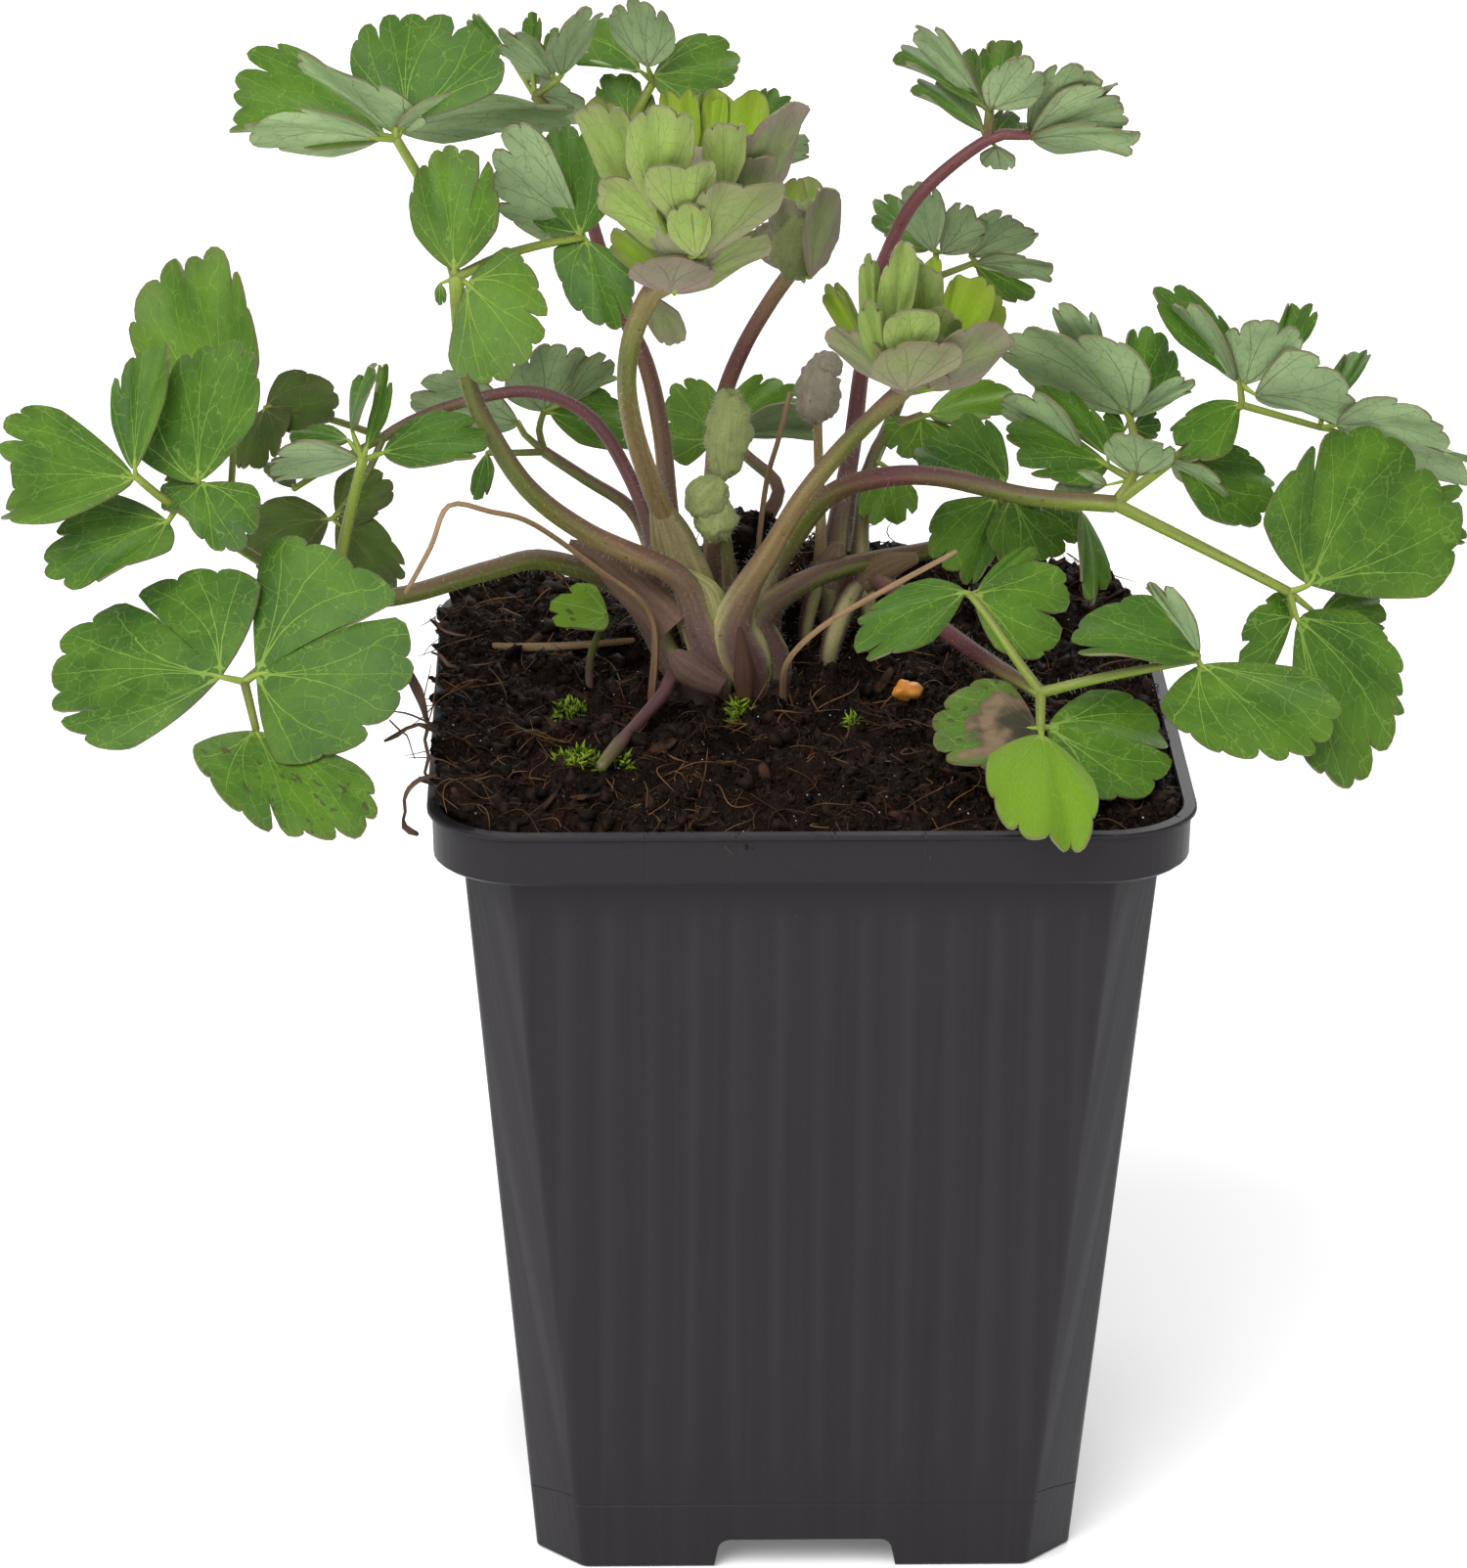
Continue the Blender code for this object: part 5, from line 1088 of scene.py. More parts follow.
def grow(
    name, foot, radii, stem, stalks=(), sprays=(), lumps=(), slot="leaf", faces=(UPPER, UNDER), lime=0.12,
    purple=0.15, tints=(PLUM, OLIVE, OLIVE), stalk_tint=PALE, bud=None, sheath=0.7, flush=0.7,
    scallop=SCALLOP,
):
    """One leaf or shoot: its stem from the soil, its stalks, and its sprays of leaflets round their hubs."""
    chance = random.Random(name)
    growth = Growth()
    x, y, foot_radius = foot
    ground = soil_height(x, y)
    route = [Vector((x, y, ground - FOOT_DEPTH)), Vector((x, y, ground + FOOT_ABOVE))]
    route = smooth_route(route + [seen(*point) for point in stem], STEM_STEP)
    outward = Vector((x - CROWN_AT[0], y - CROWN_AT[1] - FACED_BEHIND, 0.0)).normalized()
    widths = [radius * SLIM for radius in (foot_radius, *radii)]
    sides = SHEATH_SIDES if sheath else STEM_SIDES
    colours = (SHEATH_TINT, SHEATH_TINT, *tints)
    growth.tube(route, widths, colours, STEM, sides, sheath, STEM_RIDGES, outward, flush)
    for points, thick in stalks:
        widths = [radius * SLIM for radius in thick]
        route = seen_route(points, STEM_STEP)
        growth.tube(route, widths, (tints[-1], stalk_tint), STEM, STALK_SIDES, flush=flush * 0.5)
    hubs = [(seen(*hub), radius) for hub, radius, *_ in sprays if hub]
    for hub, radius, *rows in sprays:
        for row in rows:
            form, (own_lime, own_purple, age) = leaflet(*row)
            if own_lime is None:
                own_lime = lime + chance.uniform(-0.12, 0.12)
            own_purple = purple if own_purple is None else own_purple
            blade = growth.blade(form, own_lime, own_purple, age, *faces, chance, scallop)
            if hub:
                start, thin = seen(*hub), radius * HUB_SHARE
            else:
                start, thick = min(hubs, key=lambda place: (place[0] - blade.base).length)
                thin = thick * STALKLET_SHARE
            if (start - blade.base).length < LONGEST_STALKLET:
                into = blade.point(0.0, min(JOINT_IN, JOINT_REACH / blade.length))
                joined = smooth_route([start, blade.base, into], SHORT_STEP)
                widths = (thin, thin * STALKLET_WAIST, STALKLET_TIP)
                growth.tube(joined, widths, (stalk_tint, stalk_tint), STEM, STALK_SIDES)
    wool = BUD_WOOL if slot == "bud" else LUMP_WOOL
    tint, finish = (bud, BUD) if bud else (LUMP_TINT, faces[1])
    for pixel, half, *lean in lumps:
        growth.ball(seen(*pixel), half, sum(lean), tint, finish, wool, furrow=FURROW)
    piece = growth.piece(f"{name}_fine")
    settle(piece, slot, name)
    DOWNY.append(piece)


# %% [markdown]
# The front leaf at the left has the largest leaflets of the plant. The bronze one is behind it.

# %% Grow: leaf left front
grow(
    "leaf_left_front", foot=(-15.6, -0.5, 1.2), radii=(1.4, 1.6, 1.5, 1.4, 1.3), tints=(OLIVE, OLIVE, OLIVE),
    flush=0.6,
    stem=[(640, 606, 2.2), (560, 573, -4.1), (500, 583, -9), (415, 608, -15), (338, 617, -18)],
    stalks=[
        ([(338, 617, -18), (345, 590, -17), (355, 540, -16), (371, 470, -16)], (1, 0.8)),
        ([(338, 617, -18), (280, 582, -20), (190, 525, -22), (160, 505, -23), (139, 487, -24)], (0.95, 0.6)),
        ([(338, 617, -18), (300, 655, -24), (250, 697, -33)], (0.9, 0.7)),
        ([(250, 697, -33), (262, 746, -35)], (0.7, 0.6)),
        ([(222, 546, -21.4), (206, 496, -22)], (0.6, 0.6)),
        ([(228, 550, -21.3), (236, 500, -16), (239, 442, -11)], (0.6, 0.5)),
    ],
    sprays=[
        [(250, 697, -33), 0.6,
         ((226, 692, -33), (70, 655), (112, 772), (258, 592), (-38, 40), "243", (), (0.33, 0.6), 1),
         ((262, 690, -33), (428, 668), (298, 552), (312, 784), (-18, 35), "332", (), (0.65, 0.15), 1)],
        [(262, 746, -35), 0.55,
         ((262, 748, -35), (318, 862), (388, 815), (207, 795), (-23, 60), "323",
          (0.25, 0.3, 1.1), (0.15, 0.35), 1)],
        [(139, 487, -24), 0.5,
         ((137, 489, -24), (14, 492), (20, 540), (30, 417), (-43, 45), "232"),
         ((138, 480, -24), (150, 362), (119, 393), (177, 372), (-28, 25), "131")],
        [(180, 520, -22.5), 0.5,
         ((172, 533, -23), (52, 592), (85, 512), (150, 572), (-38, 50), "232", (), (0.2, 0.2), -1)],
        [(206, 496, -22), 0.5,
         ((203, 493, -23), (212, 356), (142, 440), (269, 398), (-28, 15), "232", (), (0.15, 0.1)),
         ((208, 494, -23), (232, 566), (270, 510), (188, 522), (-28, 40), "222", (), (0.15, 0.15))],
        [(239, 442, -11), 0.5,
         ((238, 440, -11), (203, 258), (140, 345), (262, 330), (-33, 15), "322", (0.32, 0.4), (0.15, 0.2))],
        [(371, 470, -16), 0.55,
         ((366, 469, -16), (277, 478), (310, 455), (300, 494), (5, 140), "222"),
         ((356, 450, -15), (298, 448), (335, 437), (332, 459), (-56, 60)),
         ((360, 440, -15), (384, 373), (364, 405), (378, 410), (-75, 10)),
         ((374, 460, -16), (390, 373), (379, 420), (397, 418), (26, 10)),
         ((392, 463, -15), (502, 450), (445, 426), (450, 479), (-13, 60), "222")],
        [None, 0,
         ((203, 496, -22), (166, 508), (182, 524), (180, 486), (-48, 50))],
    ],
)

# %% Grow: leaf left back
grow(
    "leaf_left_back", foot=(-16.8, 5.2, 1.1), radii=(1.3, 1.1, 1, 0.9, 0.8), slot="bronze_leaf",
    faces=(BRONZE, UNDER), purple=0.3, tints=(PLUM, PLUM, OLIVE),
    stem=[
        (668, 560, 8.1), (645, 490, 10.8), (602, 425, 15.2), (540, 400, 18), (470, 412, 19), (418, 431, 18),
        (392, 447, 17),
    ],
    stalks=[
        ([(392, 447, 17), (335, 428, 15), (272, 416, 13)], (0.6, 0.5)),
        ([(392, 447, 17), (372, 490, 14), (341, 530, 12)], (0.6, 0.5)),
        ([(392, 447, 17), (338, 476, 15), (300, 500, 13)], (0.7, 0.5)),
    ],
    sprays=[
        [(272, 416, 13), 0.5,
         ((273, 416, 13), (347, 408), (305, 380), (318, 443), (-28, 35), "221", (), (0.1, 0.15)),
         ((271, 418, 13), (257, 481), (298, 440), (243, 460), (-38, 50), "222")],
        [(341, 530, 12), 0.5,
         ((336, 531, 12), (250, 548), (282, 514), (290, 592), (-37, 50), "222", (), (0.15, 0.15)),
         ((344, 527, 12), (404, 495), (360, 480), (382, 530), (-16, 40), "221"),
         ((344, 534, 12), (411, 600), (395, 545), (365, 618), (-16, 45), "222")],
        [(300, 500, 13), 0.5,
         ((302, 498, 13), (272, 478), (283, 494), (298, 478), (-48, 60))],
    ],
)

# %% [markdown]
# These stand highest, so many of their leaflets show the pale lower face.

# %% Grow: leaf top left
grow(
    "leaf_top_left", foot=(-10.7, -3.2, 1.5), radii=(1.9, 1.6, 1.5, 1.3, 1.1),
    tints=(TAN, OLIVE, OLIVE, PALE),
    stem=[
        (712, 632, -3), (690, 588, -4.1), (600, 545, -8.1), (540, 500, -11.4), (500, 440, -12),
        (480, 395, -11), (471, 340, -10), (466, 284, -10),
    ],
    stalks=[
        ([(466, 284, -10), (452, 235, -5), (436, 195, -4), (405, 142, -4)], (0.9, 0.7)),
        ([(466, 284, -10), (510, 263, -8), (555, 250, -6), (596, 243, -5)], (0.8, 0.6)),
    ],
    sprays=[
        [(466, 284, -10), 0.6,
         ((465, 276, -10), (462, 149), (424, 212), (516, 208), (-18, 25), "232", (0.28, 0.4), (0.1, 0.42), 1),
         ((478, 290, -10), (550, 355), (532, 263), (470, 388), (-12, 30), "323",
          (0.3, 0.3, 0.9), (0.3, 0.1), 1)],
        [(405, 142, -4), 0.6,
         ((394, 139, -4), (242, 115), (290, 160), (295, 62), (-33, 65), "242", (), (0.1, 0.2), 1.5),
         ((388, 142, -5), (252, 131), (300, 163), (322, 121), (13, 150), "131"),
         ((404, 136, -3), (308, 60), (340, 95), (414, 105), (2, 150), "131"),
         ((416, 122, -3), (438, 17), (364, 55), (520, 73), (-22, 40), "233"),
         ((405, 132, -4), (590, 118), (490, 150), (480, 104), (22, 140), "232")],
        [(596, 243, -5), 0.55,
         ((593, 240, -5), (582, 128), (554, 172), (626, 180), (-10, 20), "122", (), (0.06, 0.1)),
         ((600, 246, -5), (618, 337), (650, 292), (568, 275), (-9, 35), "222", (), (0.3, 0.1)),
         ((592, 230, -3), (502, 178), (540, 130), (535, 238), (0, 150), "222")],
        [None, 0,
         ((450, 290, -10), (450, 312), (445, 301), (457, 301), (-19, 20), "111"),
         ((590, 238, -5), (548, 210), (556, 240), (575, 212), (-20, 50), "111")],
    ],
)

# %% Grow: leaf top back
grow(
    "leaf_top_back", foot=(-13.6, 9.4, 1.3), radii=(1.5, 1.4, 1.3, 1.1, 0.9, 0.8),
    tints=(TAN, PLUM, PLUM, OLIVE), purple=0.3,
    stem=[
        (692, 600, 12), (684, 520, 14.9), (676, 440, 19.6), (660, 370, 23.5), (633, 312, 25),
        (612, 250, 26.5), (592, 180, 27), (575, 130, 26), (547, 98, 25),
    ],
    stalks=[
        ([(547, 98, 25), (570, 82, 24.5)], (0.7, 0.6)),
        ([(592, 180, 27), (640, 130, 30), (668, 84, 31)], (0.8, 0.7)),
        ([(640, 130, 30), (700, 150, 31), (760, 155, 31)], (0.7, 0.6)),
    ],
    sprays=[
        [(547, 98, 25), 0.5,
         ((522, 60, 31.5), (486, 16), (487, 36), (502, 28), (-45, 30), "111"),
         ((543, 60, 27), (544, 12), (534, 35), (554, 35), (-13, 10), "111")],
        [(570, 82, 24.5), 0.5,
         ((566, 82, 26), (511, 30), (552, 52), (528, 76), (-8, 140), "222"),
         ((562, 74, 26), (566, 29), (556, 50), (577, 45), (-12, 30), "111"),
         ((575, 76, 25), (602, 11), (565, 42), (612, 32), (31, 145), "221")],
        [(668, 84, 31), 0.55,
         ((655, 73, 30), (590, 64), (618, 18), (608, 62), (-16, 55), "122"),
         ((662, 68, 28), (655, 2), (622, 24), (690, 34), (5, 155), "222"),
         ((668, 78, 30), (757, 72), (714, 38), (702, 104), (5, 50), "232", (), (0.1, 0.15)),
         ((645, 132, 30), (630, 75), (609, 95), (672, 110), (-6, 30))],
        [(760, 155, 31), 0.5,
         ((756, 150, 31), (799, 98), (768, 104), (800, 122), (21, 40)),
         ((785, 160, 31), (829, 152), (812, 140), (812, 168), (17, 145), "111")],
        [None, 0,
         ((552, 97, 25), (602, 110), (562, 84), (575, 128), (13, 145))],
    ],
)

# %% [markdown]
# Small leaves fill the space behind the stems.

# %% Grow: leaf back left
grow(
    "leaf_back_left", foot=(-17, 14.2, 1.1), radii=(1.2, 1, 0.9),
    stem=[(668, 566, 16.8), (645, 520, 18.9), (600, 490, 21), (557, 462, 22.7)],
    stalks=[
        ([(557, 462, 22.7), (536, 444, 24.6), (529, 431, 25.9)], (0.6, 0.5)),
        ([(557, 462, 22.7), (551, 440, 25.4), (556, 421, 26.7)], (0.6, 0.5)),
        ([(557, 462, 22.7), (525, 463, 22.5), (499, 463, 21.9)], (0.6, 0.5)),
    ],
    sprays=[
        [(529, 431, 25.9), 0.5,
         ((530, 432, 25.8), (416, 412), (468, 386), (478, 442), (4, 150), "222")],
        [(556, 421, 26.7), 0.5,
         ((556, 420, 26.7), (562, 353), (518, 392), (606, 376), (12, 155), "222"),
         ((578, 412, 26.6), (630, 382), (603, 366), (612, 398), (21, 150)),
         ((562, 422, 26.6), (652, 440), (610, 398), (620, 462), (-2, 50), "221")],
        [(499, 463, 21.9), 0.5,
         ((498, 464, 21.9), (488, 512), (484, 490), (506, 488), (-36, 30), "111")],
    ],
)

# %% Grow: leaf back
grow(
    "leaf_back", foot=(-2, 15.4, 1.1), radii=(1.2, 1, 0.8), lime=0.3,
    stem=[(768, 560, 20.2), (796, 502, 23), (766, 468, 27.4), (738, 445, 31.8)],
    sprays=[
        [(738, 445, 31.8), 0.6,
         ((733, 445, 31.8), (682, 405), (722, 394), (688, 472), (-10, 50), "222"),
         ((742, 441, 31.8), (803, 393), (757, 397), (800, 425), (10, 50)),
         ((744, 444, 31.8), (836, 445), (800, 415), (800, 450), (10, 145))],
    ],
)

# %% [markdown]
# Their stems are plum red.

# %% Grow: leaf top right
grow(
    "leaf_top_right", foot=(3.2, 12, 1.5), radii=(1.6, 1.4, 1.2, 1.1, 1, 0.8), purple=0.5,
    tints=(PLUM, PLUM, PLUM), stalk_tint=OLIVE,
    stem=[
        (848, 595, 15.1), (860, 520, 15.6), (872, 450, 16.5), (880, 385, 15.9), (892, 310, 13),
        (905, 265, 11), (940, 200, 9), (1010, 143, 7), (1052, 138, 7),
    ],
    stalks=[
        ([(1010, 143, 7), (1012, 112, 7)], (0.85, 0.7)),
    ],
    sprays=[
        [(1052, 138, 7), 0.6,
         ((1055, 137, 7), (1150, 113), (1100, 90), (1125, 143), (-11, 150), "232"),
         ((1055, 141, 7), (1166, 143), (1110, 163), (1110, 132), (-21, 140), "131"),
         ((1053, 134, 9), (1120, 82), (1075, 70), (1125, 105), (-11, 145), "221")],
        [(1012, 112, 7), 0.55,
         ((1014, 111, 6), (1052, 60), (1014, 74), (1066, 98), (-18, 155), "221"),
         ((1012, 110, 8), (1028, 42), (1000, 55), (1046, 62), (18, 35), "131"),
         ((1006, 106, 9), (938, 33), (942, 58), (973, 50), (-28, 145)),
         ((1007, 110, 7), (916, 56), (955, 86), (972, 62), (8, 70))],
        [(1010, 143, 7), 0.55,
         ((1005, 134, 7), (934, 88), (965, 116), (985, 98), (8, 65))],
        [None, 0,
         ((1019, 150, 7), (1022, 174), (1001, 163), (1038, 165), (-19, 150), "111"),
         ((1017, 138, 9), (1034, 116), (1017, 120), (1052, 138), (18, 55), "111"),
         ((1008, 108, 8), (988, 54), (977, 70), (1001, 62), (18, 40), "111")],
    ],
)

# %% Grow: leaf right back top
grow(
    "leaf_right_back_top", foot=(3, 18.2, 1.2), radii=(1.3, 1.1, 0.9, 0.8), purple=0.5,
    stem=[(846, 600, 19.4), (880, 500, 24.1), (915, 420, 27.7), (940, 350, 28), (958, 283, 28)],
    stalks=[
        ([(958, 283, 28), (957, 257, 29)], (0.6, 0.5)),
        ([(958, 283, 28), (998, 268, 30)], (0.6, 0.5)),
    ],
    sprays=[
        [(957, 257, 29), 0.5,
         ((950, 254, 30), (893, 218), (908, 246), (922, 206), (-6, 50)),
         ((955, 256, 28), (932, 190), (922, 228), (965, 215), (-14, 150)),
         ((962, 258, 29), (1000, 222), (970, 216), (998, 255), (-5, 150))],
        [(998, 268, 30), 0.5,
         ((992, 262, 30), (1042, 228), (1005, 223), (1057, 252), (-7, 145), "232"),
         ((999, 269, 30), (1078, 276), (1040, 264), (1050, 290), (-7, 145), "131"),
         ((997, 272, 30), (1060, 298), (1012, 281), (1030, 312), (27, 50), "211")],
    ],
)

# %% [markdown]
# The largest leaf on this side reaches as far out as the one at the left.

# %% Grow: leaf right
grow(
    "leaf_right", foot=(-4.4, 4.2, 1.5), radii=(1.9, 1.6, 1.5, 1.4, 1.3), tints=(OLIVE, PLUM, OLIVE, PALE),
    stem=[
        (786, 596, 4), (815, 545, 1.6), (850, 505, -1.9), (900, 488, -5.5), (960, 487, -7.9),
        (1050, 507, -10), (1140, 515, -11),
    ],
    stalks=[
        ([(1140, 515, -11), (1240, 565, -14), (1318, 605, -16)], (1, 0.75)),
        ([(1140, 515, -11), (1157, 490, -9), (1162, 462, -3), (1155, 427, 0)], (0.9, 0.6)),
        ([(1157, 490, -9), (1134, 477, -7)], (0.6, 0.5)),
        ([(1140, 515, -11), (1196, 473, -8), (1235, 441, -4), (1270, 414, -1)], (0.9, 0.6)),
        ([(1270, 414, -1), (1268, 392, 1)], (0.6, 0.5)),
        ([(1270, 414, -1), (1350, 437, 1)], (0.6, 0.5)),
    ],
    sprays=[
        [(1318, 605, -16), 0.6,
         ((1338, 598, -16), (1415, 440), (1297, 505), (1474, 592), (33, 30), "233", (), (0.5, 0.12), 1),
         ((1327, 634, -16), (1425, 742), (1402, 655), (1335, 800), (33, 45), "323", (), (0.15, 0.15), 1),
         ((1321, 632, -15), (1267, 650), (1300, 610), (1285, 692), (23, 45), "221"),
         ((1350, 630, -13), (1412, 622), (1390, 600), (1398, 650), (38, 50)),
         ((1430, 540, -7), (1493, 540), (1475, 498), (1480, 557), (48, 40))],
        [(1157, 490, -9), 0.5,
         ((1163, 486, -8), (1160, 446), (1128, 455), (1200, 463), (-28, 150), "131")],
        [(1134, 477, -7), 0.5,
         ((1132, 474, -6), (1037, 462), (1052, 430), (1085, 497), (16, 50), "222", (), (0.3, 0.1)),
         ((1108, 463, -5), (1022, 415), (1062, 407), (1052, 442), (-35, 145), "131")],
        [(1155, 427, 0), 0.5,
         ((1154, 423, 0), (1050, 338), (1045, 392), (1154, 366), (-38, 150), "232", (), (0.3, 0.15)),
         ((1130, 395, 3), (1100, 318), (1078, 336), (1122, 344), (-26, 150)),
         ((1158, 421, 1), (1180, 338), (1142, 362), (1205, 392), (33, 30), "222", (), (0.15, 0.15))],
        [(1270, 414, -1), 0.55,
         ((1267, 414, -1), (1198, 448), (1218, 424), (1238, 478), (18, 60), "221", (), (0.2, 0.1))],
        [(1268, 392, 1), 0.5,
         ((1264, 386, 2), (1205, 294), (1180, 322), (1248, 330), (23, 30), "221", (), (0.1, 0.2)),
         ((1273, 393, 1), (1290, 328), (1243, 355), (1330, 356), (-28, 155), "222"),
         ((1283, 403, 0), (1385, 430), (1340, 362), (1325, 423), (-8, 145), "231"),
         ((1300, 380, 4), (1326, 315), (1308, 328), (1343, 335), (28, 35))],
        [(1350, 437, 1), 0.5,
         ((1366, 435, 1.4), (1480, 446), (1420, 412), (1440, 470), (-18, 145), "231"),
         ((1368, 441, 2.6), (1498, 476), (1452, 457), (1455, 496), (-8, 145)),
         ((1352, 425, 3), (1388, 361), (1358, 385), (1390, 382), (48, 50))],
        [(1196, 473, -8), 0.5,
         ((1205, 475, -8), (1301, 505), (1262, 461), (1252, 541), (38, 40), "33", (), (0.1,))],
        [None, 0,
         ((1131, 496, -10), (1080, 494), (1105, 484), (1105, 508), (-26, 150)),
         ((1132, 466, -3), (1088, 400), (1062, 415), (1130, 440), (21, 45)),
         ((1158, 426, 0), (1222, 392), (1185, 396), (1195, 416), (-18, 150), "111"),
         ((1159, 438, 2), (1185, 434), (1172, 418), (1176, 450), (38, 40), "111"),
         ((1150, 440, 2), (1124, 436), (1138, 420), (1138, 452), (17, 40), "111"),
         ((1264, 389, 1), (1196, 317), (1212, 350), (1238, 332), (-48, 150), "111"),
         ((1199, 472, -9), (1253, 514), (1208, 496), (1232, 480), (-28, 150))],
    ],
)

# %% Grow: leaf right low
grow(
    "leaf_right_low", foot=(-3, 0.2, 1.3), radii=(1.8, 1.5, 1.3, 1), tints=(OLIVE, OLIVE, OLIVE),
    stem=[(775, 640, 0), (800, 608, 1.1), (860, 580, 4), (950, 562, 8.9), (1005, 545, 10.8), (1028, 510, 8)],
    sprays=[
        [(1028, 510, 8), 0.6,
         ((1018, 510, 8), (978, 592), (948, 535), (1014, 572), (14, 45), "222", (), (0.15, 0.2)),
         ((1034, 510, 8), (1060, 577), (1013, 560), (1109, 532), (25, 45), "232"),
         ((1106, 524, 6), (1113, 616), (1100, 565), (1127, 575), (64, 30)),
         ((1028, 494, 9), (965, 442), (935, 478), (1008, 432), (14, 50), "231")],
    ],
)

# %% Grow: leaf right back low
grow(
    "leaf_right_back_low", foot=(8.4, 9.5, 1.2), radii=(1.3, 1.1, 0.8), lime=0.45, tints=(OLIVE, PALE),
    stem=[(880, 580, 14.3), (882, 520, 16.8), (892, 470, 19.4), (910, 440, 22.4), (943, 425, 23.9)],
    sprays=[
        [(943, 425, 23.9), 0.55,
         ((950, 424, 24), (1045, 408), (1000, 394), (1002, 432), (19, 60), "221"),
         ((942, 428, 23.9), (930, 472), (903, 436), (985, 452), (13, 45), "222")],
        [(892, 470, 19.4), 0.5,
         ((908, 478, 17.6), (905, 534), (877, 515), (938, 512), (11, 35))],
    ],
)

# %% Grow: leaf right front
grow(
    "leaf_right_front", foot=(3.6, 5, 1.3), radii=(1.4, 1.3, 1.2, 1.1), tints=(PLUM, PLUM, PALE),
    stem=[(880, 592, 6), (920, 607, 1), (960, 640, -7), (1020, 682, -19), (1064, 708, -28)],
    stalks=[
        ([(1064, 708, -28), (1040, 675, -26), (1008, 628, -22), (992, 608, -20)], (0.8, 0.6)),
        ([(1064, 708, -28), (1064, 744, -32)], (0.8, 0.7)),
        ([(1064, 708, -28), (1130, 692, -28), (1224, 674, -28)], (0.85, 0.6)),
    ],
    sprays=[
        [(992, 608, -20), 0.55,
         ((986, 606, -20), (875, 648), (925, 604), (925, 674), (6, 60), "222"),
         ((997, 609, -20), (1088, 636), (1062, 578), (1030, 672), (22, 45), "22", (), (0.35,))],
        [(1064, 744, -32), 0.6,
         ((1059, 745, -32), (950, 750), (1005, 698), (1015, 792), (11, 55), "222",
          (0.25, 0.6, 1.6), (0.15, 0.15)),
         ((1065, 752, -34), (1070, 866), (1120, 832), (1006, 806), (22, 65), "222", (0.9, 0.3), (0.1, 0.1)),
         ((1071, 744, -31), (1196, 775), (1140, 714), (1125, 822), (32, 55), "33", (), (0.33,))],
        [(1224, 674, -28), 0.55,
         ((1228, 680, -28), (1325, 775), (1350, 705), (1198, 748), (8, 45), "323", (), (0.12, 0.15), 1),
         ((1226, 671, -28), (1092, 656), (1165, 612), (1160, 677), (23, 60), "221", (), (0.3, 0.1))],
        [None, 0,
         ((1000, 604, -19), (1056, 562), (1025, 575), (1046, 592), (17, 55), "111"),
         ((1226, 669, -27), (1176, 599), (1188, 622), (1216, 624), (2, 150), "111")],
    ],
)

# %% [markdown]
# A young leaf unfolds like a rose: its leaflets stand close round the stem with purple tips. `ROSETTE` is
# what both of the open ones share.

# %% What the rosettes share
ROSETTE = {
    "slot": "young_leaf", "faces": (YOUNG, YOUNG_UNDER), "scallop": 0.034, "tints": (TAN, TAN, OLIVE, TAN),
    "sheath": 1.0,
}
print("rosettes wear:", [finish.name for finish in ROSETTE["faces"]])

# %% Grow: rosette left
grow(
    "rosette_left", foot=(-11.8, 3, 1.3), radii=(1.5, 2, 1.8, 1.6, 1.5, 1.4, 1.5, 1.8), lime=0.35, purple=1.0,
    stem=[
        (702, 600, 5), (686, 545, 1.3), (664, 490, -4.8), (648, 440, -11.9), (641, 390, -17), (648, 340, -20),
        (668, 297, -21), (684, 288, -21), (694, 262, -21),
    ],
    sprays=[
        [(684, 288, -21), 0.8,
         ((682, 299, -22), (700, 264), (645, 274), (730, 282), (0, 150), "131", (-0.5, 1.4)),
         ((690, 299, -22), (790, 243), (742, 290), (735, 258), (20, 150), "121", (0.5, 0.8)),
         ((686, 286, -20), (627, 240), (640, 276), (662, 248), (-20, 60), "111"),
         ((668, 304, -18), (690, 352), (662, 335), (698, 330), (0, 150), "111")],
        [(694, 262, -21), 0.9,
         ((697, 256, -24), (612, 190), (640, 240), (668, 203), (-20, 150), "131", (0.9, 0.8)),
         ((722, 260, -25), (748, 190), (713, 216), (804, 208), (15, 150), "221", (0.5, 0.8)),
         ((700, 232, -27), (700, 171), (658, 190), (732, 182), (0, 155), "22", (0.8, 0.5), (0.15,)),
         ((740, 205, -25), (740, 128), (719, 155), (764, 152), (5, 160), "111", (0.8, 0.5)),
         ((670, 214, -27), (674, 112), (640, 152), (711, 148), (0, 160), "111", (0.9, 0.5)),
         ((770, 222, -20), (816, 104), (758, 158), (812, 168), (30, 155), "131", (-0.3, 1.6)),
         ((655, 236, -21), (598, 114), (604, 168), (648, 148), (-30, 155), "121", (0.8, 0.6)),
         ((698, 200, -17), (694, 99), (674, 122), (716, 122), (0, 30), "121", (0.9, 0.5)),
         ((748, 205, -16), (752, 101), (716, 122), (786, 124), (5, 30), "22", (0.9, 0.6), (0.12,))],
        [None, 0,
         ((692, 284, -20), (772, 240), (740, 270), (735, 245), (20, 60), "111"),
         ((712, 262, -26), (705, 208), (682, 236), (727, 232), (0, 155), "111", (0.9, 0.4)),
         ((765, 215, -22), (772, 162), (742, 190), (794, 178), (15, 155), "22", (0.2, 1), (0.12,)),
         ((657, 232, -18), (602, 108), (612, 160), (650, 140), (10, 40), "111"),
         ((720, 200, -16), (730, 102), (708, 122), (744, 124), (0, 30), "111", (1, 0.4))],
    ],
    lumps=[((706, 212, -21), (6.6, 4.6, 7.4))],
    **ROSETTE,
)

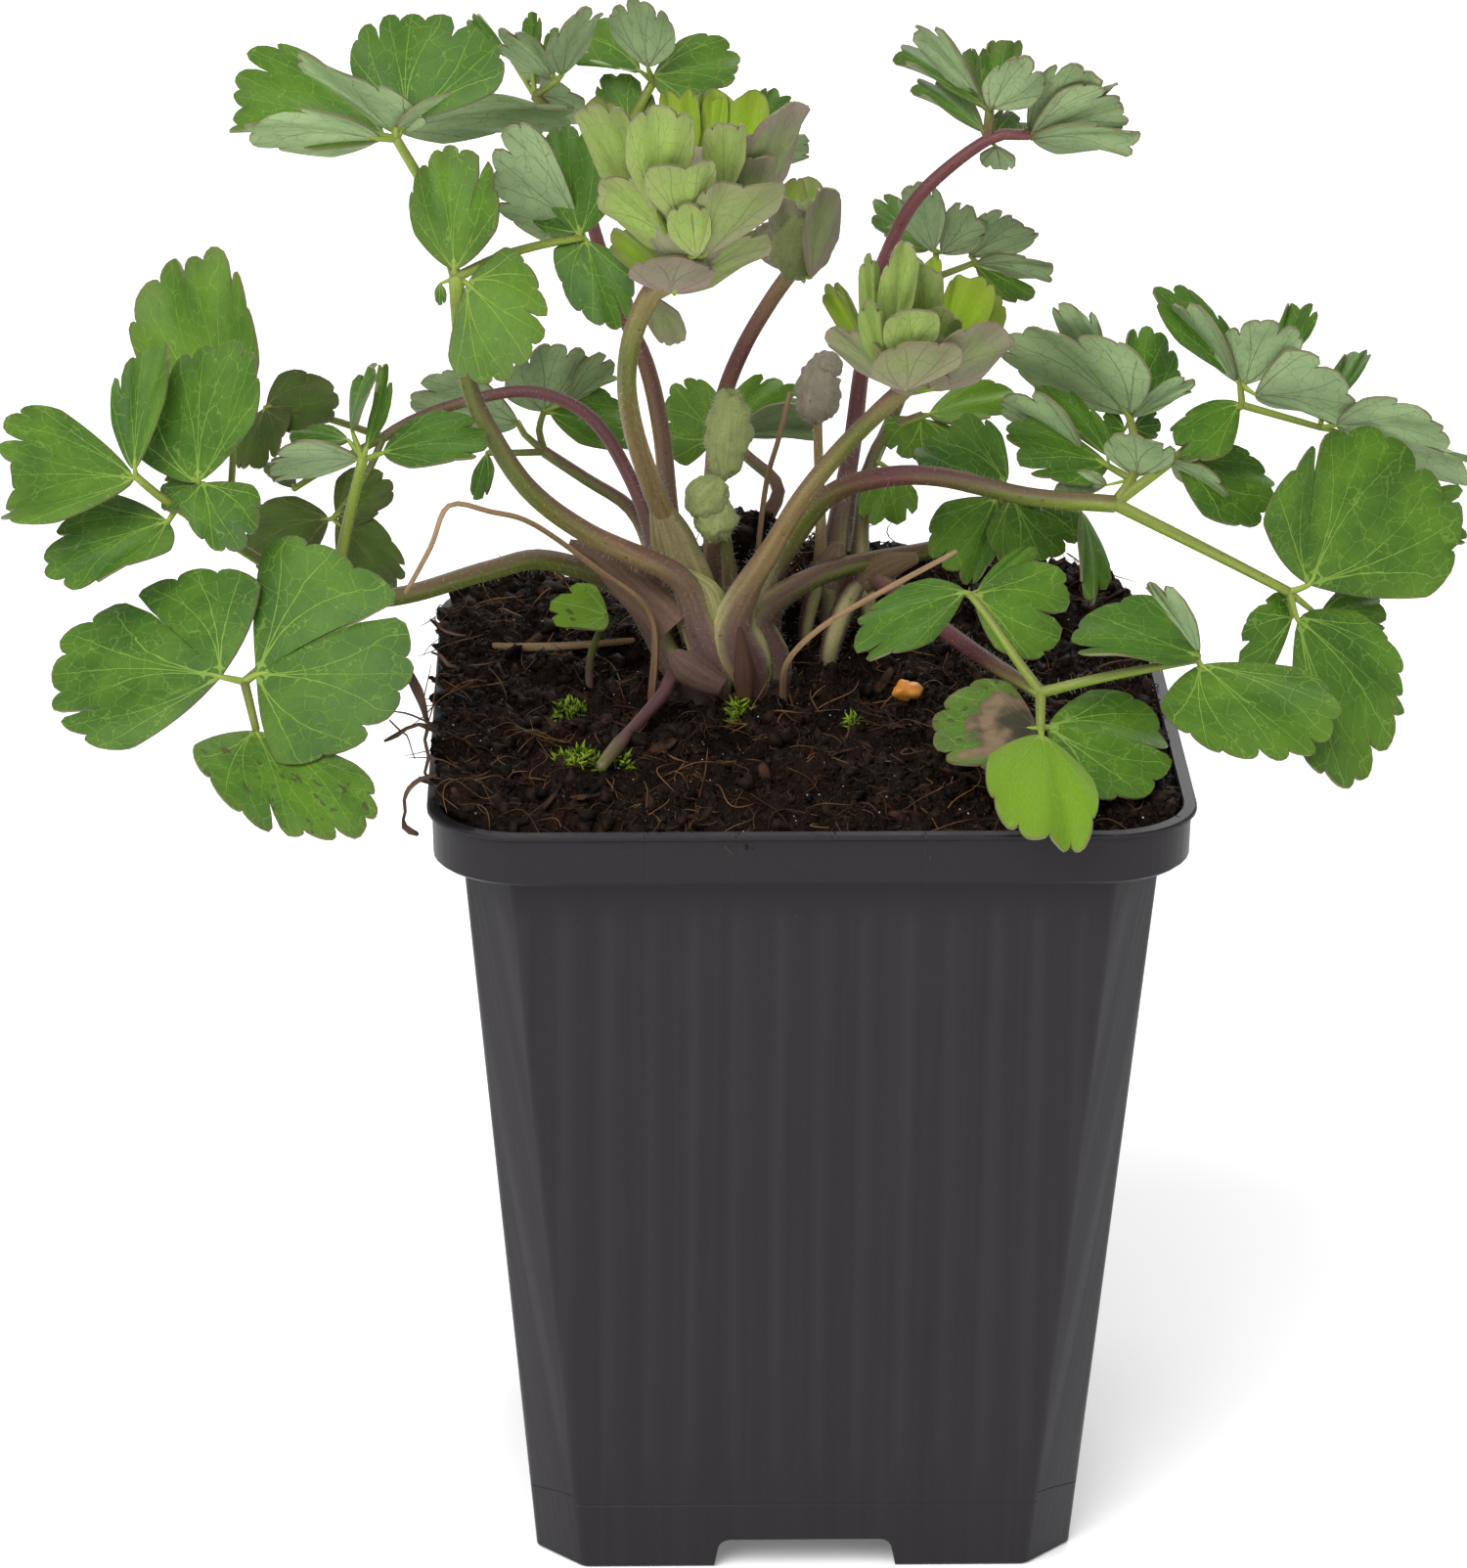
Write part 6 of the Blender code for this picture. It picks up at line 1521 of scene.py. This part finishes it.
# %% Grow: rosette right
grow(
    "rosette_right", foot=(-6.5, -2.9, 1.6), radii=(2.1, 1.8, 1.5, 1.4, 1.3, 1.5), lime=0.45, purple=0.9,
    stem=[
        (750, 645, -3), (762, 605, -4), (790, 560, -5.7), (820, 510, -9.2), (860, 460, -13.4),
        (900, 420, -16.5), (926, 396, -17), (935, 376, -17),
    ],
    sprays=[
        [(926, 396, -17), 0.8,
         ((912, 393, -19), (848, 337), (866, 374), (897, 358), (-30, 150), "121", (0.3, 0.9)),
         ((952, 398, -19), (1027, 335), (1008, 388), (975, 346), (20, 150), "131", (0.1, 1.1)),
         ((882, 352, -17), (846, 293), (851, 326), (870, 318), (-30, 40), "111")],
        [(935, 376, -17), 0.9,
         ((892, 352, -17), (888, 262), (876, 308), (897, 300), (-20, 160), "111", (0.9, 0.3)),
         ((912, 352, -19), (926, 250), (897, 308), (937, 300), (0, 160), "121", (0.9, 0.4)),
         ((940, 344, -16), (942, 274), (924, 312), (966, 304), (0, 155), "21", (0.8, 0.5), (0.12,)),
         ((926, 398, -21), (935, 350), (893, 376), (986, 364), (0, 155), "222", (0.3, 0.8)),
         ((926, 372, -21), (930, 318), (904, 342), (962, 336), (0, 155), "21", (0.9, 0.4), (0.12,)),
         ((962, 372, -14), (990, 283), (962, 312), (1014, 320), (10, 30), "121", (0.9, 0.6))],
        [None, 0,
         ((912, 397, -19), (972, 392), (940, 380), (936, 405), (0, 145), "121", (-0.2, 1.2)),
         ((884, 350, -15), (856, 292), (862, 320), (874, 314), (-20, 40), "111"),
         ((905, 382, -19), (890, 310), (879, 345), (908, 342), (0, 155), "111", (0.9, 0.3)),
         ((952, 364, -17), (964, 316), (944, 332), (984, 345), (5, 155), "111", (0.8, 0.5)),
         ((984, 380, -15), (1018, 304), (1000, 335), (1022, 348), (30, 50), "111"),
         ((938, 352, -12), (945, 270), (928, 288), (962, 284), (0, 40), "121", (1, 0.4))],
    ],
    lumps=[((932, 356, -16.5), (5.2, 3.8, 4.4))],
    **ROSETTE,
)

# %% Grow: furled leaf
grow(
    "furled_leaf", foot=(-8.6, 5.6, 1.3), radii=(1.5, 1.3, 1.3, 1.2, 1.2), slot="young_leaf",
    faces=(YOUNG, YOUNG_UNDER), lime=0.0, purple=1.2, bud=(0.16, 0.185, 0.06), tints=(TAN, PLUM, TAN),
    scallop=0.022,
    stem=[
        (733, 600, 10), (728, 520, 9.9), (732, 450, 10.8), (742, 400, 11.1), (762, 352, 10.9), (790, 305, 10),
        (814, 272, 9),
    ],
    sprays=[
        [(814, 272, 9), 0.8,
         ((815, 285, 6), (803, 205), (787, 243), (836, 245), (0, 160), "111"),
         ((829, 284, 2.4), (842, 196), (826, 240), (863, 234), (30, 155)),
         ((806, 262, 10), (800, 192), (790, 214), (826, 200), (-10, 40)),
         ((800, 274, 11), (770, 238), (776, 262), (794, 236), (-30, 150), "111"),
         ((822, 286, 8), (820, 186), (802, 232), (850, 226), (0, 60))],
    ],
    lumps=[((820, 246, 5), (4.2, 3.4, 5), 14)],
)

# %% [markdown]
# Two shoots are still closed and woolly, and a weed's seed leaf lies on the peat.

# %% Grow: bud shoot front
grow(
    "bud_shoot_front", foot=(-7.7, 1.2, 1.1), radii=(1.1, 0.9, 0.9), slot="bud", bud=(0.27, 0.31, 0.11),
    tints=(OLIVE, OLIVE),
    stem=[(748, 612, 4), (744, 570, 3), (738, 530, 1.5), (734, 500, 1.5), (743, 446, 1.5)],
    lumps=[
        ((744, 444, 1.5), (3, 2.6, 5.6), 4), ((722, 508, 0.5), (3, 2.2, 2.8), 30),
        ((731, 530, 1), (2.9, 2.2, 3), 0),
    ],
)

# %% Grow: bud shoot back
grow(
    "bud_shoot_back", foot=(0.6, 8.6, 1), radii=(1, 0.75, 0.7), slot="bud", bud=(0.25, 0.22, 0.16),
    tints=(TAN, TAN),
    stem=[(838, 580, 10.3), (839, 520, 9.7), (837, 470, 9.7), (836, 430, 9.6)],
    lumps=[((835, 400, 9.8), (3, 2.5, 4.2), 4), ((845, 374, 10), (2, 1.8, 2), 20)],
)

# %% Grow: seedling
grow(
    "seedling", foot=(-26.2, 5, 0.7), radii=(0.5,), slot="young_leaf", lime=0.8, purple=0.0, sheath=0.0,
    tints=(OLIVE, OLIVE),
    stem=[(618, 634, 3.6)],
    sprays=[
        [(618, 630, 3.5), 0.5,
         ((622, 630, 3.5), (560, 630), (592, 598), (600, 646), (-30, 60), "211", (0.7, 0.1, 1.1))],
    ],
)

# %% [markdown]
# The crown is the woody stock at soil level. The stub of last year's stalk lies in front of it, and dry
# papery sheaths of old leaves still clasp the young stems.

# %% The crown
CROWN_HALF = (9.6, 8.2)
RUST, STRAW, BARK = (0.07, 0.03, 0.017), (0.27, 0.17, 0.085), (0.035, 0.018, 0.013)
STRAW_TIP = (0.33, 0.22, 0.12)
HALVINGS = 30
SCALE_THICK, SCALE_BULGE = 0.3, 0.7
SCALE_LANES, SCALE_LANE_WIDE, SCALE_STEP, SCALE_WRAP, SCALE_SET_BACK = 9, 0.9, 1.3, 0.95, 0.4
STUB = ((700, 683, 2.4), (676, 712, 2.1), (650, 741, 1.7), (628, 766, 1.3), (613, 785, 1.1))
STUB_RADII = (2.2, 1.5, 0.95, 0.8, 0.75, 0.9, 0.75)
STUB_TINTS = (
    (0.13, 0.07, 0.06), (0.14, 0.065, 0.065), (0.11, 0.05, 0.055), (0.1, 0.05, 0.05), (0.13, 0.11, 0.04),
)


def on_peat(px, py, above=0.0):
    """The point at a pixel that many mm above the peat."""
    near, far = -LIP_HALF, LIP_HALF
    for _ in range(HALVINGS):
        middle = (near + far) / 2
        point = seen(px, py, middle)
        if point.z > soil_height(point.x, point.y) + above:
            near = middle
        else:
            far = middle
    return point


crown = Growth()
middle = Vector((*CROWN_AT, soil_height(*CROWN_AT) - 2.0))
crown.ball(middle, (CROWN_HALF[0] - 0.3, CROWN_HALF[1] - 0.3, 3.6), 0, BARK, DRY, 0.3, 40, 20)
stub = [Vector((CROWN_AT[0] - 1.0, CROWN_AT[1] - 4.0, soil_height(*CROWN_AT) + 0.8))]
stub += [on_peat(*point) for point in STUB]
crown.tube(smooth_route(stub, 0.8), STUB_RADII, STUB_TINTS, STEM, 16, ridges=STEM_RIDGES)


def sheath_scale(growth, route, widths, tint):
    """A papery scale: a ribbon bent round the stem that it clasps, pointed at its tip."""
    route = seen_route(route, SCALE_STEP)
    lanes, points, flat = SCALE_LANES, [], []
    view = (EYE - route[0]).normalized()
    for i, point in enumerate(route):
        ahead = (route[min(i + 1, len(route) - 1)] - route[max(i - 1, 0)]).normalized()
        side = ahead.cross(view).normalized()
        wide = along_list(widths, i / (len(route) - 1))
        for j in range(lanes):
            a = (j / (lanes - 1) - 0.5) * pi * SCALE_WRAP
            spot = point + side * sin(a) * wide + view * (cos(a) - SCALE_SET_BACK) * wide * SCALE_BULGE
            points.append(spot + Vector((0, 0, 0.25 * noise.noise(spot * 0.5))))
            flat.append((j * SCALE_LANE_WIDE, i * SCALE_STEP))
    faces = []
    for i in range(len(route) - 1):
        for j in range(lanes - 1):
            corner = i * lanes + j
            faces.append(([corner, corner + 1, corner + lanes + 1, corner + lanes], None))
    last = (len(route) - 1) * lanes
    outline = list(range(lanes)) + [(i + 1) * lanes + lanes - 1 for i in range(len(route) - 1)]
    outline += list(range(last + lanes - 2, last - 1, -1)) + [i * lanes for i in range(len(route) - 2, 0, -1)]
    rim = [(2, 0, 0)] * len(points)
    growth.sheet(points, faces, outline, DRY, DRY, SCALE_THICK, rim, (0, 0, 0), flat, tint)


SCALES = (  # the route in pixels and depths, half the width along it, and the colour
    ([(690, 640, -3.5), (650, 600, -2), (612, 568, -0.5), (582, 556, 0)], (3.0, 2.6, 2.0, 0.4),
     (0.13, 0.075, 0.05)),
    ([(762, 712, -7), (761, 690, -7.2), (759, 665, -7), (756, 640, -6.5)], (0.9, 1.2, 0.8, 0.15), RUST),
    ([(738, 702, -7), (718, 692, -7.3), (700, 680, -7.3), (688, 668, -7)], (1.2, 1.9, 2.0, 0.7),
     (0.11, 0.062, 0.048)),
    ([(722, 650, -1), (706, 604, 0), (690, 560, 0), (669, 500, -3)], (2.4, 3.1, 2.6, 0.6), (0.26, 0.22, 0.1)),
    ([(724, 655, -3), (728, 628, -3), (720, 602, -2.6), (702, 585, -2.4)], (1.5, 2.2, 1.8, 0.4),
     (0.26, 0.26, 0.1)),
    ([(842, 600, 6), (850, 578, 5.5), (858, 556, 5)], (2.0, 2.2, 0.5), (0.2, 0.14, 0.09)),
    ([(880, 596, 5), (905, 580, 3.5), (938, 570, 1.5)], (1.5, 1.6, 0.5), (0.14, 0.09, 0.045)),
)
for row in SCALES:
    sheath_scale(crown, *row)
settle(crown.piece("crown_fine"), "crown", "crown")

# %% The dry stalks
STRAW_FOOT, STRAW_THICK, STRAW_THIN, STRAW_RIDGES = 0.6, 0.34, 0.3, 0.15


def dry_stalk(name, x, y, points):
    growth = Growth()
    ground = soil_height(x, y)
    route = [Vector((x, y, ground - FOOT_DEPTH)), Vector((x, y, ground + 1.0))]
    route = smooth_route(route + [seen(*point) for point in points], SHORT_STEP)
    widths = (STRAW_FOOT, STRAW_THICK, STRAW_THICK, STRAW_THIN)
    growth.tube(route, widths, (RUST, STRAW, STRAW, STRAW_TIP), DRY, 8, ridges=STRAW_RIDGES)
    settle(growth.piece(f"{name}_fine"), "straw", name)


dry_stalk("dry_stalk_left", -18.6, -5.8, [
    (666, 630, -6), (610, 582, -11), (545, 536, -17), (500, 523, -21), (459, 517, -23), (440, 560, -24),
    (415, 606, -24),
])
dry_stalk("dry_stalk_back", -6.0, 13.0, [(782, 505, 14), (796, 450, 13), (808, 402, 12)])
dry_stalk("dry_stalk_right", -2.6, -6.8, [(806, 676, -10), (842, 640, -11), (900, 606, -11), (978, 564, -10)])
low = Growth()
route = smooth_route([on_peat(470, 660, 1.0), on_peat(560, 661, 1.15), on_peat(648, 655, 1.1)], SHORT_STEP)
low.tube(route, (0.45, 0.5, 0.4), (STRAW, STRAW_TIP, STRAW), DRY, 8, ridges=STRAW_RIDGES)
settle(low.piece("dry_stalk_low_fine"), "straw", "dry_stalk_low")

# %% The fertiliser bead
resin = Finish("bead_resin", Roughness=0.4)
blotch = resin.noise(resin.place(), 0.9)
resin_tint = resin.mix(blotch, (0.42, 0.12, 0.012), (0.8, 0.34, 0.05))
bead = Growth()
bead_finish = resin.wear(resin_tint, height=blotch)
bead.ball(on_peat(927, 706, 1.9), (1.7, 1.4, 1.25), 0, (0.6, 0.25, 0.03), bead_finish, 0.35, 24, 16)
settle(bead.piece("fertiliser_bead_fine"), "bead", "fertiliser_bead")

# %% [markdown]
# What repeats is scattered with Geometry Nodes: crumbs, fibres and moss on the peat, and the down on stems
# and buds. One tree does all of them. It takes the ground as a collection, keeps the faces that wear a given
# material, puts points on them, and stands one of a few small shapes on each. The instances are then realised
# and given their finish, so what comes out is a plain mesh.

# %% The scatter tree
def scatter_tree():
    """The tree, and the identifier of each of its inputs."""
    tree = bpy.data.node_groups.new("scatter", "GeometryNodeTree")
    kinds = {
        "Ground": "Collection", "Where": "Material", "Things": "Collection", "Density": "Float",
        "Smallest": "Float", "Largest": "Float", "Tilt": "Float", "Seed": "Int", "Finish": "Material",
    }
    sockets = {
        name: tree.interface.new_socket(name, in_out="INPUT", socket_type=f"NodeSocket{kind}")
        for name, kind in kinds.items()
    }
    tree.interface.new_socket("Geometry", in_out="OUTPUT", socket_type="NodeSocketGeometry")
    graph = Graph(tree)
    entry = tree.nodes.new("NodeGroupInput")
    given = {name: Wire(graph, entry.outputs[name]) for name in kinds}
    ground = graph.node("GeometryNodeCollectionInfo", {}, {"Collection": given["Ground"]})
    ground = graph.node("GeometryNodeRealizeInstances", {}, {"Geometry": ground})
    where = graph.node("GeometryNodeMaterialSelection", {}, {"Material": given["Where"]})
    spread = {"Mesh": ground, "Selection": where, "Density": given["Density"], "Seed": given["Seed"]}
    points = graph.node("GeometryNodeDistributePointsOnFaces", {"distribute_method": "RANDOM"}, spread)
    upright = Wire(graph, points.socket.node.outputs["Rotation"])
    things = graph.node(
        "GeometryNodeCollectionInfo", {},
        {"Collection": given["Things"], "Separate Children": True, "Reset Children": True},
    )
    tilt = graph.node("ShaderNodeCombineXYZ", {}, {"X": given["Tilt"], "Y": given["Tilt"], "Z": pi})
    back = graph.scaled(tilt, -1.0)
    turn = graph.node(
        "FunctionNodeRandomValue", {"data_type": "FLOAT_VECTOR"}, {0: back, 1: tilt, "Seed": given["Seed"]}
    )
    turn = graph.node("FunctionNodeEulerToRotation", {}, {0: turn})
    turned = graph.node(
        "FunctionNodeRotateRotation", {"rotation_space": "LOCAL"}, {"Rotation": upright, "Rotate By": turn}
    )
    size = graph.node(
        "FunctionNodeRandomValue", {"data_type": "FLOAT"},
        {2: given["Smallest"], 3: given["Largest"], "Seed": given["Seed"] + 1}, 1,
    )
    placed = graph.node(
        "GeometryNodeInstanceOnPoints", {},
        {"Points": points, "Instance": things, "Pick Instance": True, "Rotation": turned, "Scale": size},
    )
    placed = graph.node("GeometryNodeRealizeInstances", {}, {"Geometry": placed})
    placed = graph.node("GeometryNodeSetMaterial", {}, {"Geometry": placed, "Material": given["Finish"]})
    leave = tree.nodes.new("NodeGroupOutput")
    tree.links.new(placed.socket, leave.inputs["Geometry"])
    return tree, {name: socket.identifier for name, socket in sockets.items()}


SCATTER, SCATTER_INPUT = scatter_tree()
CM2_IN_M2 = 1e4


def gathered(name, objects):
    """A collection that holds copies of some objects, for the scatter tree to read."""
    collection = bpy.data.collections.new(name)
    bpy.context.scene.collection.children.link(collection)
    for thing in objects:
        copy = bpy.data.objects.new(f"{name}_copy", thing.data)
        collection.objects.link(copy)
    return collection


def scatter(name, slot, ground, where, things, density, sizes, tilt, seed, finish):
    """Density is in things for each square centimetre, and sizes scale shapes that are 1 mm large."""
    holder = bpy.data.objects.new(name, bpy.data.meshes.new(name))
    bpy.context.scene.collection.objects.link(holder)
    grounds, shapes = gathered("ground", ground), gathered("shapes", things)
    modifier = holder.modifiers.new("scatter", "NODES")
    modifier.node_group = SCATTER
    given = {
        "Ground": grounds, "Where": where, "Things": shapes, "Density": density * CM2_IN_M2,
        "Smallest": sizes[0], "Largest": sizes[1], "Tilt": radians(tilt), "Seed": seed, "Finish": finish,
    }
    for key, value in given.items():
        modifier[SCATTER_INPUT[key]] = value
    piece = plain(holder)
    for collection in (grounds, shapes):
        for copy in list(collection.objects):
            bpy.data.objects.remove(copy)
        bpy.data.collections.remove(collection)
    settle(piece, slot)


# %% The small shapes
def small_shape(name, build):
    mesh = bpy.data.meshes.new(name)
    work = bmesh.new()
    build(work)
    work.to_mesh(mesh)
    work.free()
    mesh.shade_smooth()
    return bpy.data.objects.new(name, mesh)


def crumb_shape(seed, subdivisions=1, wide=1.0, high=0.75):
    """A lump with a diameter of about 1 mm, stretched along X and flattened."""

    def build(work):
        bmesh.ops.create_icosphere(work, subdivisions=subdivisions, radius=0.5 * MM)
        for v in work.verts:
            v.co *= 1 + 0.9 * noise.noise(v.co / MM * 2.1 + Vector((seed * 7.0, 0, 0)))
            v.co.x *= wide
            v.co.z *= high

    return small_shape(f"crumb_{seed}", build)


def strand_shape(name, seed, length, thick, bend, sides=3, steps=9):
    """A thin bent strand that lies along X."""
    chance = random.Random(seed)
    drift = [chance.uniform(-bend, bend) for _ in range(4)]

    def spot(t):
        y = drift[0] * sin(pi * t) + drift[1] * sin(2 * pi * t)
        z = abs(drift[2]) * 0.35 * sin(pi * t) + drift[3] * 0.1 * sin(3 * pi * t)
        return Vector(((t - 0.5) * length, y * length, z * length))

    def build(work):
        rows = []
        for k in range(steps + 1):
            t = k / steps
            wide = thick * (1 - 0.6 * abs(2 * t - 1) ** 3)
            ring = []
            for j in range(sides):
                a = 2 * pi * j / sides
                ring.append(work.verts.new((spot(t) + Vector((0, cos(a) * wide, sin(a) * wide))) * MM))
            rows.append(ring)
        for low, high in zip(rows, rows[1:]):
            for j in range(sides):
                work.faces.new((low[j], high[j], high[(j + 1) % sides], low[(j + 1) % sides]))
        work.faces.new(rows[0])
        work.faces.new(rows[-1][::-1])

    return small_shape(name, build)


def spike_shape(name, height, base, lean, sides=3):
    """A thin upright spike that starts a little under the surface."""

    def build(work):
        turns = [2 * pi * j / sides for j in range(sides)]
        ring = [work.verts.new(Vector((base * cos(a), base * sin(a), -0.1)) * MM) for a in turns]
        waist = Vector((lean * 0.35, 0, height * 0.55)) * MM
        middle = [work.verts.new((v.co.x * 0.7 + waist.x, v.co.y * 0.7, waist.z)) for v in ring]
        tip = work.verts.new(Vector((lean, 0, height)) * MM)
        for j in range(sides):
            i = (j + 1) % sides
            work.faces.new((ring[j], ring[i], middle[i], middle[j]))
            work.faces.new((middle[j], middle[i], tip))
        work.faces.new(ring[::-1])

    return small_shape(name, build)


# %% Crumbs and fibres on the peat
def mottled(name, first, second, scale, roughness, shine=0.08):
    finish = Finish(name, Roughness=roughness, Specular_IOR_Level=shine)
    tint = finish.mix(finish.noise(finish.place(), scale, 2.0).rise(0.35, 0.65), first, second)
    return finish.wear(tint, height=finish.noise(finish.place(), 3.0), depth=0.15)


FINISHES = {  # two colours, the size of their patches, the roughness, and the shine where it isn't dull
    "peat_crumbs": ((0.002, 0.0012, 0.0008), (0.016, 0.008, 0.005), 0.5, 0.6),
    "peat_fibres": ((0.01, 0.005, 0.003), (0.09, 0.043, 0.02), 0.22, 0.7),
    "fine_roots": ((0.035, 0.018, 0.008), (0.2, 0.105, 0.045), 0.12, 0.7),
    "bark_chips": ((0.008, 0.005, 0.004), (0.045, 0.022, 0.013), 0.5, 0.75),
    "sand_grains": ((0.3, 0.27, 0.22), (0.6, 0.56, 0.5), 1.0, 0.4, 0.5),
}
finishes = {name: mottled(name, *row) for name, row in FINISHES.items()}
finishes["peat_clods"] = finishes["peat_crumbs"]
crumbs = [crumb_shape(k) for k in range(5)]
chips = [crumb_shape(k, 2, 2.6, 0.75 * 0.35) for k in range(10, 14)]
fibres = [strand_shape(f"fibre_{k}", k, 1.0, 0.017, 0.2) for k in range(7)]
roots = [strand_shape(f"root_{k}", 40 + k, 1.0, 0.0095, 0.24, 4, 14) for k in range(6)]
ON_PEAT = (  # name, shapes, how many, sizes, tilt in degrees, seed
    ("peat_crumbs", crumbs, 100, (0.15, 0.95), 180, 3),
    ("peat_clods", crumbs, 7, (1.0, 3.0), 180, 13),
    ("sand_grains", crumbs, 6, (0.08, 0.3), 180, 17),
    ("bark_chips", chips, 2, (0.6, 2.0), 30, 5),
    ("peat_fibres", fibres, 17, (1.2, 5.5), 25, 8),
    ("fine_roots", roots, 3.6, (4.0, 11.0), 9, 21),
)
for name, *row in ON_PEAT:
    scatter(name, "soil", [peat], PEAT_TOP, *row, finishes[name])

# %% Moss
moss_finish = mottled("moss", (0.03, 0.06, 0.005), (0.2, 0.28, 0.02), 0.9, 0.7)
MOSS = (  # the middle's pixel, and half the width and the depth in mm
    (594, 788, 3.0, 3.4), (584, 728, 1.8, 2.6), (757, 732, 1.2, 2.4), (636, 780, 0.9, 1.2),
    (872, 740, 0.7, 1.2),
)
MOSS_CELLS, MOSS_RISE = 8, 0.8
patches = []
for px, py, wide, deep in MOSS:
    middle = on_peat(px, py)
    spots = []
    for row in range(MOSS_CELLS + 1):
        for column in range(MOSS_CELLS + 1):
            a, b = 2 * column / MOSS_CELLS - 1, 2 * row / MOSS_CELLS - 1
            x, y = middle.x + a * wide * (1 - 0.2 * b * b), middle.y + b * deep * (1 - 0.2 * a * a)
            spots.append((x, y, peat_height(x, y) + MOSS_RISE * (1 - a * a) * (1 - b * b)))
    patch = new_mesh("moss_bed", spots, grid_faces(MOSS_CELLS))
    patch.data.materials.append(moss_finish)
    patches.append(patch)
tufts = [spike_shape(f"moss_{k}", 1.0, 0.16, 0.3 * k - 0.3, 4) for k in range(3)]
scatter("moss", "soil", patches, moss_finish, tufts, 420, (0.5, 1.7), 50, 4, moss_finish)

# %% Down on the stems and buds
down_finish = mottled("down", (0.42, 0.42, 0.35), (0.65, 0.65, 0.58), 0.3, 0.6)
hairs = [spike_shape(f"hair_{k}", 1.0, 0.017, 0.25 * k - 0.25) for k in range(3)]
scatter("stem_down", "leaf", DOWNY, STEM, hairs, 170, (0.35, 0.9), 30, 6, down_finish)
scatter("bud_down", "bud", DOWNY, BUD, hairs, 600, (0.35, 0.8), 35, 9, down_finish)

# %% [markdown]
# Last year's roots and leaf bases have dried and hang over the rim at the left in curled strips.

# %% Curled strips over the rim
STRIPS = (  # the route in pixels and depths, and the radii along it
    ([(418, 690, -31), (426, 706, -31), (432, 722, -31), (436, 738, -31)], (0.9, 1.0, 0.7, 0.4)),
    ([(397, 727, -32), (414, 729, -32), (430, 735, -32), (448, 744, -31)], (0.12, 0.2, 0.2, 0.2)),
    ([(393, 758, -33), (406, 752, -33), (416, 745, -33), (428, 741, -33), (446, 748, -32)],
     (0.25, 0.5, 0.3, 0.5, 0.4)),
    ([(398, 736, -33), (408, 746, -33), (416, 752, -33), (420, 764, -33), (424, 776, -33)],
     (0.15, 0.2, 0.15, 0.12, 0.1)),
    ([(440, 738, -33), (434, 756, -34), (438, 774, -34), (434, 790, -35), (440, 800, -35)],
     (0.4, 0.3, 0.35, 0.3, 0.3)),
    ([(446, 792, -38), (430, 796, -38), (418, 806, -39), (413, 818, -39), (414, 830, -39), (412, 838, -39)],
     (0.3, 0.45, 0.5, 0.45, 0.3, 0.3)),
    ([(412, 838, -39), (413, 845, -39), (419, 850, -39), (427, 853, -39)], (0.3, 0.6, 0.65, 0.4)),
    ([(444, 632, -22), (450, 642, -22), (462, 648, -22), (476, 650, -22)], (0.12, 0.2, 0.2, 0.2)),
    ([(441, 667, -25), (450, 670, -25), (458, 680, -25), (466, 682, -25)], (0.2, 0.35, 0.3, 0.3)),
)
STRIP_SLIM, STRIP_RIDGES = 0.7, 0.2
STRIP_TINTS = (BARK, (0.1, 0.055, 0.035), BARK)
strips = Growth()
for route, radii in STRIPS:
    widths = [STRIP_SLIM * radius for radius in radii]
    strips.tube(seen_route(route, 1.0), widths, STRIP_TINTS, DRY, 6, ridges=STRIP_RIDGES)
settle(strips.piece("curled_strips"), "straw")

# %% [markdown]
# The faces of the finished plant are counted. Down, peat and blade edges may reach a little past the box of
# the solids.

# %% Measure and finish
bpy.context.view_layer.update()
shown = [o for o in bpy.data.objects if o.type == "MESH" and o.visible_get()]
print("faces in all:", sum(len(o.data.polygons) for o in shown))
